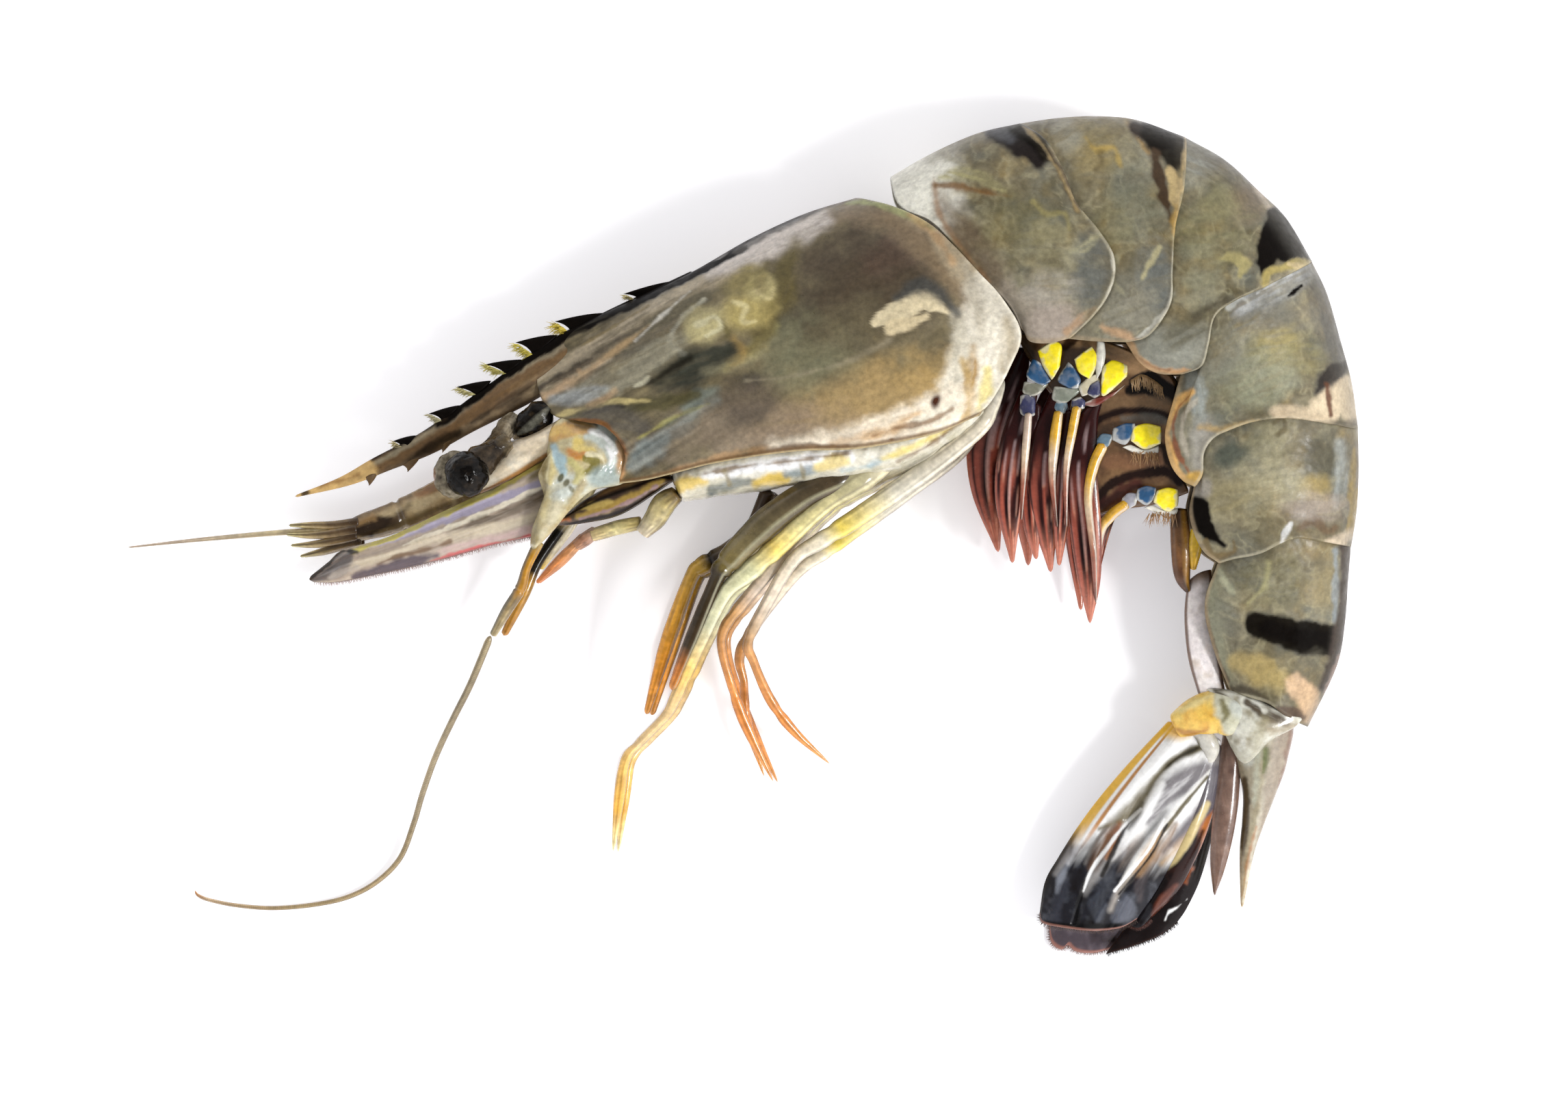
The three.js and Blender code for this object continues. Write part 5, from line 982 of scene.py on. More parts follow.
EXOPOD = {
    "front": [(42.1, -18.3), (44.7, -18.8), (47.9, -20.4)],
    "rear": [(28.1, -39.4), (28.5, -40.4), (31.0, -40.9), (34.0, -41.2), (37.0, -40.9), (38.8, -40.0)],
    "belly": [(37.8, -22.9), (34.5, -26.8), (32.1, -30.1), (30.1, -33.3), (28.7, -35.9)],
    "back": [(45.4, -27.6), (43.6, -31.7), (41.1, -36.6)],
}
ENDOPOD = {
    "front": [(45.3, -21.3), (46.6, -20.8), (48.1, -21.0)],
    "rear": [(37.8, -40.5), (39.1, -40.9), (40.4, -40.0)],
    "belly": [(43.2, -28.3), (41.1, -32.9), (39.1, -37.5)],
    "back": [(47.7, -26.1), (46.6, -30.2), (45.1, -33.8), (43.2, -37.2)],
}
LOWER_EXOPOD = {
    "front": [(43.2, -19.5), (44.9, -20.8), (46.8, -22.5)],
    "rear": [(29.2, -40.5), (29.5, -42.6), (30.6, -43.4), (31.3, -42.9), (32.2, -43.6), (34.0, -43.8), (36.0, -43.4)],
    "belly": [(37.8, -25.0), (33.4, -31.0), (30.4, -36.6)],
    "back": [(44.7, -28.3), (42.3, -34.4), (39.4, -39.6)],
}
LOWER_ENDOPOD = {
    "front": [(45.8, -23.4), (46.8, -23.4), (47.8, -24.1)],
    "rear": [(35.5, -43.9), (38.5, -43.0), (41.5, -41.8), (43.4, -40.4)],
    "belly": [(43.4, -29.1), (41.1, -34.4), (38.5, -39.6)],
    "back": [(47.7, -28.3), (46.9, -32.1), (45.8, -35.9), (44.4, -38.9)],
}
# Pale shell pushed 1.25 times past white: partly the tail blades' own pale colour, partly a painted reflection of the
# lights on them.
PALE_AND_GLARE_WHITE = 1.25 * rgb(252, 252, 250)
FAN_GREY = rgb(150, 142, 128)
FAN_OLIVE = rgb(112, 100, 62)
FAN_DARK = rgb(36, 36, 42)
FAN_SLATE = rgb(84, 88, 98)
FAN_CHESTNUT = rgb(158, 98, 56)
FAN_GOLD = rgb(255, 198, 56)
FAN_PINK = rgb(186, 128, 112)
SOOT = rgb(14, 13, 13)

# Grooves (sunk) and ribs (raised) of the upper blades: line, width and height.
FAN_RELIEF = [
    ([(44.4, -21.0), (42.0, -23.1), (39.4, -26.1), (37.8, -29.1)], 1.0, -0.5),
    ([(42.4, -21.0), (39.4, -24.1), (36.3, -27.4), (33.6, -30.0), (31.0, -34.4)], 1.7, 0.5),
    ([(46.6, -23.4), (44.2, -26.3), (41.5, -29.7), (38.9, -32.9), (36.3, -36.6), (34.0, -40.4)], 1.3, 0.6),
    ([(46.0, -22.5), (42.3, -25.3), (40.0, -27.6), (37.8, -31.3), (35.5, -34.4)], 1.8, 0.45),
    ([(46.9, -24.1), (43.8, -27.9), (41.5, -30.8), (39.4, -33.9), (36.8, -37.4)], 0.6, -0.35),
    ([(36.1, -29.8), (34.6, -32.9), (33.1, -36.6), (31.9, -40.4)], 0.7, -0.3),
]
EXOPOD_MARKS = [
    ([(46.2, -23.4), (44.2, -24.6), (41.9, -26.1), (39.8, -28.8)], (2.0, 3.0, 2.6, 1.6), rgb(112, 106, 110), 0.9, 0.6, 0.3),
    # Painted highlights: white streaks where the lights reflect from the raised ribs.
    ([(41.4, -25.1), (39.8, -27.3), (37.8, -30.3), (35.7, -32.9)], (0.8, 1.9, 1.8, 1.2), PALE_AND_GLARE_WHITE, 0.97, 0.3, 0.1),
    ([(44.2, -20.8), (41.5, -22.8), (38.5, -25.3), (34.8, -28.2), (32.2, -31.5)], (1.2, 2.0, 2.2, 2.0, 0.8), PALE_AND_GLARE_WHITE, 0.97, 0.4, 0.1),
    ([(45.8, -21.0), (43.2, -22.1), (40.8, -24.3), (39.4, -26.7), (37.4, -28.8), (34.6, -30.0)], (1.0, 0.8, 0.6, 0.6, 0.5, 0.3), FAN_OLIVE, 0.95, 0.3, 0.05),
    ([(45.4, -21.1), (43.2, -22.2), (41.1, -24.1), (39.8, -26.2)], (0.4, 0.35, 0.25, 0.2), rgb(44, 38, 22), 0.9, 0.2, 0.05),
    ([(39.2, -27.0), (38.7, -28.5), (37.8, -30.0)], (0.3, 0.6, 0.3), rgb(36, 36, 38), 0.85, 0.35, 0.1),
    ([(39.1, -26.6), (37.9, -27.9), (36.3, -29.4)], (0.8, 1.5, 1.2), rgb(140, 132, 108), 0.8, 0.6, 0.1),
    ([(36.8, -29.4), (36.0, -31.0), (35.2, -32.9)], (0.7, 1.5, 0.7), FAN_CHESTNUT, 0.95, 0.3),
    ([(35.5, -29.8), (34.0, -31.8), (33.1, -33.8)], (0.3, 0.5, 0.3), rgb(120, 116, 112), 0.8, 0.2),
    ([(41.9, -28.1), (40.8, -29.5), (39.1, -31.5), (37.6, -33.3)], (0.4, 0.7, 0.7, 0.4), rgb(86, 84, 82), 0.8, 0.5, 0.1),
    # A painted highlight along a raised rib.
    ([(46.8, -23.7), (44.2, -26.6), (41.5, -30.0), (38.9, -33.0), (37.0, -35.9)], (0.4, 0.7, 0.8, 0.8, 0.3), rgb(236, 234, 228), 0.95, 0.2),
    ([(46.5, -24.3), (43.9, -27.3), (41.5, -30.4), (39.0, -33.8), (37.0, -36.6)], (0.3, 0.45, 0.5, 0.5, 0.2), rgb(88, 80, 46), 0.95, 0.15),
    ([(31.2, -31.5), (30.8, -33.0), (29.8, -34.9)], (0.5, 1.2, 0.6), rgb(206, 204, 204), 0.85, 0.3),
    ([(37.0, -32.1), (34.6, -34.5), (33.0, -37.0)], (0.5, 0.7, 0.3), rgb(214, 210, 206), 0.85, 0.6, 0.1),
    ([(41.5, -31.5), (39.4, -33.8), (37.0, -36.6), (35.9, -38.9)], (0.2, 0.5, 0.4, 0.2), rgb(206, 196, 184), 0.8, 0.5, 0.1),
    ([(33.1, -35.9), (32.4, -38.1), (32.1, -40.4)], (0.6, 0.6, 0.5), SOOT, 0.9, 0.25),
    ([(30.8, -35.9), (30.1, -38.1), (30.0, -40.0)], (0.8, 1.2, 0.8), rgb(58, 60, 70), 0.85, 0.35, 0.3),
    ([(37.4, -37.4), (37.5, -38.9), (36.6, -39.9)], (0.8, 2.6, 1.2), rgb(98, 102, 114), 0.85, 0.3, 0.3),
    ([(34.9, -36.9), (34.4, -38.4), (34.5, -39.8)], (0.6, 2.2, 1.0), rgb(72, 76, 86), 0.8, 0.3, 0.3),
    ([(40.0, -33.8), (39.1, -35.9), (39.1, -37.8)], (0.6, 1.4, 0.6), rgb(70, 62, 64), 0.85, 0.3, 0.3),
    ([(28.6, -40.4), (32.5, -40.9), (37.0, -40.7)], (0.5, 0.9, 0.5), SOOT, 0.95, 0.2),
    ([(32.5, -30.0), (31.2, -32.1), (30.0, -34.2), (28.6, -37.0)], (0.3, 0.9, 0.9, 0.7), rgb(30, 28, 30), 0.9, 0.4, 0.3),
    ([(36.0, -29.5), (34.9, -32.1), (33.9, -34.2)], (0.5, 1.5, 0.9), rgb(112, 80, 52), 0.9, 0.5, 0.3),
    ([(37.0, -30.0), (36.1, -31.9), (35.4, -33.3)], (0.3, 0.5, 0.3), rgb(190, 124, 70), 0.9, 0.2),
    ([(41.2, -30.6), (40.0, -32.9), (38.9, -34.8)], (0.6, 1.7, 0.9), rgb(200, 160, 116), 0.9, 0.5, 0.3),
    ([(43.0, -29.5), (42.0, -31.8), (40.8, -33.4)], (0.6, 1.2, 0.6), rgb(150, 112, 70), 0.9, 0.4, 0.3),
    ([(39.3, -27.1), (37.6, -29.5), (36.3, -32.1), (34.9, -35.1)], (0.3, 0.5, 0.5, 0.4), rgb(34, 30, 26), 0.95, 0.15),
    # Painted highlights: thin white streaks along the ribs.
    ([(39.1, -27.8), (37.0, -30.0), (35.4, -32.2), (33.8, -34.5), (32.9, -36.9)], (0.2, 0.35, 0.4, 0.35, 0.2), PALE_AND_GLARE_WHITE, 1.0, 0.1),
    ([(41.7, -28.9), (40.1, -32.1), (38.2, -34.5), (36.3, -36.8)], (0.25, 0.35, 0.35, 0.2), PALE_AND_GLARE_WHITE, 1.0, 0.1),
    ([(42.0, -29.5), (40.5, -32.5), (38.7, -34.9), (36.8, -37.2)], (0.2, 0.35, 0.35, 0.2), rgb(30, 28, 28), 0.95, 0.1),
    ([(31.2, -33.8), (30.4, -35.4), (30.0, -37.0)], (0.3, 0.7, 0.3), rgb(150, 156, 168), 0.85, 0.3, 0.3),
    ([(32.2, -32.1), (31.2, -33.8)], (0.5, 0.4), rgb(232, 232, 234), 0.85, 0.3, 0.3),
    ([(41.5, -23.7), (40.0, -25.3), (38.2, -27.8), (35.7, -29.5)], (0.5, 1.5, 1.5, 0.6), rgb(134, 124, 98), 0.7, 0.7, 0.2),
    ([(47.5, -25.5), (46.4, -27.4), (44.7, -29.5), (42.8, -31.9)], (1.2, 1.7, 1.5, 0.8), rgb(122, 114, 122), 0.9, 0.5, 0.1),
    ([(45.4, -28.1), (43.6, -30.3), (41.7, -32.5)], (0.6, 0.9, 0.5), rgb(66, 56, 62), 0.85, 0.5, 0.1),
    ([(44.9, -30.3), (43.2, -32.1), (41.5, -33.8)], (0.4, 0.9, 0.5), rgb(196, 160, 112), 0.85, 0.5, 0.1),
]

DARK_FROM = (-31.4, -0.26, 32.5)  # the blades turn dark towards -Y from here: y, and its slope in x from an x


def fan_relief(x, y, u, v):
    lift = 0.05 * streaks(x, y, 58, 0.6, 50)
    for points, width, height in FAN_RELIEF:
        lift = lift + height * np.exp(-((distance(x, y, points)[0] / width * 1.8) ** 2))
    return lift * ease(np.minimum(v, 1 - v), 0.0, 0.12) * ease(u, 0, 0.05)


def below_dark(x, y):
    """How far (x, y) lies past the line where the blades turn dark."""
    start, slope, at = DARK_FROM
    return start + slope * (x - at) - y


def dark_share(x, y, ragged=1.9):
    return ease(below_dark(x, y) + ragged * streaks(x, y, 60, 0.7, 51), -3.0, 2.4)


def paint_exopod(x, y, u, v):
    # The upper blade's base is painted white: its pale colour with a painted reflection of the lights over it.
    colour = speckled(x, y, PALE_AND_GLARE_WHITE, (rgb(226, 222, 218), 2.4, 0.7))
    colour = mix(colour, FAN_GREY, 0.3 * ease(streaks(x, y, 52, 0.7, 54), 0.1, 0.45))
    warm = ease(below_dark(x, y), -4.5, 0.0) * ease(streaks(x, y, 60, 0.7, 52), -0.15, 0.25)
    colour = mix(colour, rgb(132, 98, 66), 0.75 * warm)
    dark = speckled(x, y, FAN_DARK, (FAN_SLATE, 1.2, 0.9), (INK, 2.0, 1.2))
    colour = mix(colour, dark, dark_share(x, y))
    colour = lay(colour, x, y, EXOPOD_MARKS, 0.08)
    gold_end = ease(y, -32.5, -29.0)
    # Gold and white bands along the belly edge; the white band is a painted highlight along that edge.
    for low, high, tone in ((0.0, 0.09, FAN_GOLD), (0.1, 0.125, PALE_AND_GLARE_WHITE), (0.135, 0.155, rgb(206, 140, 62))):
        band = ease(v, low - 0.02, low) * (1 - ease(v, high, high + 0.02))
        colour = mix(colour, tone, 0.95 * gold_end * band)
    colour = mix(colour, FAN_GOLD, 0.9 * (1 - ease(u, 0.04, 0.10)) * (1 - ease(v, 0.3, 0.6)))
    colour = mix(colour, rgb(40, 36, 34), 0.85 * (1 - gold_end) * (1 - ease(v, 0.02, 0.06)))
    return mix(colour, FAN_PINK, 0.6 * ease(u, 0.99, 0.997))


ENDOPOD_MARKS = [
    ([(47.5, -24.3), (46.0, -27.3), (44.5, -29.5), (42.4, -32.1)], (2.6, 3.2, 2.4, 1.2), rgb(104, 98, 106), 0.95, 0.4, 0.2),
    ([(46.6, -27.3), (45.4, -29.2), (43.8, -31.8), (42.0, -33.8), (40.4, -35.1)], (0.5, 1.0, 1.3, 1.4, 0.9), rgb(226, 204, 146), 0.98, 0.25),
    ([(47.6, -28.1), (46.6, -30.0), (45.8, -32.1)], (0.8, 1.7, 1.0), rgb(190, 112, 50), 0.9, 0.25),
    ([(46.0, -30.3), (45.0, -32.9), (43.6, -35.4), (42.0, -37.8)], (0.5, 1.4, 1.8, 1.4), rgb(44, 22, 18), 0.97, 0.3),
    ([(43.2, -36.3), (41.5, -38.1), (40.8, -39.6)], (0.5, 1.0, 0.6), rgb(110, 56, 38), 0.85, 0.3, 0.3),
]


def paint_endopod(x, y, u, v):
    colour = speckled(x, y, rgb(150, 146, 148), (FAN_GREY, 2.0, 0.8), (rgb(214, 210, 206), 1.4, 0.6))
    dark = speckled(x, y, rgb(24, 18, 18), (rgb(62, 34, 26), 1.6, 1.2), (FAN_SLATE, 1.2, 0.4))
    colour = mix(colour, dark, ease(below_dark(x, y) + 5.6 + streaks(x, y, 62, 0.9, 53), -1.4, 1.4))
    colour = lay(colour, x, y, ENDOPOD_MARKS, 0.12)
    return mix(colour, FAN_PINK, 0.5 * ease(v, 0.95, 0.99) * (1 - ease(u, 0.5, 0.8)))


def paint_lower(x, y, u, v):
    colour = speckled(x, y, rgb(196, 190, 184), (FAN_GREY, 2.4, 0.9))
    dark = speckled(x, y, rgb(92, 82, 90), (rgb(134, 122, 130), 1.2, 1.0), (INK, 1.8, 1.2))
    colour = mix(colour, dark, dark_share(x, y))
    colour = mix(colour, rgb(186, 128, 112), 0.8 * ease(u, 0.982, 0.994))
    return mix(colour, FAN_PINK, 0.5 * (1 - ease(v, 0.01, 0.04)))


INNER_LOWER_MARKS = [
    # A painted highlight: a thin white streak on the lower blade.
    ([(42.0, -40.2), (42.4, -39.3), (43.4, -38.7), (44.4, -37.9)], (0.2, 0.3, 0.3, 0.15), PALE_AND_GLARE_WHITE, 0.98, 0.1),
    ([(43.4, -35.5), (42.9, -36.3)], (0.6, 0.4), rgb(190, 96, 40), 0.95, 0.2),
    ([(44.9, -34.5), (44.2, -35.9)], (0.5, 0.4), rgb(206, 110, 50), 0.9, 0.25),
    ([(44.5, -33.8), (43.9, -35.4), (43.2, -36.6)], (0.6, 1.2, 0.6), rgb(84, 30, 22), 0.9, 0.3),
]


def paint_inner_lower(x, y, u, v):
    colour = mix(paint_lower(x, y, u, v), rgb(24, 17, 16), 0.95 * ease(u, 0.15, 0.4))
    return lay(colour, x, y, INNER_LOWER_MARKS)


def add_tail_fan():
    upper, low = (0.8, 1.6, 1.1), (0.2, 0.6, 0.5)
    for name, edges, height, paint, relief, camber, rim in (
        ("uropod_exopod_left", EXOPOD, (6.2, 5.6, 3.8), paint_exopod, fan_relief, upper, rgb(90, 70, 62)),
        ("uropod_endopod_left", ENDOPOD, (4.0, 3.7, 2.3), paint_endopod, None, upper, rgb(96, 60, 52)),
        ("uropod_endopod_right", LOWER_ENDOPOD, (2.1, 1.6, 1.0), paint_inner_lower, None, low, INK),
        ("uropod_exopod_right", LOWER_EXOPOD, (1.0, 0.7, 0.4), paint_lower, None, low, rgb(150, 104, 92)),
    ):
        skin = Skin()
        tilt = (-0.6, -0.4, 0.0) if camber is upper else (0, 0)
        rows, cols = (190, 110) if camber is upper else (120, 70)
        leaf(skin, edges, height, (1.1, 0.7, 0.45, 0.22), paint, rows, cols, relief, camber, tilt)
        tip = edges["rear"]
        lift = (height[-1], height[-1] + camber[-1], height[-1])
        fringe(skin, tip, 150, 0.45, rim, lift, thickness=0.04, droop=0.15)
        skin.build(name.replace("uropod", "tail"), FAN, "tail_blade", name)


TELSON_MARKS = [
    ([(51.0, -18.0), (51.1, -20.4), (51.0, -22.5)], (2.8, 2.6, 1.2), rgb(222, 224, 212), 0.95, 0.5, 0.2),
    ([(52.0, -19.3), (51.9, -23.8), (51.6, -27.6)], (0.6, 0.8, 0.4), rgb(206, 206, 184), 0.8, 0.3, 0.3),
    ([(53.7, -18.6), (53.5, -23.1), (52.6, -27.6), (51.4, -32.9), (50.5, -38.1)], (1.0, 1.0, 0.7, 0.5, 0.2), rgb(232, 226, 204), 0.85, 0.25),
    ([(52.9, -21.4), (52.9, -22.5), (52.6, -23.7)], (0.5, 0.7, 0.3), rgb(96, 114, 58), 0.8, 0.25),
    ([(50.6, -24.6), (50.8, -27.6), (50.6, -30.6), (50.4, -32.9)], (0.4, 0.9, 0.9, 0.4), rgb(84, 66, 38), 0.95, 0.2),
    ([(54.6, -19.3), (54.0, -23.8), (52.8, -29.1), (51.8, -33.6)], (1.8, 2.0, 1.4, 0.5), rgb(160, 144, 126), 0.8, 0.5),
    ([(55.9, -18.8), (55.5, -21.6), (54.6, -25.3)], (0.6, 0.9, 0.5), rgb(126, 90, 68), 0.85, 0.25),
    ([(51.9, -29.8), (51.0, -33.6), (50.4, -37.4)], (0.3, 0.4, 0.2), rgb(176, 120, 66), 0.75, 0.2),
    ([(52.5, -17.6), (53.4, -18.1), (54.4, -18.4)], (0.5, 0.8, 0.5), rgb(70, 54, 38), 0.85, 0.25),
]


# A thin brown-mauve sheet beside the telson that stands for the telson's cast shadow: a painted shadow.
TELSON_SHADOW_SHEET = {
    "front": [(48.3, -19.2), (49.5, -19.1), (50.7, -19.9)],
    "rear": [(47.2, -37.0), (47.4, -37.3), (47.6, -37.0)],
    "belly": [(47.7, -23.8), (47.1, -29.1), (46.9, -33.6)],
    "back": [(50.2, -23.8), (49.9, -27.6), (49.3, -31.3), (48.4, -34.8)],
}
TAIL_ROOT = {
    "front": [(46.5, -14.7), (49.9, -15.4), (53.5, -16.8), (56.7, -18.0)],
    "rear": [(49.0, -21.0), (50.0, -22.5), (51.1, -22.5), (53.2, -20.4)],
    "belly": [(47.4, -17.4)],
    "back": [(55.8, -18.9)],
}
TAIL_ROOT_MARKS = [
    ([(47.2, -14.8), (49.0, -16.3), (49.5, -18.3)], (0.5, 0.8, 0.4), rgb(78, 66, 40), 0.9, 0.25),
    ([(50.7, -16.1), (52.8, -17.4), (55.0, -18.4)], (0.8, 1.4, 1.2), rgb(74, 58, 38), 0.95, 0.3, 0.3),
    ([(52.5, -18.6), (54.0, -18.9), (55.8, -18.6)], (1.2, 1.6, 1.0), rgb(176, 162, 134), 0.9, 0.5, 0.3),
    ([(48.0, -17.1), (48.8, -18.6), (49.0, -20.1)], (0.4, 0.5, 0.3), rgb(110, 98, 62), 0.85, 0.2),
    ([(51.9, -16.3), (52.6, -17.1)], (0.3, 0.3), rgb(240, 238, 224), 0.9, 0.2),
    ([(52.5, -18.0), (52.0, -19.6), (51.8, -21.1)], (0.8, 1.2, 1.0), rgb(166, 158, 126), 0.85, 0.6, 0.2),
]


def add_telson():
    def paint(s, angle, x, y):
        colour = speckled(x, y, rgb(178, 166, 138), (rgb(206, 198, 172), 1.6, 1.0), (rgb(136, 118, 92), 2.2, 1.0))
        colour = colour * (1 + 0.18 * streaks(x, y, 96, 0.5, 56))[..., None]
        colour = mix(colour, rgb(206, 178, 134), 0.6 * ease(s, 0.6, 1.0))
        return lay(colour, x, y, TELSON_MARKS)

    path = [
        (53.5, -17.2, 5.0, 2.9, 2.6), (52.9, -18.8, 5.0, 3.2, 2.7), (52.6, -20.8, 4.9, 3.1, 2.5), (52.5, -23.4, 4.6, 2.6, 2.2),
        (52.2, -26.3, 4.3, 1.8, 1.7), (51.6, -29.3, 4.0, 1.25, 1.2), (50.9, -32.9, 3.6, 0.8, 0.8), (50.4, -38.7, 3.2, 0.15, 0.2),
    ]
    # Colours of the painted shadow sheet, paler along its edge.
    def paint_telson_shadow(x, y, u, v):
        colour = speckled(x, y, rgb(134, 106, 92), (rgb(160, 132, 116), 1.6, 1.0), (rgb(98, 72, 62), 1.8, 1.2))
        colour = colour * (1 + 0.25 * streaks(x, y, 96, 0.4, 57))[..., None]
        return mix(colour, rgb(204, 184, 176), 0.6 * (1 - ease(v, 0.0, 0.14)))

    def paint_root(x, y, u, v):
        colour = speckled(x, y, rgb(228, 226, 210), (rgb(250, 250, 240), 1.4, 1.0), (rgb(150, 140, 110), 1.4, 1.3))
        colour = lay(colour, x, y, TAIL_ROOT_MARKS)
        return mix(colour, rgb(196, 192, 172), 0.85 * ease(u, 0.62, 0.98))

    skin = Skin()
    tube(skin, path, paint, 90, 180)
    # The sheet that paints the telson's shadow.
    leaf(skin, TELSON_SHADOW_SHEET, (4.6, 4.4, 3.6), (0.6, 0.5, 0.25), paint_telson_shadow, 90, 40, None, (0.4, 0.3))
    leaf(skin, TAIL_ROOT, (8.4, 8.4, 7.4), (1.6, 1.4, 0.4), paint_root, 60, 80, None, (0.6, 0.8, 0.4))
    skin.build("tail_spike", FLESH, "telson", "telson")


PROTOPODS = {
    "left": [
        (51.3, -18.8, 8.4, 1.0, 0.8), (49.5, -17.7, 8.6, 2.3, 1.4), (47.7, -17.1, 8.3, 2.4, 1.5), (45.4, -17.6, 7.8, 2.2, 1.4),
        (42.9, -18.8, 6.9, 1.4, 0.9),
    ],
    "right": [(48.3, -16.5, 2.6, 1.2, 1.2), (45.8, -17.4, 2.3, 1.6, 1.2), (43.6, -18.6, 1.6, 1.0, 0.8)],
}
KNOB = [(44.9, -19.2, 7.2, 0.5, 0.5), (46.0, -19.8, 7.4, 1.0, 0.9), (46.8, -21.1, 7.2, 1.0, 0.9), (46.6, -22.6, 6.7, 0.6, 0.6)]
PROTOPOD_MARKS = [
    ([(48.0, -15.3), (48.8, -17.1), (49.0, -18.8)], (2.0, 3.0, 2.4), rgb(216, 216, 192), 0.95, 0.4),
    ([(49.5, -16.3), (51.0, -17.4), (51.6, -18.6)], (1.6, 2.2, 1.4), rgb(214, 218, 208), 0.9, 0.5),
    ([(48.0, -15.9), (48.4, -17.4), (47.9, -18.3)], (0.4, 0.6, 0.3), rgb(120, 112, 62), 0.85, 0.25),
    ([(49.0, -15.6), (51.3, -16.3), (52.9, -17.7)], (0.4, 0.6, 0.3), rgb(96, 84, 56), 0.8, 0.25),
    ([(42.4, -18.8), (44.5, -19.5), (46.4, -19.1)], (0.4, 0.6, 0.4), rgb(176, 110, 40), 0.8, 0.25),
    ([(43.5, -16.9), (45.1, -16.1), (46.8, -15.3)], (0.4, 0.7, 0.4), rgb(252, 232, 160), 0.85, 0.3),
]


def add_protopods():
    def paint(s, angle, x, y):
        gold = 1.1 * speckled(x, y, rgb(252, 208, 98), (rgb(255, 228, 134), 1.2, 0.9), (rgb(222, 164, 60), 1.0, 1.2))
        return lay(gold, x, y, PROTOPOD_MARKS)

    def paint_knob(s, angle, x, y):
        colour = speckled(x, y, rgb(228, 224, 212), (rgb(252, 252, 250), 1.0, 1.2))
        return mix(colour, rgb(92, 82, 44), 0.9 * spot(x, y, (45.0, -20.6), (1.2, 1.6), 20, 0.35, 0.3))

    for side, path in PROTOPODS.items():
        skin = Skin()
        tube(skin, path, paint, 44, 80)
        if side == "left":
            tube(skin, KNOB, paint_knob, 30, 50)
        skin.build(f"tail_joint_{side}", FLESH, "tail_joint", f"uropod_protopod_{side}")


# ---- head parts ----

EYES = {  # middle and radius of the ball, foot of the stalk
    "left": ((-34.5, 8.9, 16.4), 2.5, (-30.1, 12.6, 14.4)),
    "right": ((-27.0, 15.1, 7.2), 1.7, (-29.5, 12.9, 8.6)),
}
COLLAR = (-35.9, 8.8, 15.0)
EYE_BRIDGE = [(-33.0, 10.8, 13.4, 0.9, 0.9), (-31.6, 12.2, 12.8, 1.1, 1.0), (-30.3, 13.9, 11.6, 1.2, 1.0), (-29.5, 15.4, 10.6, 0.5, 0.6)]
FAR_EYE = [(-29.2, 13.3, 12.0, 0.6, 0.6), (-28.2, 14.1, 12.2, 1.4, 1.2), (-26.7, 15.4, 12.4, 1.6, 1.3), (-25.7, 16.3, 12.4, 0.7, 0.7)]


def ball(skin, middle, sizes, paint, lumps=0.01, rows=60):
    """A rounded lump with half sizes along x, y and z. paint(unit, x, y) gives its colours."""
    turn, polar = np.meshgrid(np.linspace(0, 2 * math.pi, 2 * rows, endpoint=False), np.linspace(0.02, math.pi - 0.02, rows))
    unit = np.stack([np.sin(polar) * np.cos(turn), np.sin(polar) * np.sin(turn), np.cos(polar)], -1)
    x, y = middle[0] + unit[..., 0] * sizes[0], middle[1] + unit[..., 1] * sizes[1]
    bumps = 1 + lumps * fractal(x + unit[..., 2], y - unit[..., 2], 0.9, 17)
    skin.grid(np.array(middle) + unit * sizes * bumps[..., None], paint(unit, x, y), wrap=True, caps=True)


def add_eyes():
    def black(unit, x, y):
        return speckled(x, y, rgb(14, 11, 9), (rgb(50, 40, 30), 0.7, 1.2))

    def grey(unit, x, y):
        colour = speckled(x, y, rgb(128, 118, 98), (rgb(170, 160, 138), 0.8, 1.0), (rgb(60, 50, 38), 0.8, 1.3))
        return mix(colour, rgb(170, 128, 96), 0.8 * ease(-unit[..., 0], 0.88, 0.97))

    for side, (middle, radius, foot) in EYES.items():
        skin = Skin()
        ball(skin, middle, (radius, radius * 0.98, radius), black, 0.08)
        if side == "left":
            ball(skin, COLLAR, (2.3, 2.6, 2.1), grey, 0.08)
            looks = [(0, rgb(50, 40, 30)), (0.4, rgb(74, 62, 46)), (0.6, rgb(150, 138, 116)), (1, rgb(196, 184, 158))]
            tube(skin, EYE_BRIDGE, stripes(looks, rgb(92, 76, 52), 60, 26, 0.7, 0.7), 36, 80, lumps=0.3)
        else:
            # The grey stripe along the top of the far eye is a painted highlight.
            tube(skin, FAR_EYE, stripes([(0, rgb(20, 16, 12)), (1, rgb(14, 12, 10))], rgb(120, 118, 104), 100, 16, 0.7, 0.6), 36, 60, lumps=0.3)
        places, thick = (0.0, 0.35, 0.7, 1.0), (0.8, 0.7, 0.56, 0.44)
        stalk = [(*(np.array(middle) * (1 - k) + np.array(foot) * k), radius * w, radius * w) for k, w in zip(places, thick)]
        looks = [(0, rgb(30, 24, 18)), (0.4, rgb(58, 48, 36)), (0.7, rgb(40, 32, 24)), (1, rgb(120, 106, 82))]
        tube(skin, stalk, stripes(looks, rgb(128, 104, 66), -10, 30, 0.6, 0.6), 30, 60, lumps=0.35)
        skin.build(f"eyeball_{side}", EYE, "eye", f"eye_{side}")


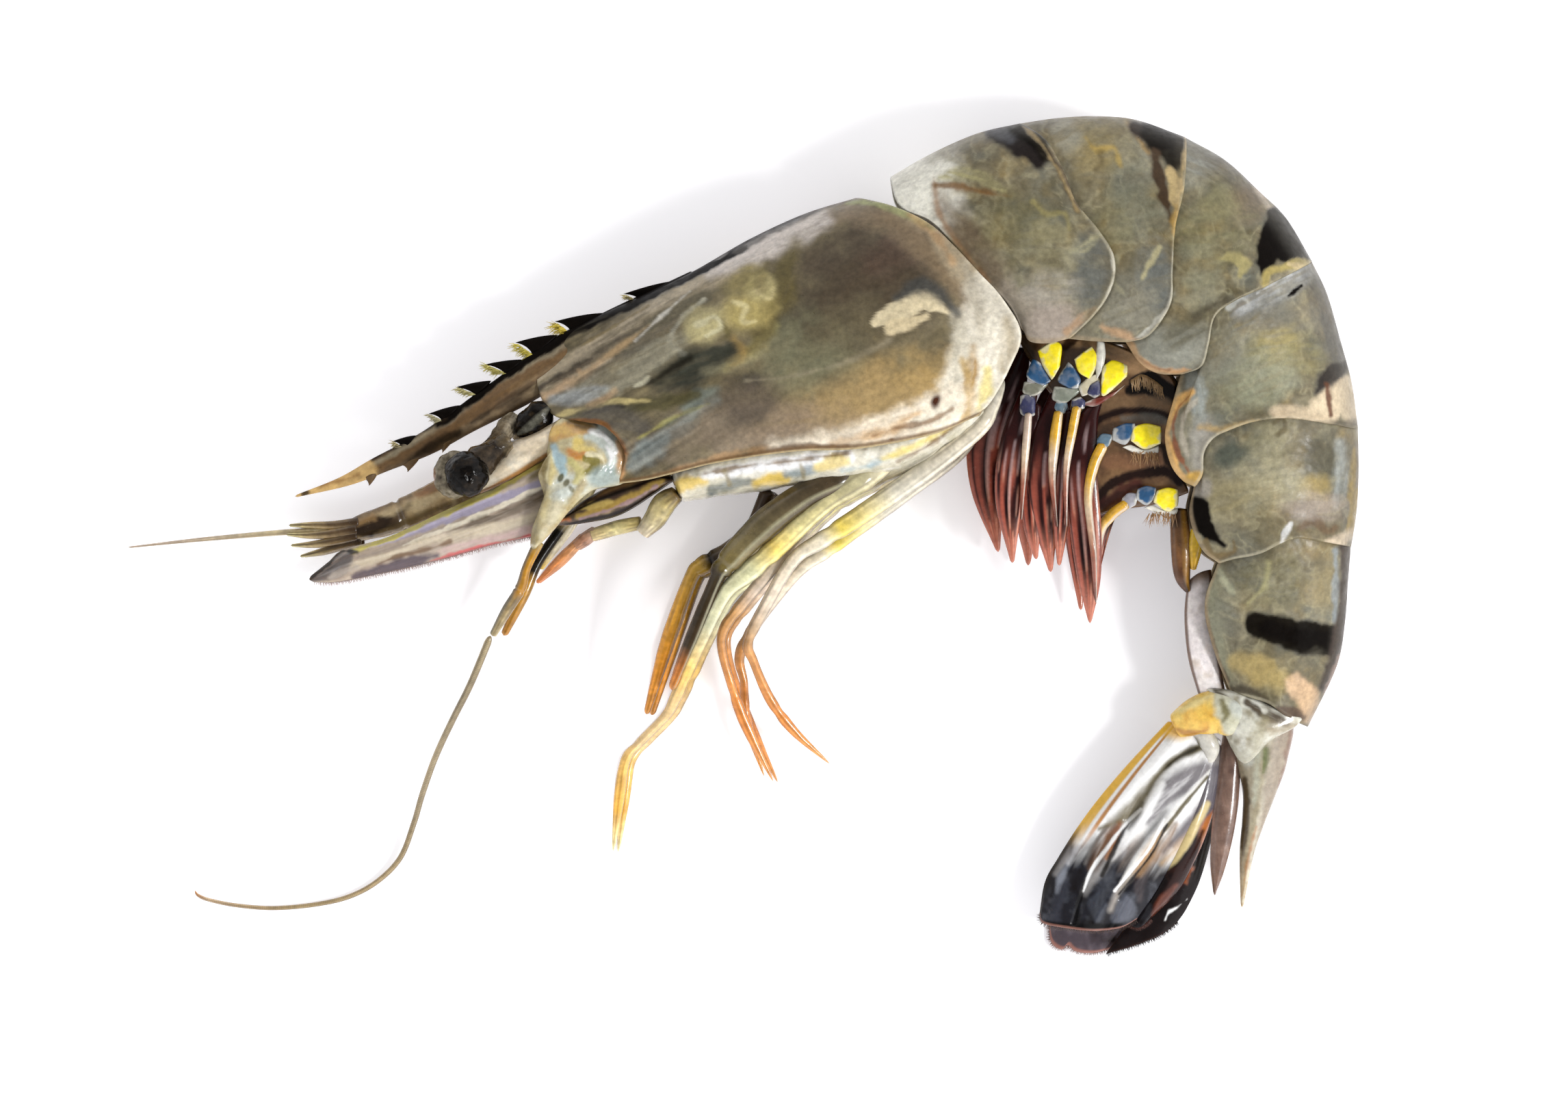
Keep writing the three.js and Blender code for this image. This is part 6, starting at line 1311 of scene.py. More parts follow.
SCALE = {
    "front": [(-25.1, 11.1), (-25.1, 7.9), (-25.8, 4.8), (-26.7, 2.3)],
    "rear": [(-51.6, -2.2), (-51.7, -2.6), (-51.3, -2.9)],
    "belly": [(-30.0, 8.2), (-33.8, 6.4), (-37.6, 4.6), (-40.7, 3.1), (-43.8, 1.8), (-48.1, 0.6), (-49.7, -0.7)],
    "back": [(-31.9, 1.2), (-35.7, 0.1), (-39.5, -0.9), (-42.6, -1.6), (-46.3, -2.4), (-49.1, -2.9)],
}
SCALE_MARKS = [
    ([(-25.6, 8.1), (-30.0, 6.5), (-33.8, 5.2), (-37.6, 3.7), (-41.5, 2.2), (-44.3, 1.0)], (1.2, 1.1, 1.1, 1.0, 0.9, 0.4), rgb(172, 164, 184), 0.97, 0.2),
    ([(-26.2, 7.5), (-30.0, 5.8), (-33.8, 4.1), (-37.6, 2.6), (-41.5, 1.1)], (0.5, 0.6, 0.6, 0.5, 0.3), rgb(250, 240, 216), 0.97, 0.12),
    ([(-25.9, 6.8), (-28.1, 5.5), (-31.0, 4.3), (-33.8, 3.4), (-36.7, 2.4)], (1.5, 1.3, 1.0, 0.8, 0.4), rgb(92, 76, 56), 0.95, 0.3, 0.3),
    ([(-26.2, 4.6), (-28.1, 3.9), (-31.9, 2.9), (-35.7, 2.1), (-39.5, 1.3), (-43.4, -0.1), (-47.2, -1.2)], (1.2, 1.2, 1.1, 1.1, 1.1, 1.0, 0.6), rgb(208, 194, 168), 0.9, 0.3, 0.3),
    ([(-26.7, 3.3), (-30.4, 2.1), (-33.8, 1.3), (-37.6, 0.4)], (1.0, 0.9, 0.8, 0.4), rgb(198, 170, 164), 0.85, 0.3, 0.4),
    ([(-36.4, 1.5), (-39.5, 0.5), (-42.2, -0.1), (-44.3, -1.0)], (0.3, 0.5, 0.5, 0.3), rgb(124, 98, 74), 0.9, 0.2),
    ([(-37.9, 0.0), (-40.9, -0.8), (-43.9, -1.6), (-46.8, -2.4)], (0.7, 1.3, 1.3, 0.8), rgb(80, 66, 76), 0.95, 0.3),
    ([(-27.1, 2.0), (-31.9, 1.1), (-35.7, 0.1), (-38.6, -0.6)], (0.5, 0.5, 0.5, 0.3), rgb(206, 90, 90), 0.9, 0.15),
    ([(-25.3, 11.1), (-30.0, 8.2), (-33.8, 6.2), (-37.6, 4.5), (-40.7, 3.0), (-43.8, 1.6), (-47.2, 0.4)], (1.6, 1.2, 1.1, 1.1, 1.0, 0.9, 0.5), rgb(190, 178, 92), 1.0, 0.15),
    ([(-25.5, 11.1), (-30.0, 8.3), (-33.8, 6.5), (-37.9, 4.6)], (0.35, 0.4, 0.4, 0.2), rgb(88, 76, 36), 0.9, 0.12),
    ([(-25.1, 10.8), (-26.7, 9.2), (-28.2, 8.1)], (1.4, 1.2, 0.3), rgb(120, 104, 54), 0.8, 0.3),
    ([(-47.2, 0.4), (-48.4, -0.8), (-50.1, -1.9), (-51.4, -2.6)], (0.5, 2.6, 2.2, 0.8), rgb(98, 92, 90), 0.95, 0.3, 0.2),
    ([(-46.6, 0.4), (-48.4, 0.4), (-49.7, -0.8), (-51.6, -2.4)], (0.4, 0.5, 0.5, 0.5), rgb(48, 46, 44), 0.95, 0.15),
    ([(-46.6, -1.3), (-48.1, -1.8), (-49.5, -2.5)], (0.3, 0.6, 0.3), rgb(186, 176, 164), 0.7, 0.25),
]


def paint_scale(x, y, u, v):
    colour = speckled(x, y, rgb(184, 168, 150), (rgb(160, 144, 132), 2.0, 1.0))
    colour = colour * (1 + 0.25 * streaks(x, y, 20, 0.35, 71, 14.0))[..., None]
    return 1.08 * lay(colour, x, y, SCALE_MARKS)


def scale_relief(x, y, u, v):
    rib = 0.3 * np.exp(-(((v - 0.1) / 0.06) ** 2)) + 0.18 * np.exp(-(((v - 0.42) / 0.08) ** 2))
    return (rib + 0.05 * streaks(x, y, 20, 0.5, 72, 14.0)) * ease(np.minimum(v, 1 - v), 0, 0.06) * (1 - ease(u, 0.9, 1))


def add_scales():
    for side, height in {"left": (12.5, 13.4, 14.0), "right": (5.6, 4.3, 3.2)}.items():
        skin = Skin()
        leaf(skin, SCALE, height, (1.0, 0.7, 0.45, 0.25), paint_scale, 200, 120, scale_relief, (0.5, 0.7, 0.1), (0.8, 0.4, 0.0))
        under = [(-27.1, 2.2), *SCALE["back"], (-51.3, -2.9)]
        fringe(skin, under[::-1], 260, 0.5, rgb(176, 140, 132), height[::-1], thickness=0.035, droop=0.3)
        skin.build(f"feeler_scale_{side}", SATIN, "scale", f"antennal_scale_{side}")


ANTENNULE = [
    (-25.1, 12.2, 10.9, 1.5, 1.0), (-29.5, 10.2, 11.0, 2.3, 1.2), (-33.4, 8.1, 11.0, 2.3, 1.2), (-37.6, 6.3, 11.1, 2.0, 1.2),
    (-41.7, 4.5, 11.2, 1.7, 1.0), (-45.4, 3.3, 11.4, 1.5, 0.9), (-48.1, 2.4, 11.6, 1.1, 0.7),
]
TWIGS = [  # the loose lobes at an antennule's end
    [(-46.4, 3.6, 11.9), (-49.2, 3.3, 12.0), (-51.8, 3.3, 12.0), (-54.1, 3.3, 11.8)],
    [(-46.6, 2.9, 12.0), (-49.5, 2.4, 12.2), (-51.9, 2.2, 12.2), (-54.4, 2.3, 11.9)],
    [(-46.6, 2.2, 11.8), (-49.2, 1.6, 12.0), (-51.6, 1.2, 12.0), (-53.9, 1.1, 11.7)],
    [(-46.2, 1.6, 11.5), (-48.4, 1.1, 11.6), (-50.7, 0.4, 11.6), (-52.9, -0.1, 11.4)],
]
TWIG_WIDTHS = (0.6, 0.5, 0.38, 0.14)
FEELER_TIP = [(-48.4, 2.7, 11.9, 0.4), (-53.6, 2.6, 11.4, 0.34), (-63.4, 1.8, 8.0, 0.24), (-72.1, 0.9, 4.6, 0.1)]
ANTENNULE_MARKS = [
    ([(-25.1, 13.3), (-28.2, 12.2), (-30.8, 10.5), (-32.2, 8.5)], (2.0, 3.2, 3.4, 2.0), rgb(212, 202, 190), 0.9, 0.5, 0.25),
    ([(-25.5, 12.9), (-28.3, 11.5), (-30.4, 9.6)], (0.4, 0.6, 0.3), rgb(160, 144, 132), 0.7, 0.25, 0.4),
    ([(-24.9, 12.6), (-26.2, 10.8), (-28.9, 9.2), (-31.7, 7.7), (-33.8, 6.8)], (0.5, 0.7, 0.7, 0.6, 0.3), rgb(186, 126, 58), 0.9, 0.2),
    ([(-25.5, 11.2), (-28.2, 8.8), (-31.6, 7.0)], (1.0, 1.2, 0.6), rgb(206, 184, 140), 0.8, 0.3),
    ([(-36.4, 8.1), (-38.4, 7.3), (-40.6, 6.1)], (1.0, 1.6, 0.6), rgb(148, 98, 46), 0.85, 0.35),
    ([(-37.5, 6.8), (-40.5, 5.5), (-43.5, 4.5)], (1.0, 1.5, 1.0), rgb(196, 176, 136), 0.85, 0.35, 0.3),
    ([(-40.9, 6.5), (-43.5, 5.5), (-46.2, 4.5)], (0.4, 0.6, 0.3), rgb(104, 78, 44), 0.8, 0.2, 0.3),
    ([(-37.9, 5.1), (-40.9, 3.8), (-44.2, 2.5)], (0.6, 0.9, 0.6), rgb(120, 98, 58), 0.8, 0.3),
    ([(-43.0, 3.8), (-45.4, 3.1), (-47.5, 2.5)], (1.0, 2.2, 1.4), rgb(40, 26, 16), 0.97, 0.3),
    ([(-40.9, 5.5), (-41.9, 4.6), (-42.6, 3.4)], (0.7, 1.1, 0.6), rgb(70, 52, 32), 0.9, 0.35),
    ([(-46.9, 4.0), (-48.0, 3.0), (-48.4, 1.9)], (0.5, 0.9, 0.6), rgb(48, 32, 20), 0.9, 0.25),
    ([(-34.2, 8.4), (-35.5, 7.5), (-37.2, 6.9)], (0.4, 0.6, 0.3), rgb(84, 62, 36), 0.85, 0.2),
    ([(-44.9, 4.2), (-46.6, 3.6), (-48.4, 3.3)], (0.6, 0.8, 0.4), rgb(160, 126, 78), 0.8, 0.25),
]


def below(path, drop):
    return [(x, y, z - drop, *rest) for x, y, z, *rest in path]


BASAL_PLATE = {
    "front": [(-24.4, 11.7), (-24.3, 13.2), (-24.6, 14.8)],
    "rear": [(-33.1, 6.8), (-33.4, 7.5), (-33.0, 8.2)],
    "belly": [(-26.6, 10.3), (-29.0, 8.7), (-31.3, 7.5)],
    "back": [(-27.4, 13.3), (-29.8, 12.3), (-31.5, 10.7)],
}


def paint_basal_plate(x, y, u, v):
    colour = speckled(x, y, rgb(250, 232, 200), (rgb(214, 196, 170), 1.4, 1.0), (rgb(255, 250, 232), 1.2, 0.8))
    colour = colour * (1 + 0.25 * streaks(x, y, 28, 0.4, 74))[..., None]
    colour = mix(colour, rgb(196, 136, 66), 0.9 * (1 - ease(v, 0.1, 0.2)))
    return mix(colour, rgb(150, 130, 100), 0.6 * ease(v, 0.86, 0.96))


def add_antennules():
    brown, tan, dark = rgb(140, 116, 78), rgb(186, 164, 116), rgb(66, 46, 28)

    def paint(s, angle, x, y):
        colour = speckled(x, y, rgb(160, 134, 92), (rgb(206, 186, 142), 1.2, 1.2), (rgb(104, 78, 44), 1.2, 1.3))
        colour = colour * (1 + 0.45 * streaks(x, y, 22, 0.35, 73, 12.0))[..., None]
        return lay(colour, x, y, ANTENNULE_MARKS)

    for side, drop in {"left": 0.0, "right": 9.5}.items():
        skin = Skin()
        tube(skin, below(ANTENNULE, drop), paint, 40, 160, (0.47, 0.74), lumps=0.05)
        for points in TWIGS:
            path = [(*p, w, w * 0.8) for p, w in zip(below(points, drop), TWIG_WIDTHS)]
            tube(skin, path, stripes([(0, dark), (0.4, brown), (0.7, tan), (1, rgb(206, 196, 140))], dark, 100, 30, 0.7, 0.4), 16, 50)
        if side == "left":
            leaf(skin, BASAL_PLATE, (13.2, 12.8, 12.2), (0.8, 1.0, 0.6), paint_basal_plate, 90, 50, None, (0.5, 0.7, 0.4))
            path = [(x, y, z, r, r) for x, y, z, r in FEELER_TIP]
            looks = [(0, tan), (0.3, rgb(196, 180, 140)), (1, rgb(216, 196, 180))]
            tube(skin, path, stripes(looks, rgb(150, 130, 88), 60, 30), 12, 160)
        skin.build(f"small_feeler_{side}", FLESH, "feeler", f"antennule_{side}")


ANTENNA_PLATE = {
    "front": [(-25.9, 12.0), (-25.1, 14.2), (-22.8, 15.6), (-19.3, 15.3), (-17.1, 13.8), (-16.2, 11.4)],
    "rear": [(-27.7, 1.3), (-27.1, 1.1), (-26.4, 1.4)],
    "belly": [(-25.9, 10.3), (-26.8, 8.9), (-26.2, 6.5), (-26.9, 4.5), (-27.5, 2.9)],
    "back": [(-16.5, 9.2), (-17.8, 7.8), (-20.6, 7.2), (-22.2, 6.1), (-23.8, 4.4), (-25.0, 2.9)],
}
PLATE_MARKS = [
    ([(-25.1, 12.3), (-25.8, 9.9), (-25.9, 7.5), (-26.7, 4.8), (-27.1, 1.6)], (1.0, 1.2, 1.0, 0.8, 0.8), rgb(164, 148, 104), 0.8, 0.4),
    ([(-24.4, 6.5), (-25.3, 4.5), (-26.2, 2.4)], (1.6, 1.4, 0.9), rgb(212, 202, 168), 0.85, 0.4),
    ((-23.2, 7.6), (4.2, 3.0), 20, rgb(212, 220, 212), 0.85, 0.3),
    ([(-22.5, 13.3), (-20.6, 13.3), (-19.1, 12.2), (-18.7, 10.3), (-19.6, 9.2)], (1.2, 1.8, 2.0, 1.6, 1.0), rgb(218, 226, 216), 0.97, 0.35),
    ([(-19.3, 11.8), (-18.8, 10.8), (-19.1, 9.9)], (0.4, 0.6, 0.3), rgb(252, 252, 250), 0.95, 0.15),
    ([(-18.1, 12.4), (-17.6, 11.1), (-18.0, 9.2)], (0.6, 0.9, 0.6), rgb(206, 158, 108), 0.85, 0.25),
    ([(-25.1, 13.2), (-23.2, 13.8), (-21.3, 13.9)], (1.6, 1.8, 0.7), rgb(212, 164, 92), 0.9, 0.35),
    ([(-22.5, 12.3), (-22.2, 11.4), (-21.0, 11.2)], (1.3, 1.9, 1.0), rgb(240, 214, 124), 0.95, 0.3),
    ([(-23.4, 11.4), (-22.5, 10.8), (-21.8, 11.1)], (0.6, 1.1, 0.5), rgb(206, 130, 52), 0.85, 0.3),
    ([(-21.6, 10.5), (-20.6, 10.3), (-20.6, 9.4), (-21.8, 9.0)], (0.6, 1.2, 1.2, 0.5), rgb(132, 122, 54), 0.95, 0.2),
    ([(-21.4, 11.1), (-20.1, 10.9), (-19.6, 9.9), (-20.4, 8.7)], (0.3, 0.5, 0.5, 0.3), rgb(246, 236, 196), 0.85, 0.15),
    ([(-23.1, 10.2), (-22.3, 9.2), (-22.6, 8.1)], (0.9, 1.2, 0.6), rgb(206, 196, 130), 0.85, 0.25),
    ((-19.5, 8.5), (3.2, 2.2), 10, rgb(168, 184, 180), 0.9),
    ([(-25.1, 11.7), (-24.7, 10.5), (-24.0, 9.2)], (1.0, 1.7, 1.0), rgb(172, 198, 204), 0.95, 0.3),
    ([(-25.5, 11.2), (-25.2, 9.6), (-25.5, 7.9)], (0.5, 0.8, 0.5), rgb(226, 210, 150), 0.85, 0.25),
    ((-24.3, 8.5), (0.5, 0.9), -30, rgb(84, 84, 54), 0.9),
    ((-23.7, 7.9), (0.5, 0.8), -30, rgb(96, 92, 62), 0.85),
    ((-23.1, 7.2), (0.9, 0.5), -50, rgb(110, 106, 74), 0.8),
    ([(-21.8, 7.9), (-22.5, 6.9), (-23.6, 5.2)], (0.6, 0.7, 0.5), rgb(180, 160, 104), 0.8, 0.25),
    ([(-25.9, 12.9), (-24.6, 13.8), (-23.4, 13.3)], (0.6, 1.0, 0.5), rgb(232, 196, 116), 0.85, 0.3, 0.3),
    ([(-23.4, 14.7), (-22.2, 14.5), (-20.8, 14.1)], (0.5, 0.9, 0.6), rgb(96, 76, 46), 0.85, 0.3),
    ([(-21.0, 13.5), (-19.3, 12.8), (-18.4, 11.4)], (0.3, 0.5, 0.3), rgb(250, 250, 246), 0.9, 0.2),
    ([(-25.9, 12.0), (-25.5, 10.8), (-25.9, 8.4)], (0.4, 0.6, 0.3), rgb(236, 224, 176), 0.85, 0.25),
]


def paint_plate(x, y, u, v):
    colour = speckled(x, y, rgb(208, 194, 148), (rgb(228, 220, 186), 1.0, 1.1), (rgb(186, 158, 96), 1.2, 1.0))
    return lay(colour, x, y, PLATE_MARKS)


def plate_relief(x, y, u, v):
    swirl = 0.0
    for points, widths, *_ in (mark for mark in PLATE_MARKS if isinstance(mark[0], list)):
        swirl = swirl + 0.16 * np.exp(-((distance(x, y, points)[0] / widths[1] * 1.8) ** 2))
    return (swirl + 0.1 * fractal(x, y, 0.9, 75)) * ease(np.minimum(v, 1 - v), 0, 0.1)


FEELER_ROD = [(-26.7, 1.6, 13.2, 0.6, 0.6), (-28.1, -1.3, 12.8, 0.5, 0.5), (-28.8, -3.6, 12.2, 0.6, 0.6), (-30.3, -6.0, 11.6, 0.6, 0.6), (-31.9, -8.8, 11.0, 0.4, 0.4)]
RIGHT_ANTENNA = [
    (-21.6, 9.2, 5.0, 1.9, 1.6), (-23.1, 5.4, 4.8, 1.1, 1.0), (-24.6, 2.9, 5.0, 0.6, 0.6), (-27.1, -0.8, 5.4, 0.6, 0.6),
    (-28.6, -4.2, 5.6, 0.7, 0.7), (-30.8, -8.8, 5.6, 0.4, 0.4),
]
PALE_ROD = [(-22.5, 4.8, 4.4, 0.6, 0.6), (-24.0, 2.5, 4.6, 0.6, 0.6), (-25.5, 0.4, 4.8, 0.5, 0.5), (-26.8, -1.5, 5.0, 0.3, 0.3)]
FLAGELLUM = [
    (-32.1, -8.8, 11.0), (-34.3, -14.0, 9.0), (-36.4, -18.1, 6.6), (-38.3, -22.1, 4.4), (-39.8, -26.2, 2.6), (-40.8, -29.5, 1.4),
    (-42.3, -33.3, 0.8), (-44.8, -35.9, 0.5), (-47.9, -37.6, 0.45), (-51.7, -38.5, 0.4), (-56.3, -38.9, 0.4), (-60.4, -38.6, 0.4),
    (-63.4, -38.0, 0.4), (-64.6, -37.5, 0.45), (-65.0, -37.0, 0.5),
]


def add_antennae():
    gold = [(0, rgb(170, 150, 96)), (0.15, rgb(192, 138, 34)), (0.5, rgb(186, 132, 40)), (0.6, rgb(150, 126, 84)), (1, rgb(200, 182, 136))]
    black = [
        (0, rgb(206, 196, 150)), (0.3, rgb(180, 164, 120)), (0.36, rgb(22, 20, 14)), (0.62, rgb(34, 28, 20)),
        (0.68, rgb(196, 146, 56)), (1, rgb(190, 130, 40)),
    ]
    skin = Skin()
    leaf(skin, ANTENNA_PLATE, (13.7, 14.5, 14.2, 13.4), (0.6, 1.7, 2.0, 1.5), paint_plate, 150, 120, plate_relief, (0.1, 0.5, 0.3))
    tube(skin, FEELER_ROD, stripes(gold, rgb(110, 108, 92), 160, 50, 0.8, 0.2), 20, 90, (0.5,))
    skin.build("long_feeler_left", FLESH, "feeler", "antenna_left")
    skin = Skin()
    tube(skin, RIGHT_ANTENNA, stripes(black, rgb(120, 84, 30), 180, 40, 0.5, 0.15), 28, 90)
    tube(skin, PALE_ROD, stripes([(0, rgb(226, 218, 190)), (0.7, rgb(232, 220, 186)), (1, rgb(226, 186, 60))]), 18, 50)
    skin.build("long_feeler_right", FLESH, "feeler", "antenna_right")

    radius = np.linspace(0.42, 0.17, len(FLAGELLUM))
    pale = [(0, rgb(190, 172, 132)), (0.4, rgb(176, 158, 124)), (0.8, rgb(190, 166, 120)), (0.97, rgb(214, 186, 150)), (1, rgb(206, 140, 84))]
    looks = stripes(pale, rgb(120, 100, 62), 20, 40, 0.7, 0.15)

    def annulated(s, angle, x, y):
        return looks(s, angle, x, y) * (0.86 + 0.14 * np.cos(s * 2 * math.pi * 260))[..., None]

    skin = Skin()
    tube(skin, [(*p, r, r) for p, r in zip(FLAGELLUM, radius)], annulated, 12, 1100)
    skin.build("antenna_whip", FLESH, "whip", "antenna_flagellum_left")


SECOND_MAXILLIPED = {
    "front": [(-12.4, 8.8), (-12.4, 8.2), (-12.8, 7.7)],
    "rear": [(-25.3, 4.2), (-25.6, 3.9), (-25.6, 3.5)],
    "belly": [(-13.9, 9.2), (-16.1, 8.5), (-18.1, 7.9), (-20.2, 7.0), (-22.2, 5.8), (-23.8, 4.6)],
    "back": [(-14.3, 6.7), (-16.6, 5.2), (-18.8, 4.2), (-21.8, 3.6), (-23.9, 3.3)],
}
SECOND_MAXILLIPED_MARKS = [
    ([(-13.2, 8.1), (-16.2, 6.6), (-19.2, 5.2), (-22.5, 4.3)], (0.5, 1.0, 1.1, 0.6), rgb(170, 140, 66), 0.95, 0.25),
    ([(-13.9, 7.5), (-16.6, 6.0), (-19.6, 4.8), (-22.2, 4.0)], (0.3, 0.45, 0.45, 0.3), rgb(150, 118, 126), 0.85, 0.15),
    ([(-18.8, 5.8), (-20.7, 5.4), (-22.5, 5.0)], (0.5, 0.8, 0.4), rgb(206, 178, 96), 0.85, 0.2),
    ([(-23.6, 4.0), (-24.6, 3.8), (-25.6, 3.6)], (0.6, 0.8, 0.6), rgb(230, 134, 62), 0.95, 0.25),
]
THIRD_MAXILLIPED = [  # the segments, each with its colours
    (
        [(-11.7, 6.8, 13.0, 0.9, 0.9), (-13.1, 5.7, 12.5, 1.25, 1.0), (-14.2, 4.0, 11.9, 1.15, 0.9), (-15.6, 2.4, 11.4, 0.8, 0.7)],
        [(0, rgb(120, 98, 60)), (0.3, rgb(196, 178, 116)), (0.7, rgb(214, 198, 150)), (1, rgb(236, 220, 190))],
    ),
    (
        [(-15.6, 3.6, 11.2, 0.7, 0.6), (-18.1, 3.1, 10.6, 0.8, 0.7), (-21.1, 2.2, 10.0, 0.7, 0.6)],
        [(0, rgb(196, 172, 100)), (0.5, rgb(226, 212, 150)), (1, rgb(222, 196, 140))],
    ),
    (
        [(-20.6, 2.7, 10.0, 0.6, 0.6), (-21.8, 1.8, 9.8, 0.7, 0.6), (-22.8, 1.0, 9.6, 0.55, 0.5)],
        [(0, rgb(214, 180, 150)), (0.6, rgb(186, 134, 104)), (1, rgb(206, 150, 110))],
    ),
    (
        [(-21.9, 2.1, 9.6, 0.5, 0.5), (-24.6, -0.6, 9.1, 0.6, 0.5), (-27.1, -3.0, 8.6, 0.2, 0.2)],
        [(0, rgb(228, 172, 120)), (0.5, rgb(226, 150, 88)), (1, rgb(222, 130, 66))],
    ),
]


def add_mouthparts():
    def paint(x, y, u, v):
        colour = speckled(x, y, rgb(74, 54, 40), (rgb(110, 90, 56), 1.2, 1.0))
        colour = lay(colour, x, y, SECOND_MAXILLIPED_MARKS)
        colour = mix(colour, rgb(20, 14, 12), 0.9 * ease(v, 0.82, 0.9) * (1 - ease(u, 0.85, 0.95)))
        colour = mix(colour, rgb(20, 14, 12), 0.9 * ease(v, 0.2, 0.28) * (1 - ease(v, 0.3, 0.4)))
        return mix(colour, rgb(150, 112, 68), 0.8 * (1 - ease(v, 0.12, 0.22)) * (1 - ease(u, 0.5, 0.7)))

    for side, drop in {"left": 0.0, "right": 8.6}.items():
        skin = Skin()
        leaf(skin, SECOND_MAXILLIPED, (12.4 - drop, 12.2 - drop, 11.8 - drop), (1.6, 1.8, 1.5, 0.5), paint, 110, 60, None, (0.3, 0.3))
        skin.build(f"jaw_limb_2_{side}", FLESH, "mouthpart", f"maxilliped_2_{side}")
        skin = Skin()
        for path, looks in THIRD_MAXILLIPED:
            tube(skin, below(path, drop), stripes(looks, rgb(150, 112, 70), 190, 30, 0.6, 0.4), 26, 60, lumps=0.06)
        skin.build(f"jaw_limb_3_{side}", FLESH, "leg", f"maxilliped_3_{side}")


# ---- chest and walking legs ----

CHEST = [
    (21.3, 17.4, 10.6, 2.2, 4.8), (17.1, 14.7, 10.6, 2.9, 6.2), (11.7, 12.2, 10.6, 3.1, 6.9), (6.1, 11.2, 10.6, 3.2, 6.9),
    (0.1, 10.7, 10.6, 3.2, 6.8), (-5.8, 9.6, 10.6, 3.0, 6.2), (-12.1, 7.9, 10.6, 2.2, 4.4),
]
CHEST_MARKS = [
    ([(-12.1, 7.2), (-10.7, 7.9), (-8.7, 8.1)], (1.6, 2.0, 1.0), rgb(240, 208, 108), 0.95, 0.35),
    ([(-7.9, 7.2), (-5.0, 7.9), (-3.1, 8.1)], (1.0, 1.2, 0.5), rgb(96, 108, 108), 0.9, 0.3, 0.2),
    ([(-8.7, 8.7), (-3.4, 9.6), (2.5, 10.3), (7.0, 10.8)], (1.0, 1.4, 1.5, 1.4), rgb(255, 255, 255), 0.95, 0.3, 0.1),
    ([(-3.1, 7.8), (-1.2, 8.4), (0.3, 8.4)], (0.9, 1.6, 0.8), rgb(240, 206, 100), 0.95, 0.3),
    ([(0.3, 8.8), (2.9, 9.3), (5.0, 9.6)], (0.6, 1.0, 0.5), rgb(140, 154, 158), 0.85, 0.3, 0.2),
    ([(3.8, 9.6), (5.4, 10.2), (6.8, 10.2)], (0.8, 1.8, 0.8), rgb(238, 214, 132), 0.9, 0.35),
    ([(6.3, 9.2), (9.3, 9.8), (12.0, 10.8)], (0.4, 0.7, 0.4), rgb(170, 196, 206), 0.85, 0.3, 0.2),
    ([(13.8, 12.9), (16.8, 14.2), (19.8, 15.9)], (0.8, 1.4, 0.9), rgb(196, 214, 222), 0.9, 0.3),
    ([(10.8, 10.5), (14.5, 12.0), (18.3, 14.2)], (0.6, 1.0, 0.6), rgb(240, 216, 110), 0.85, 0.3, 0.3),
    ([(12.3, 10.2), (16.1, 12.2), (19.3, 14.7)], (0.3, 0.5, 0.4), rgb(124, 92, 54), 0.85, 0.2, 0.3),
    ([(-10.9, 8.5), (-5.0, 9.6), (1.1, 10.3), (7.0, 11.2), (12.3, 12.4)], (0.4, 0.45, 0.3, 0.2, 0.1), rgb(128, 100, 56), 0.8, 0.2),
    ([(-6.5, 9.2), (-6.0, 7.8)], (0.3, 0.3), rgb(150, 136, 96), 0.7, 0.2),
    ([(1.8, 9.9), (2.2, 8.4)], (0.3, 0.3), rgb(150, 136, 96), 0.7, 0.2),
]


def add_chest():
    def paint(s, angle, x, y):
        colour = speckled(x, y, rgb(234, 228, 206), (rgb(255, 252, 240), 1.6, 1.0), (rgb(190, 184, 156), 1.4, 1.2))
        return 1.04 * lay(colour, x, y, CHEST_MARKS)

    skin = Skin()
    tube(skin, CHEST, paint, 80, 240, lumps=0.06)
    skin.build("breast", FLESH, "chest", "chest")


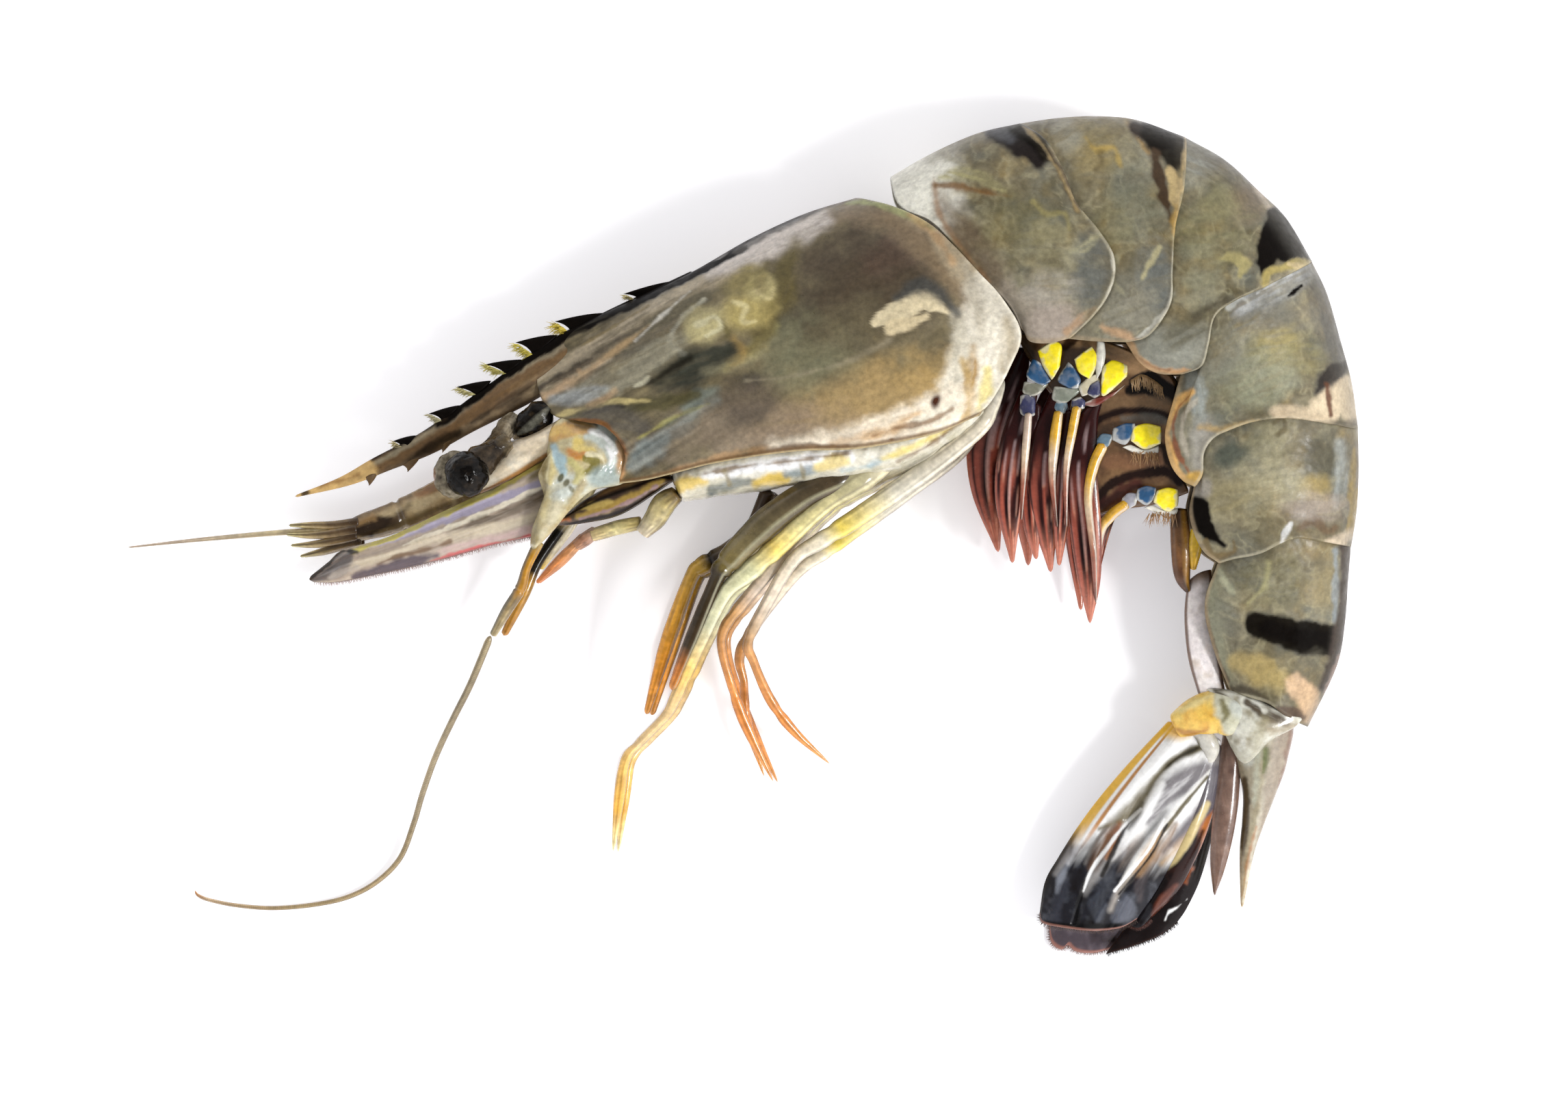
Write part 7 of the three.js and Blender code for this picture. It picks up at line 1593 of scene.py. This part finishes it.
PALE, CREAM, GOLD, ORANGE = rgb(226, 214, 184), rgb(214, 200, 150), rgb(196, 146, 60), rgb(222, 134, 64)
LEAD, DARK_OLIVE, BARK = rgb(150, 154, 138), rgb(86, 72, 44), rgb(70, 50, 32)
LEGS = [
    {
        "left": [(-1.6, 7.2, 10.6, 0.9, 0.9), (-3.4, 2.7, 10.2, 1.1, 0.9), (-6.1, 0.4, 9.9, 1.1, 0.9), (-9.0, -1.2, 9.6, 1.0, 0.9),
                 (-10.2, -2.5, 9.4, 0.8, 0.9), (-12.7, -9.3, 8.5, 0.85, 0.8), (-15.1, -17.4, 7.6, 0.35, 0.35)],
        "stops": [(0, BARK), (0.12, BARK), (0.3, rgb(92, 74, 50)), (0.36, INK), (0.4, rgb(196, 156, 60)), (0.65, rgb(236, 168, 52)), (0.85, rgb(255, 166, 40)), (1, rgb(236, 160, 70))],
        "stripe": (rgb(110, 76, 30), 20, 34), "joints": (0.36,),
    },
    {
        "left": [(8.7, 9.8, 11.0, 0.8, 0.8), (6.3, 8.4, 13.8, 1.2, 1.0), (2.2, 6.6, 13.8, 1.5, 1.1), (-2.5, 3.1, 13.4, 1.6, 1.1), (-6.5, -1.1, 12.6, 1.2, 1.0),
                 (-7.5, -2.9, 12.3, 0.8, 0.8), (-9.9, -8.8, 11.0, 0.85, 0.8), (-12.3, -14.7, 9.6, 0.5, 0.5)],
        "stops": [(0, rgb(96, 80, 48)), (0.15, rgb(74, 60, 40)), (0.35, rgb(92, 80, 54)), (0.5, rgb(128, 114, 74)), (0.57, rgb(120, 104, 50)), (0.6, rgb(54, 44, 26)), (0.85, rgb(66, 50, 30)), (0.93, rgb(210, 124, 40)), (1, rgb(236, 150, 60))],
        "stripe": (rgb(176, 170, 132), 62, 12), "joints": (0.57,),
    },
    {
        "left": [(12.3, 10.8, 11.4, 0.9, 0.9), (8.7, 8.4, 13.8, 1.3, 1.0), (4.5, 5.7, 13.6, 1.1, 0.9), (0.0, 1.6, 13.0, 1.1, 0.9), (-3.9, -1.8, 12.2, 1.1, 0.9),
                 (-6.5, -4.2, 11.9, 0.85, 0.8), (-9.2, -9.6, 10.9, 0.75, 0.7), (-11.8, -15.4, 9.2, 0.65, 0.6), (-13.0, -17.6, 8.0, 0.55, 0.55),
                 (-15.9, -20.6, 6.5, 0.5, 0.5), (-17.4, -22.5, 6.2, 0.55, 0.6), (-18.1, -26.6, 5.4, 0.6, 0.5), (-18.8, -32.5, 4.4, 0.15, 0.15)],
        "stops": [(0, PALE), (0.1, rgb(186, 178, 140)), (0.24, rgb(226, 214, 150)), (0.3, rgb(236, 208, 110)), (0.36, rgb(206, 204, 160)), (0.5, rgb(206, 204, 168)), (0.6, rgb(232, 190, 100)), (0.66, rgb(226, 192, 132)), (0.78, rgb(228, 196, 142)), (0.82, rgb(236, 190, 104)), (0.92, rgb(236, 176, 70)), (1, rgb(250, 236, 180))],
        "stripe": (rgb(170, 120, 60), 200, 26), "joints": (0.335, 0.62, 0.79),
    },
    {
        "left": [(19.3, 15.0, 11.0, 0.9, 0.9), (15.8, 11.8, 12.8, 1.5, 1.0), (10.0, 8.5, 11.4, 1.0, 0.9), (4.5, 5.4, 10.6, 1.0, 0.9), (-1.2, -1.3, 10.4, 0.75, 0.7),
                 (-5.0, -5.8, 9.9, 0.65, 0.6), (-6.6, -8.1, 9.5, 0.55, 0.5), (-6.8, -10.3, 9.0, 0.5, 0.45), (-5.8, -14.1, 8.0, 0.45, 0.4),
                 (-4.2, -18.6, 6.8, 0.6, 0.4), (-1.2, -24.8, 5.4, 0.1, 0.1)],
        "stops": [(0, PALE), (0.14, rgb(196, 190, 168)), (0.3, rgb(232, 208, 140)), (0.34, rgb(218, 206, 176)), (0.56, rgb(222, 202, 180)), (0.62, rgb(196, 150, 96)), (0.7, rgb(206, 146, 86)), (0.85, rgb(222, 138, 62)), (1, rgb(226, 156, 90))],
        "stripe": (rgb(116, 88, 58), 185, 22), "joints": (0.32, 0.63, 0.8),
    },
    {
        "left": [(24.0, 19.2, 11.4, 0.4, 0.5), (22.6, 16.2, 12.8, 0.9, 0.8), (21.1, 13.8, 13.2, 1.0, 0.9), (15.3, 9.2, 13.0, 1.1, 0.9), (8.7, 4.6, 12.7, 1.1, 0.9), (4.0, 1.6, 12.3, 0.9, 0.8),
                 (1.1, -0.4, 11.8, 0.75, 0.7), (-1.8, -5.1, 10.2, 0.7, 0.65), (-3.9, -9.4, 8.8, 0.6, 0.6), (-3.3, -11.7, 8.0, 0.5, 0.45),
                 (-1.5, -15.8, 6.5, 0.55, 0.4), (1.1, -19.3, 5.2, 0.5, 0.35), (5.0, -22.9, 3.8, 0.1, 0.1)],
        "right": [(22.1, 15.9, 5.6, 0.6, 0.6), (19.3, 11.5, 5.6, 0.9, 0.9), (13.8, 7.2, 5.6, 0.9, 0.9), (5.7, 1.2, 5.4, 0.8, 0.8), (1.1, -2.2, 5.0, 0.7, 0.7),
                  (-4.5, -9.9, 4.0, 0.6, 0.6), (-4.4, -14.1, 3.4, 0.45, 0.4), (-4.0, -18.6, 2.8, 0.5, 0.4), (-2.2, -24.3, 2.2, 0.1, 0.1)],
        "stops": [(0, rgb(196, 190, 172)), (0.12, rgb(222, 212, 190)), (0.3, rgb(206, 200, 182)), (0.42, rgb(238, 214, 96)), (0.46, rgb(226, 216, 190)), (0.62, rgb(224, 208, 186)), (0.69, rgb(180, 146, 106)), (0.73, rgb(200, 142, 82)), (0.88, rgb(224, 140, 60)), (1, rgb(230, 160, 86))],
        "stripe": (rgb(110, 86, 54), 185, 24), "joints": (0.44, 0.7, 0.86),
    },
]


LEG_BRIGHTER = 1.25  # the rear legs lie in their own shade
LEG_CONTOUR = 0.6


def add_legs():
    for k, leg in enumerate(LEGS, 1):
        tone, place, width = leg["stripe"]
        stops = [(at, tone * (1 if k < 3 else LEG_BRIGHTER)) for at, tone in leg["stops"]]
        paint = stripes(stops, tone, place, width, 0.75, 0.3, LEG_CONTOUR)
        drop = [(x + 0.5, y - 0.2, max(z - RIGHT_DROP, b), a, b) for x, y, z, a, b in leg["left"]]
        for side, path in {"left": leg["left"], "right": leg.get("right", drop)}.items():
            skin = Skin()
            tube(skin, path, paint, 24, 260, leg["joints"], lumps=0.04)
            skin.build(f"walking_leg_{k}_{side}", FLESH, "leg", f"leg_{k}_{side}")


# ---- swimmerets ----

MAROON, WINE, RUST, MAUVE = rgb(58, 22, 20), rgb(104, 40, 34), rgb(172, 88, 64), rgb(134, 96, 90)
LEMON, PRUSSIAN, STEEL, CREAMY = 1.45 * rgb(255, 232, 30), rgb(48, 96, 140), rgb(116, 146, 166), rgb(236, 224, 190)
AMBER, BLUSH_ROD, DUSKY = rgb(238, 184, 56), rgb(232, 206, 184), rgb(66, 68, 104)
WHITE_RIM = 1.2 * rgb(250, 246, 232)
BLADES = [  # on either side of each pair
    (
        [
            [(26.8, 18.1, 12.2, 1.0, 0.5), (25.2, 12.2, 12.3, 1.6, 0.45), (24.6, 6.1, 11.6, 1.5, 0.4), (25.0, -0.8, 10.0, 0.2, 0.2)],
            [(27.6, 16.6, 12.0, 0.5, 0.4), (27.0, 9.9, 11.8, 1.1, 0.4), (27.1, 3.9, 11.0, 1.0, 0.35), (27.6, -0.4, 10.0, 0.2, 0.2)],
        ],
        [[(26.4, 22.8, 5.4, 0.8, 0.6), (24.8, 18.9, 5.0, 1.9, 0.7), (22.8, 13.7, 4.3, 2.5, 0.5), (22.4, 7.6, 3.5, 1.9, 0.4), (23.6, 0.4, 2.4, 0.2, 0.2)]],
    ),
    (
        [
            [(30.3, 17.7, 12.2, 1.2, 0.5), (28.6, 11.4, 12.2, 1.9, 0.45), (28.5, 5.4, 11.4, 1.7, 0.4), (29.2, -1.8, 9.6, 0.2, 0.2)],
            [(31.2, 15.9, 12.3, 0.5, 0.4), (30.6, 9.9, 12.3, 1.0, 0.4), (30.3, 3.9, 11.6, 0.9, 0.35), (30.1, -1.1, 10.2, 0.2, 0.2)],
        ],
        [[(31.5, 21.9, 5.2, 0.7, 0.7), (29.5, 16.6, 4.6, 1.7, 0.6), (27.1, 9.9, 4.0, 1.6, 0.5), (26.8, 4.6, 3.4, 1.4, 0.4), (26.9, -1.1, 2.2, 0.2, 0.2)]],
    ),
    (
        [[(34.5, 17.1, 12.0, 0.4, 0.4), (33.1, 14.4, 12.7, 1.2, 0.45), (32.4, 9.2, 12.9, 1.8, 0.45), (33.0, 2.4, 12.0, 1.7, 0.4), (33.4, -2.9, 10.8, 1.2, 0.3), (33.5, -7.4, 9.4, 0.15, 0.2)]],
        [[(34.9, 14.4, 4.2, 1.2, 0.6), (32.1, 9.2, 3.7, 1.4, 0.5), (32.1, 2.4, 3.0, 1.2, 0.4), (32.7, -6.0, 2.2, 0.2, 0.2)]],
    ),
    (
        [],
        [[(37.0, 7.5, 4.2, 1.2, 0.6), (35.2, 5.4, 3.7, 1.7, 0.5), (34.5, 1.6, 3.0, 1.1, 0.4), (34.0, -4.5, 2.2, 0.2, 0.2)]],
    ),
    (
        [],
        [],
    ),
]
PLATES = [  # the coloured plates at the root of each left swimmeret: corners and tone
    [
        (((27.7, 22.3), (29.5, 23.5), (30.3, 22.8), (30.1, 20.6), (29.2, 19.2), (28.3, 20.6)), LEMON),
        (((27.1, 21.4), (28.0, 21.0), (28.5, 20.1), (29.1, 19.1), (28.1, 18.5), (26.5, 19.5)), PRUSSIAN),
        (((26.2, 18.9), (27.4, 18.8), (28.8, 18.8), (28.1, 17.8), (27.0, 17.4), (26.1, 17.8)), rgb(140, 140, 122)),
        (((25.8, 17.4), (26.7, 17.6), (27.4, 17.1), (27.4, 15.4), (26.6, 15.1), (25.8, 15.6)), DUSKY),
        (((26.7, 18.3), (27.1, 18.3), (27.1, 16.8), (27.1, 15.4), (26.8, 15.4), (26.6, 16.8)), MILK),
    ],
    [
        (((31.7, 21.4), (33.6, 22.8), (34.1, 21.8), (34.0, 20.4), (33.3, 19.3), (32.2, 20.0)), LEMON),
        (((34.2, 23.4), (35.0, 23.2), (35.1, 21.9), (34.9, 20.6), (34.1, 19.2), (34.0, 21.1)), WHITE_RIM),
        (((32.9, 19.2), (34.2, 19.8), (34.5, 18.9), (34.0, 18.0), (32.5, 17.4), (32.2, 18.4)), CREAMY),
        (((31.0, 21.1), (31.9, 20.2), (32.4, 19.2), (32.2, 18.3), (31.0, 18.3), (29.9, 19.2)), PRUSSIAN),
        (((29.5, 18.4), (31.0, 18.3), (32.4, 18.1), (31.5, 17.1), (30.4, 16.6), (29.3, 17.1)), rgb(150, 156, 140)),
        (((29.7, 16.8), (30.8, 16.9), (31.0, 16.3), (30.7, 15.6), (30.0, 15.4), (29.5, 16.1)), STEEL),
    ],
    [
        (((34.6, 18.8), (34.9, 20.7), (35.9, 21.3), (37.4, 20.8), (37.4, 19.5), (34.9, 17.4)), LEMON),
        (((33.3, 18.5), (34.4, 19.1), (34.6, 18.4), (34.5, 17.6), (33.8, 17.2), (33.1, 17.7)), DUSKY),
        (((31.4, 16.9), (32.4, 17.3), (32.9, 16.8), (32.8, 16.1), (31.9, 16.0), (31.4, 16.3)), DUSKY),
        (((32.5, 16.5), (34.0, 17.2), (35.7, 17.8), (37.2, 18.6), (35.9, 17.4), (34.0, 16.3)), rgb(130, 50, 36)),
    ],
    [
        (((37.9, 12.5), (38.2, 14.1), (39.6, 14.4), (41.1, 14.1), (41.1, 12.2), (39.4, 11.6)), LEMON),
        (((35.9, 12.6), (36.0, 13.9), (37.2, 14.4), (38.3, 14.4), (38.0, 12.9), (37.2, 12.1)), PRUSSIAN),
        (((34.0, 11.7), (34.2, 12.8), (34.8, 13.3), (35.9, 13.2), (35.5, 12.0), (34.8, 11.5)), STEEL),
        (((37.0, 11.8), (37.9, 12.1), (39.3, 11.6), (40.9, 12.0), (40.8, 11.2), (38.7, 11.1)), WHITE_RIM),
    ],
    [
        (((40.4, 5.8), (40.8, 7.1), (41.9, 7.4), (43.0, 7.2), (43.0, 5.4), (41.9, 4.8)), LEMON),
        (((38.5, 6.1), (38.7, 7.3), (39.6, 7.6), (40.6, 7.4), (40.4, 6.1), (39.6, 5.5)), PRUSSIAN),
        (((36.9, 5.2), (37.0, 6.3), (37.6, 6.8), (38.6, 6.8), (38.4, 5.5), (37.6, 5.1)), rgb(176, 176, 186)),
        (((39.4, 5.2), (40.4, 5.5), (41.5, 5.0), (43.0, 5.2), (42.8, 4.5), (41.1, 4.5)), WHITE_RIM),
    ],
]
PLATE_HEIGHTS = (13.2, 13.2, 13.3, 12.6, 12.0)
RODS = [
    [(26.7, 15.6, 13.3, 0.4, 0.5), (26.5, 12.9, 13.2, 0.45, 0.45), (26.2, 9.2, 12.9, 0.35, 0.4), (25.9, 3.9, 12.0, 0.12, 0.2)],
    [(30.0, 15.8, 13.3, 0.5, 0.5), (29.6, 12.9, 13.2, 0.6, 0.5), (29.3, 8.4, 12.9, 0.4, 0.4), (29.8, 3.1, 11.8, 0.12, 0.2)],
    [(32.0, 16.3, 13.7, 0.5, 0.5), (31.5, 13.7, 13.6, 0.5, 0.45), (30.8, 9.2, 13.4, 0.35, 0.35), (30.8, 3.1, 12.8, 0.12, 0.2)],
    [(34.9, 12.2, 13.1, 0.6, 0.6), (33.8, 9.8, 13.2, 0.6, 0.55), (33.2, 6.1, 13.2, 0.45, 0.5), (33.8, 0.1, 13.2, 0.35, 0.4), (34.1, -5.4, 9.9, 0.12, 0.15)],
    [(37.5, 5.7, 12.2, 0.55, 0.6), (35.7, 4.3, 11.4, 0.6, 0.6), (34.5, 2.1, 10.4, 0.5, 0.5), (34.4, -4.2, 6.2, 0.12, 0.15)],
]
ROD_TONES = (BLUSH_ROD, AMBER, AMBER, AMBER, AMBER)
BRISTLE_ROOTS = {4: (39.4, 11.2, 12.6), 5: (41.4, 4.6, 12.0)}
LOIN = {  # the flesh the swimmerets grow from
    "front": [(34.5, 4.5), (33.8, 9.2), (32.5, 12.2), (31.5, 15.4), (28.8, 18.9), (25.6, 24.1)],
    "rear": [(44.2, 6.9), (42.9, 9.9), (42.6, 15.1), (42.4, 19.2), (37.8, 22.2), (31.0, 24.6)],
    "belly": [(37.0, 5.1), (40.8, 5.7)],
    "back": [(28.1, 24.3)],
}
LOIN_MARKS = [
    ([(31.0, 23.4), (34.0, 23.4), (37.0, 21.9), (40.8, 19.2)], (1.4, 2.4, 2.4, 1.2), rgb(222, 178, 128), 0.9, 0.4, 0.2),
    ([(26.2, 23.4), (26.8, 21.9), (26.6, 20.4)], (1.6, 1.6, 0.8), rgb(64, 46, 28), 0.95, 0.4),
    ([(30.8, 22.9), (31.9, 24.1), (33.0, 25.3)], (1.0, 1.3, 0.6), rgb(58, 34, 20), 0.95, 0.2),
    # Painted shadow: a black patch under the lower edge of the third ring, with the tan bristles hanging into it.
    ([(37.9, 18.0), (39.8, 18.8), (41.9, 17.8)], (1.6, 3.0, 2.4), rgb(22, 15, 12), 1.0, 0.15),
    ([(34.0, 16.6), (37.0, 16.8), (41.5, 16.5)], (1.6, 1.8, 1.6), rgb(150, 118, 82), 0.7, 0.4),
    ([(32.2, 12.0), (33.3, 14.1), (36.4, 15.6), (39.8, 15.8), (42.4, 15.0)], (1.2, 1.2, 0.9, 0.9, 0.9), rgb(34, 18, 16), 0.97, 0.2),
    ([(37.0, 15.0), (40.0, 15.0), (42.0, 14.5)], (0.7, 0.9, 0.7), rgb(126, 122, 112), 0.8, 0.3),
    ([(35.5, 10.3), (38.5, 10.5), (42.0, 10.8)], (1.6, 2.0, 1.6), rgb(156, 112, 78), 0.8, 0.3),
    ([(41.2, 12.2), (42.4, 10.5), (43.2, 8.4)], (0.6, 1.6, 1.0), rgb(26, 16, 14), 0.95, 0.25),
    ([(34.2, 5.4), (35.4, 7.5), (38.4, 8.8), (41.5, 9.2), (43.2, 8.2)], (1.0, 1.3, 0.9, 0.9, 0.9), rgb(34, 18, 16), 0.97, 0.2),
    ([(34.9, 5.4), (36.3, 6.5), (38.5, 7.9)], (1.0, 1.8, 1.0), rgb(84, 40, 34), 0.9, 0.3),
]
SCALLOPS = [(37.9, 19.2), (39.1, 19.8), (40.4, 19.2), (41.4, 18.4)]
FAR_FLAP = {
    "front": [(44.2, -2.9), (45.4, -2.1), (46.8, -1.6)],
    "rear": [(45.4, -15.1), (46.6, -15.4), (48.4, -15.1)],
    "belly": [(43.9, -6.6), (44.3, -11.1)],
    "back": [(47.2, -6.6), (47.7, -11.1)],
}
GOLD_STRIP = [(45.0, 3.0, 10.2, 0.5, 0.5), (45.0, 0.9, 10.0, 0.75, 0.5), (44.8, -1.6, 9.6, 0.3, 0.3)]
FAR_STRIP = [(43.2, 5.2, 10.2, 0.9, 0.6), (43.4, 1.6, 10.0, 1.1, 0.6), (43.6, -2.1, 9.4, 0.9, 0.5), (44.3, -4.0, 8.6, 0.3, 0.3)]


def paint_blade(s, angle, x, y):
    colour = speckled(x, y, rgb(52, 18, 17), (rgb(28, 10, 10), 1.6, 0.8))
    turn = np.cos(angle)
    lines, finer = noise(turn * 5 + x * 0.1, s * 2.5, 1.0, 92), noise(turn * 9 + x * 0.2, s * 4, 1.0, 93)
    colour = mix(colour, rgb(186, 92, 70), 0.9 * ease(lines, 0.12, 0.36) * ease(s, 0.25, 0.6))
    colour = mix(colour, rgb(15, 6, 7), 0.95 * ease(-lines, 0.02, 0.22))
    colour = mix(colour, rgb(240, 166, 134), 0.85 * ease(finer, 0.22, 0.4) * ease(s, 0.3, 0.6))
    colour = mix(colour, RUST, 0.8 * ease(np.abs(turn), 0.86, 0.98) * ease(s, 0.3, 0.6))
    colour = mix(colour, rgb(226, 136, 108), 0.75 * ease(s, 0.7, 0.98))
    # Painted highlight: a pinkish-grey sheen streaked along the top side of each blade.
    gloss = ease(np.sin(angle), 0.6, 0.9) * ease(finer, 0.3, 0.5) * ease(s, 0.1, 0.2)
    return mix(colour, rgb(206, 176, 176), 0.55 * gloss * (1 - ease(s, 0.6, 0.85)))


def paint_loin(x, y, u, v):
    colour = speckled(x, y, rgb(128, 94, 62), (rgb(160, 122, 82), 1.6, 1.0), (rgb(88, 58, 38), 1.4, 1.2))
    return lay(colour, x, y, LOIN_MARKS)


def paint_far_flap(x, y, u, v):
    # Painted light: the flap's colours are raised 1.3 times to offset the shade it lies in beside the sixth ring.
    colour = 1.3 * speckled(x, y, rgb(232, 224, 222), (rgb(250, 244, 238), 1.6, 1.0), (rgb(196, 180, 164), 1.4, 1.0))
    edge = 1 - ease(np.minimum(v, 1 - v) + 0.02 * fractal(x, y, 1.2, 95), 0.06, 0.14)
    colour = mix(colour, rgb(110, 76, 52), 0.9 * edge)
    return mix(colour, rgb(116, 84, 52), 0.9 * (1 - ease(u, 0.0, 0.12)))


def add_swimmerets():
    for k, blades in enumerate(BLADES, 1):
        for side, limbs in zip(("left", "right"), blades):
            skin = Skin()
            for blade in limbs:
                tube(skin, blade, paint_blade, 40, 130)
            if side == "left":
                for n, (corners, tone) in enumerate(PLATES[k - 1]):
                    patch(skin, corners, PLATE_HEIGHTS[k - 1] - 0.12 * n, tone)
                tone = ROD_TONES[k - 1]
                looks = [(0, tone), (0.22, tone), (0.4, rgb(236, 210, 176)), (0.65, rgb(176, 104, 78)), (1, rgb(96, 40, 32))]
                tube(skin, RODS[k - 1], stripes(looks, rgb(250, 240, 226), 40, 24, 0.7, 0.25), 20, 90)
                if k in BRISTLE_ROOTS:
                    roots = np.array(BRISTLE_ROOTS[k]) + RNG.uniform(-1, 1, (40, 3)) * (1.5, 0.2, 0.3)
                    ways = np.broadcast_to((-0.1, -1.0, -0.2), roots.shape)
                    hairs(skin, roots, ways, 1.4, rgb(206, 160, 110), thickness=0.07, spread=0.3)
            if (k, side) == (3, "right"):
                leaf(skin, LOIN, (10.0, 10.2, 10.6), (1.6, 1.8, 1.4), paint_loin, 120, 120, None, (0.4, 0.6))
                roots = np.concatenate([along(SCALLOPS, np.linspace(0, 1, 70))[:, :2], np.full((70, 1), 11.9)], 1)
                hairs(skin, roots, np.broadcast_to((0.1, -1.0, 0.0), roots.shape), 1.5, rgb(206, 166, 116), thickness=0.1, spread=0.2)
            if (k, side) == (5, "right"):
                leaf(skin, FAR_FLAP, (8.4, 8.0, 7.6), (0.6, 0.6), paint_far_flap, 90, 40, None, (0.4, 0.4))
                looks = [(0, rgb(70, 46, 28)), (0.4, rgb(124, 84, 46)), (0.7, rgb(104, 66, 38)), (1, rgb(70, 44, 30))]
                tube(skin, FAR_STRIP, stripes(looks, rgb(190, 140, 60), 60, 20, 0.85, 0.5), 24, 60)
                tube(skin, GOLD_STRIP, stripes([(0, rgb(240, 200, 60)), (1, rgb(206, 158, 40))]), 20, 40)
            skin.build(f"paddle_{k}_{side}", FLESH, "swimmeret", f"swimmeret_{k}_{side}")


# ---- table, light and camera ----

FRAME_WIDTH = 171.9  # how much of the table the picture's width takes in
CAMERA_HEIGHT = 1200.0
BRIGHT_SIDE = (0.85, -0.52, 0.0)
WALL_LIGHT = (0.9, 2.2)  # on the dark side and on the bright one
CEILING_LIGHT = 0.35
TABLE_GLOW = 0.3  # the table is burnt out to white, also in most of the shadow


def stage_and_light():
    size = 4.0
    mesh = bpy.data.meshes.new("table")
    mesh.from_pydata([(-size, -size, 0), (size, -size, 0), (size, size, 0), (-size, size, 0)], [], [(0, 1, 2, 3)])
    table = bpy.data.objects.new("table", mesh)
    bpy.context.scene.collection.objects.link(table)
    paper = Shader("white_table", roughness=0.9, specular_ior_level=0.1)
    paper.surface.inputs["Base Color"].default_value = (0.9, 0.9, 0.905, 1)
    paper.surface.inputs["Emission Color"].default_value = (0.97, 0.95, 1.0, 1)
    paper.surface.inputs["Emission Strength"].default_value = TABLE_GLOW
    mesh.materials.append(paper.material)

    light_the_room()
    centre = Vector((ORIGIN_X, ORIGIN_Y, 10)) * MM
    add_light("key", centre, (0.69, -0.17, 0.70), 0.16, 5.4)


def light_the_room():
    """White walls, brighter on the key light's side, and a dark ceiling, so that what faces up keeps its colour."""
    world = bpy.data.worlds.new("studio")
    bpy.context.scene.world = world
    world.use_nodes = True
    nodes, links = world.node_tree.nodes, world.node_tree.links
    way = nodes.new("ShaderNodeTexCoord").outputs["Generated"]
    height = nodes.new("ShaderNodeSeparateXYZ")
    links.new(way, height.inputs[0])
    side = nodes.new("ShaderNodeVectorMath")
    side.operation = "DOT_PRODUCT"
    links.new(way, side.inputs[0])
    side.inputs[1].default_value = BRIGHT_SIDE
    wall = nodes.new("ShaderNodeMapRange")
    links.new(side.outputs["Value"], wall.inputs["Value"])
    level = nodes.new("ShaderNodeMapRange")
    level.interpolation_type = "SMOOTHSTEP"
    links.new(height.outputs["Z"], level.inputs["Value"])
    links.new(wall.outputs[0], level.inputs["To Min"])
    for made, values in ((wall, (-1.0, 1.0, *WALL_LIGHT)), (level, (0.66, 0.86, 1.0, CEILING_LIGHT))):
        for name, value in zip(("From Min", "From Max", "To Min", "To Max"), values):
            made.inputs[name].default_value = value
    nodes["Background"].inputs["Color"].default_value = (0.99, 0.985, 1.0, 1)
    links.new(level.outputs[0], nodes["Background"].inputs["Strength"])


def add_light(name, target, place, size, power):
    lamp = bpy.data.lights.new(name, "AREA")
    lamp.shape, lamp.size, lamp.energy = "SQUARE", size, power
    holder = bpy.data.objects.new(name, lamp)
    holder.location = target + Vector(place)
    holder.rotation_euler = (-Vector(place)).to_track_quat("-Z", "Y").to_euler()
    bpy.context.scene.collection.objects.link(holder)


def add_camera():
    lens = bpy.data.cameras.new("camera")
    lens.sensor_width = 36.0
    lens.lens = 36.0 * CAMERA_HEIGHT / FRAME_WIDTH
    lens.clip_end = 100
    camera = bpy.data.objects.new("camera", lens)
    camera.location = Vector((ORIGIN_X, ORIGIN_Y, CAMERA_HEIGHT + 8)) * MM
    bpy.context.scene.collection.objects.link(camera)
    bpy.context.scene.camera = camera
    bpy.context.scene.view_settings.view_transform = "Standard"


SHELL = wet_shell("wet_shell", 0.12, 0.2, 0.012, 0.38, 0.25, 0.0, 0.06, 0.1)
FLESH = wet_shell("limb_skin", 0.1, 0.16, 0.02, 0.22, 0.35, 0.35, 0.08, 0.35)
SATIN = wet_shell("scale_skin", 0.06, 0.1, 0.012, 0.35, 0.3, 0.3, 0.1)
FAN = wet_shell("tail_blade_skin", 0.06, 0.08, 0.02, 0.22, 0.3, 0.15, 0.03, 0.3)
EYE = wet_shell("eye_skin", 0.1, 0.5, 0.05, 0.12, 0.1, 0.0, 0.0, 1.0)

add_carapace()
for ring in range(len(RINGS)):
    add_ring(ring)
add_tail_fan()
add_telson()
add_protopods()
add_eyes()
add_scales()
add_antennules()
add_antennae()
add_mouthparts()
add_chest()
add_legs()
add_swimmerets()
stage_and_light()
add_camera()
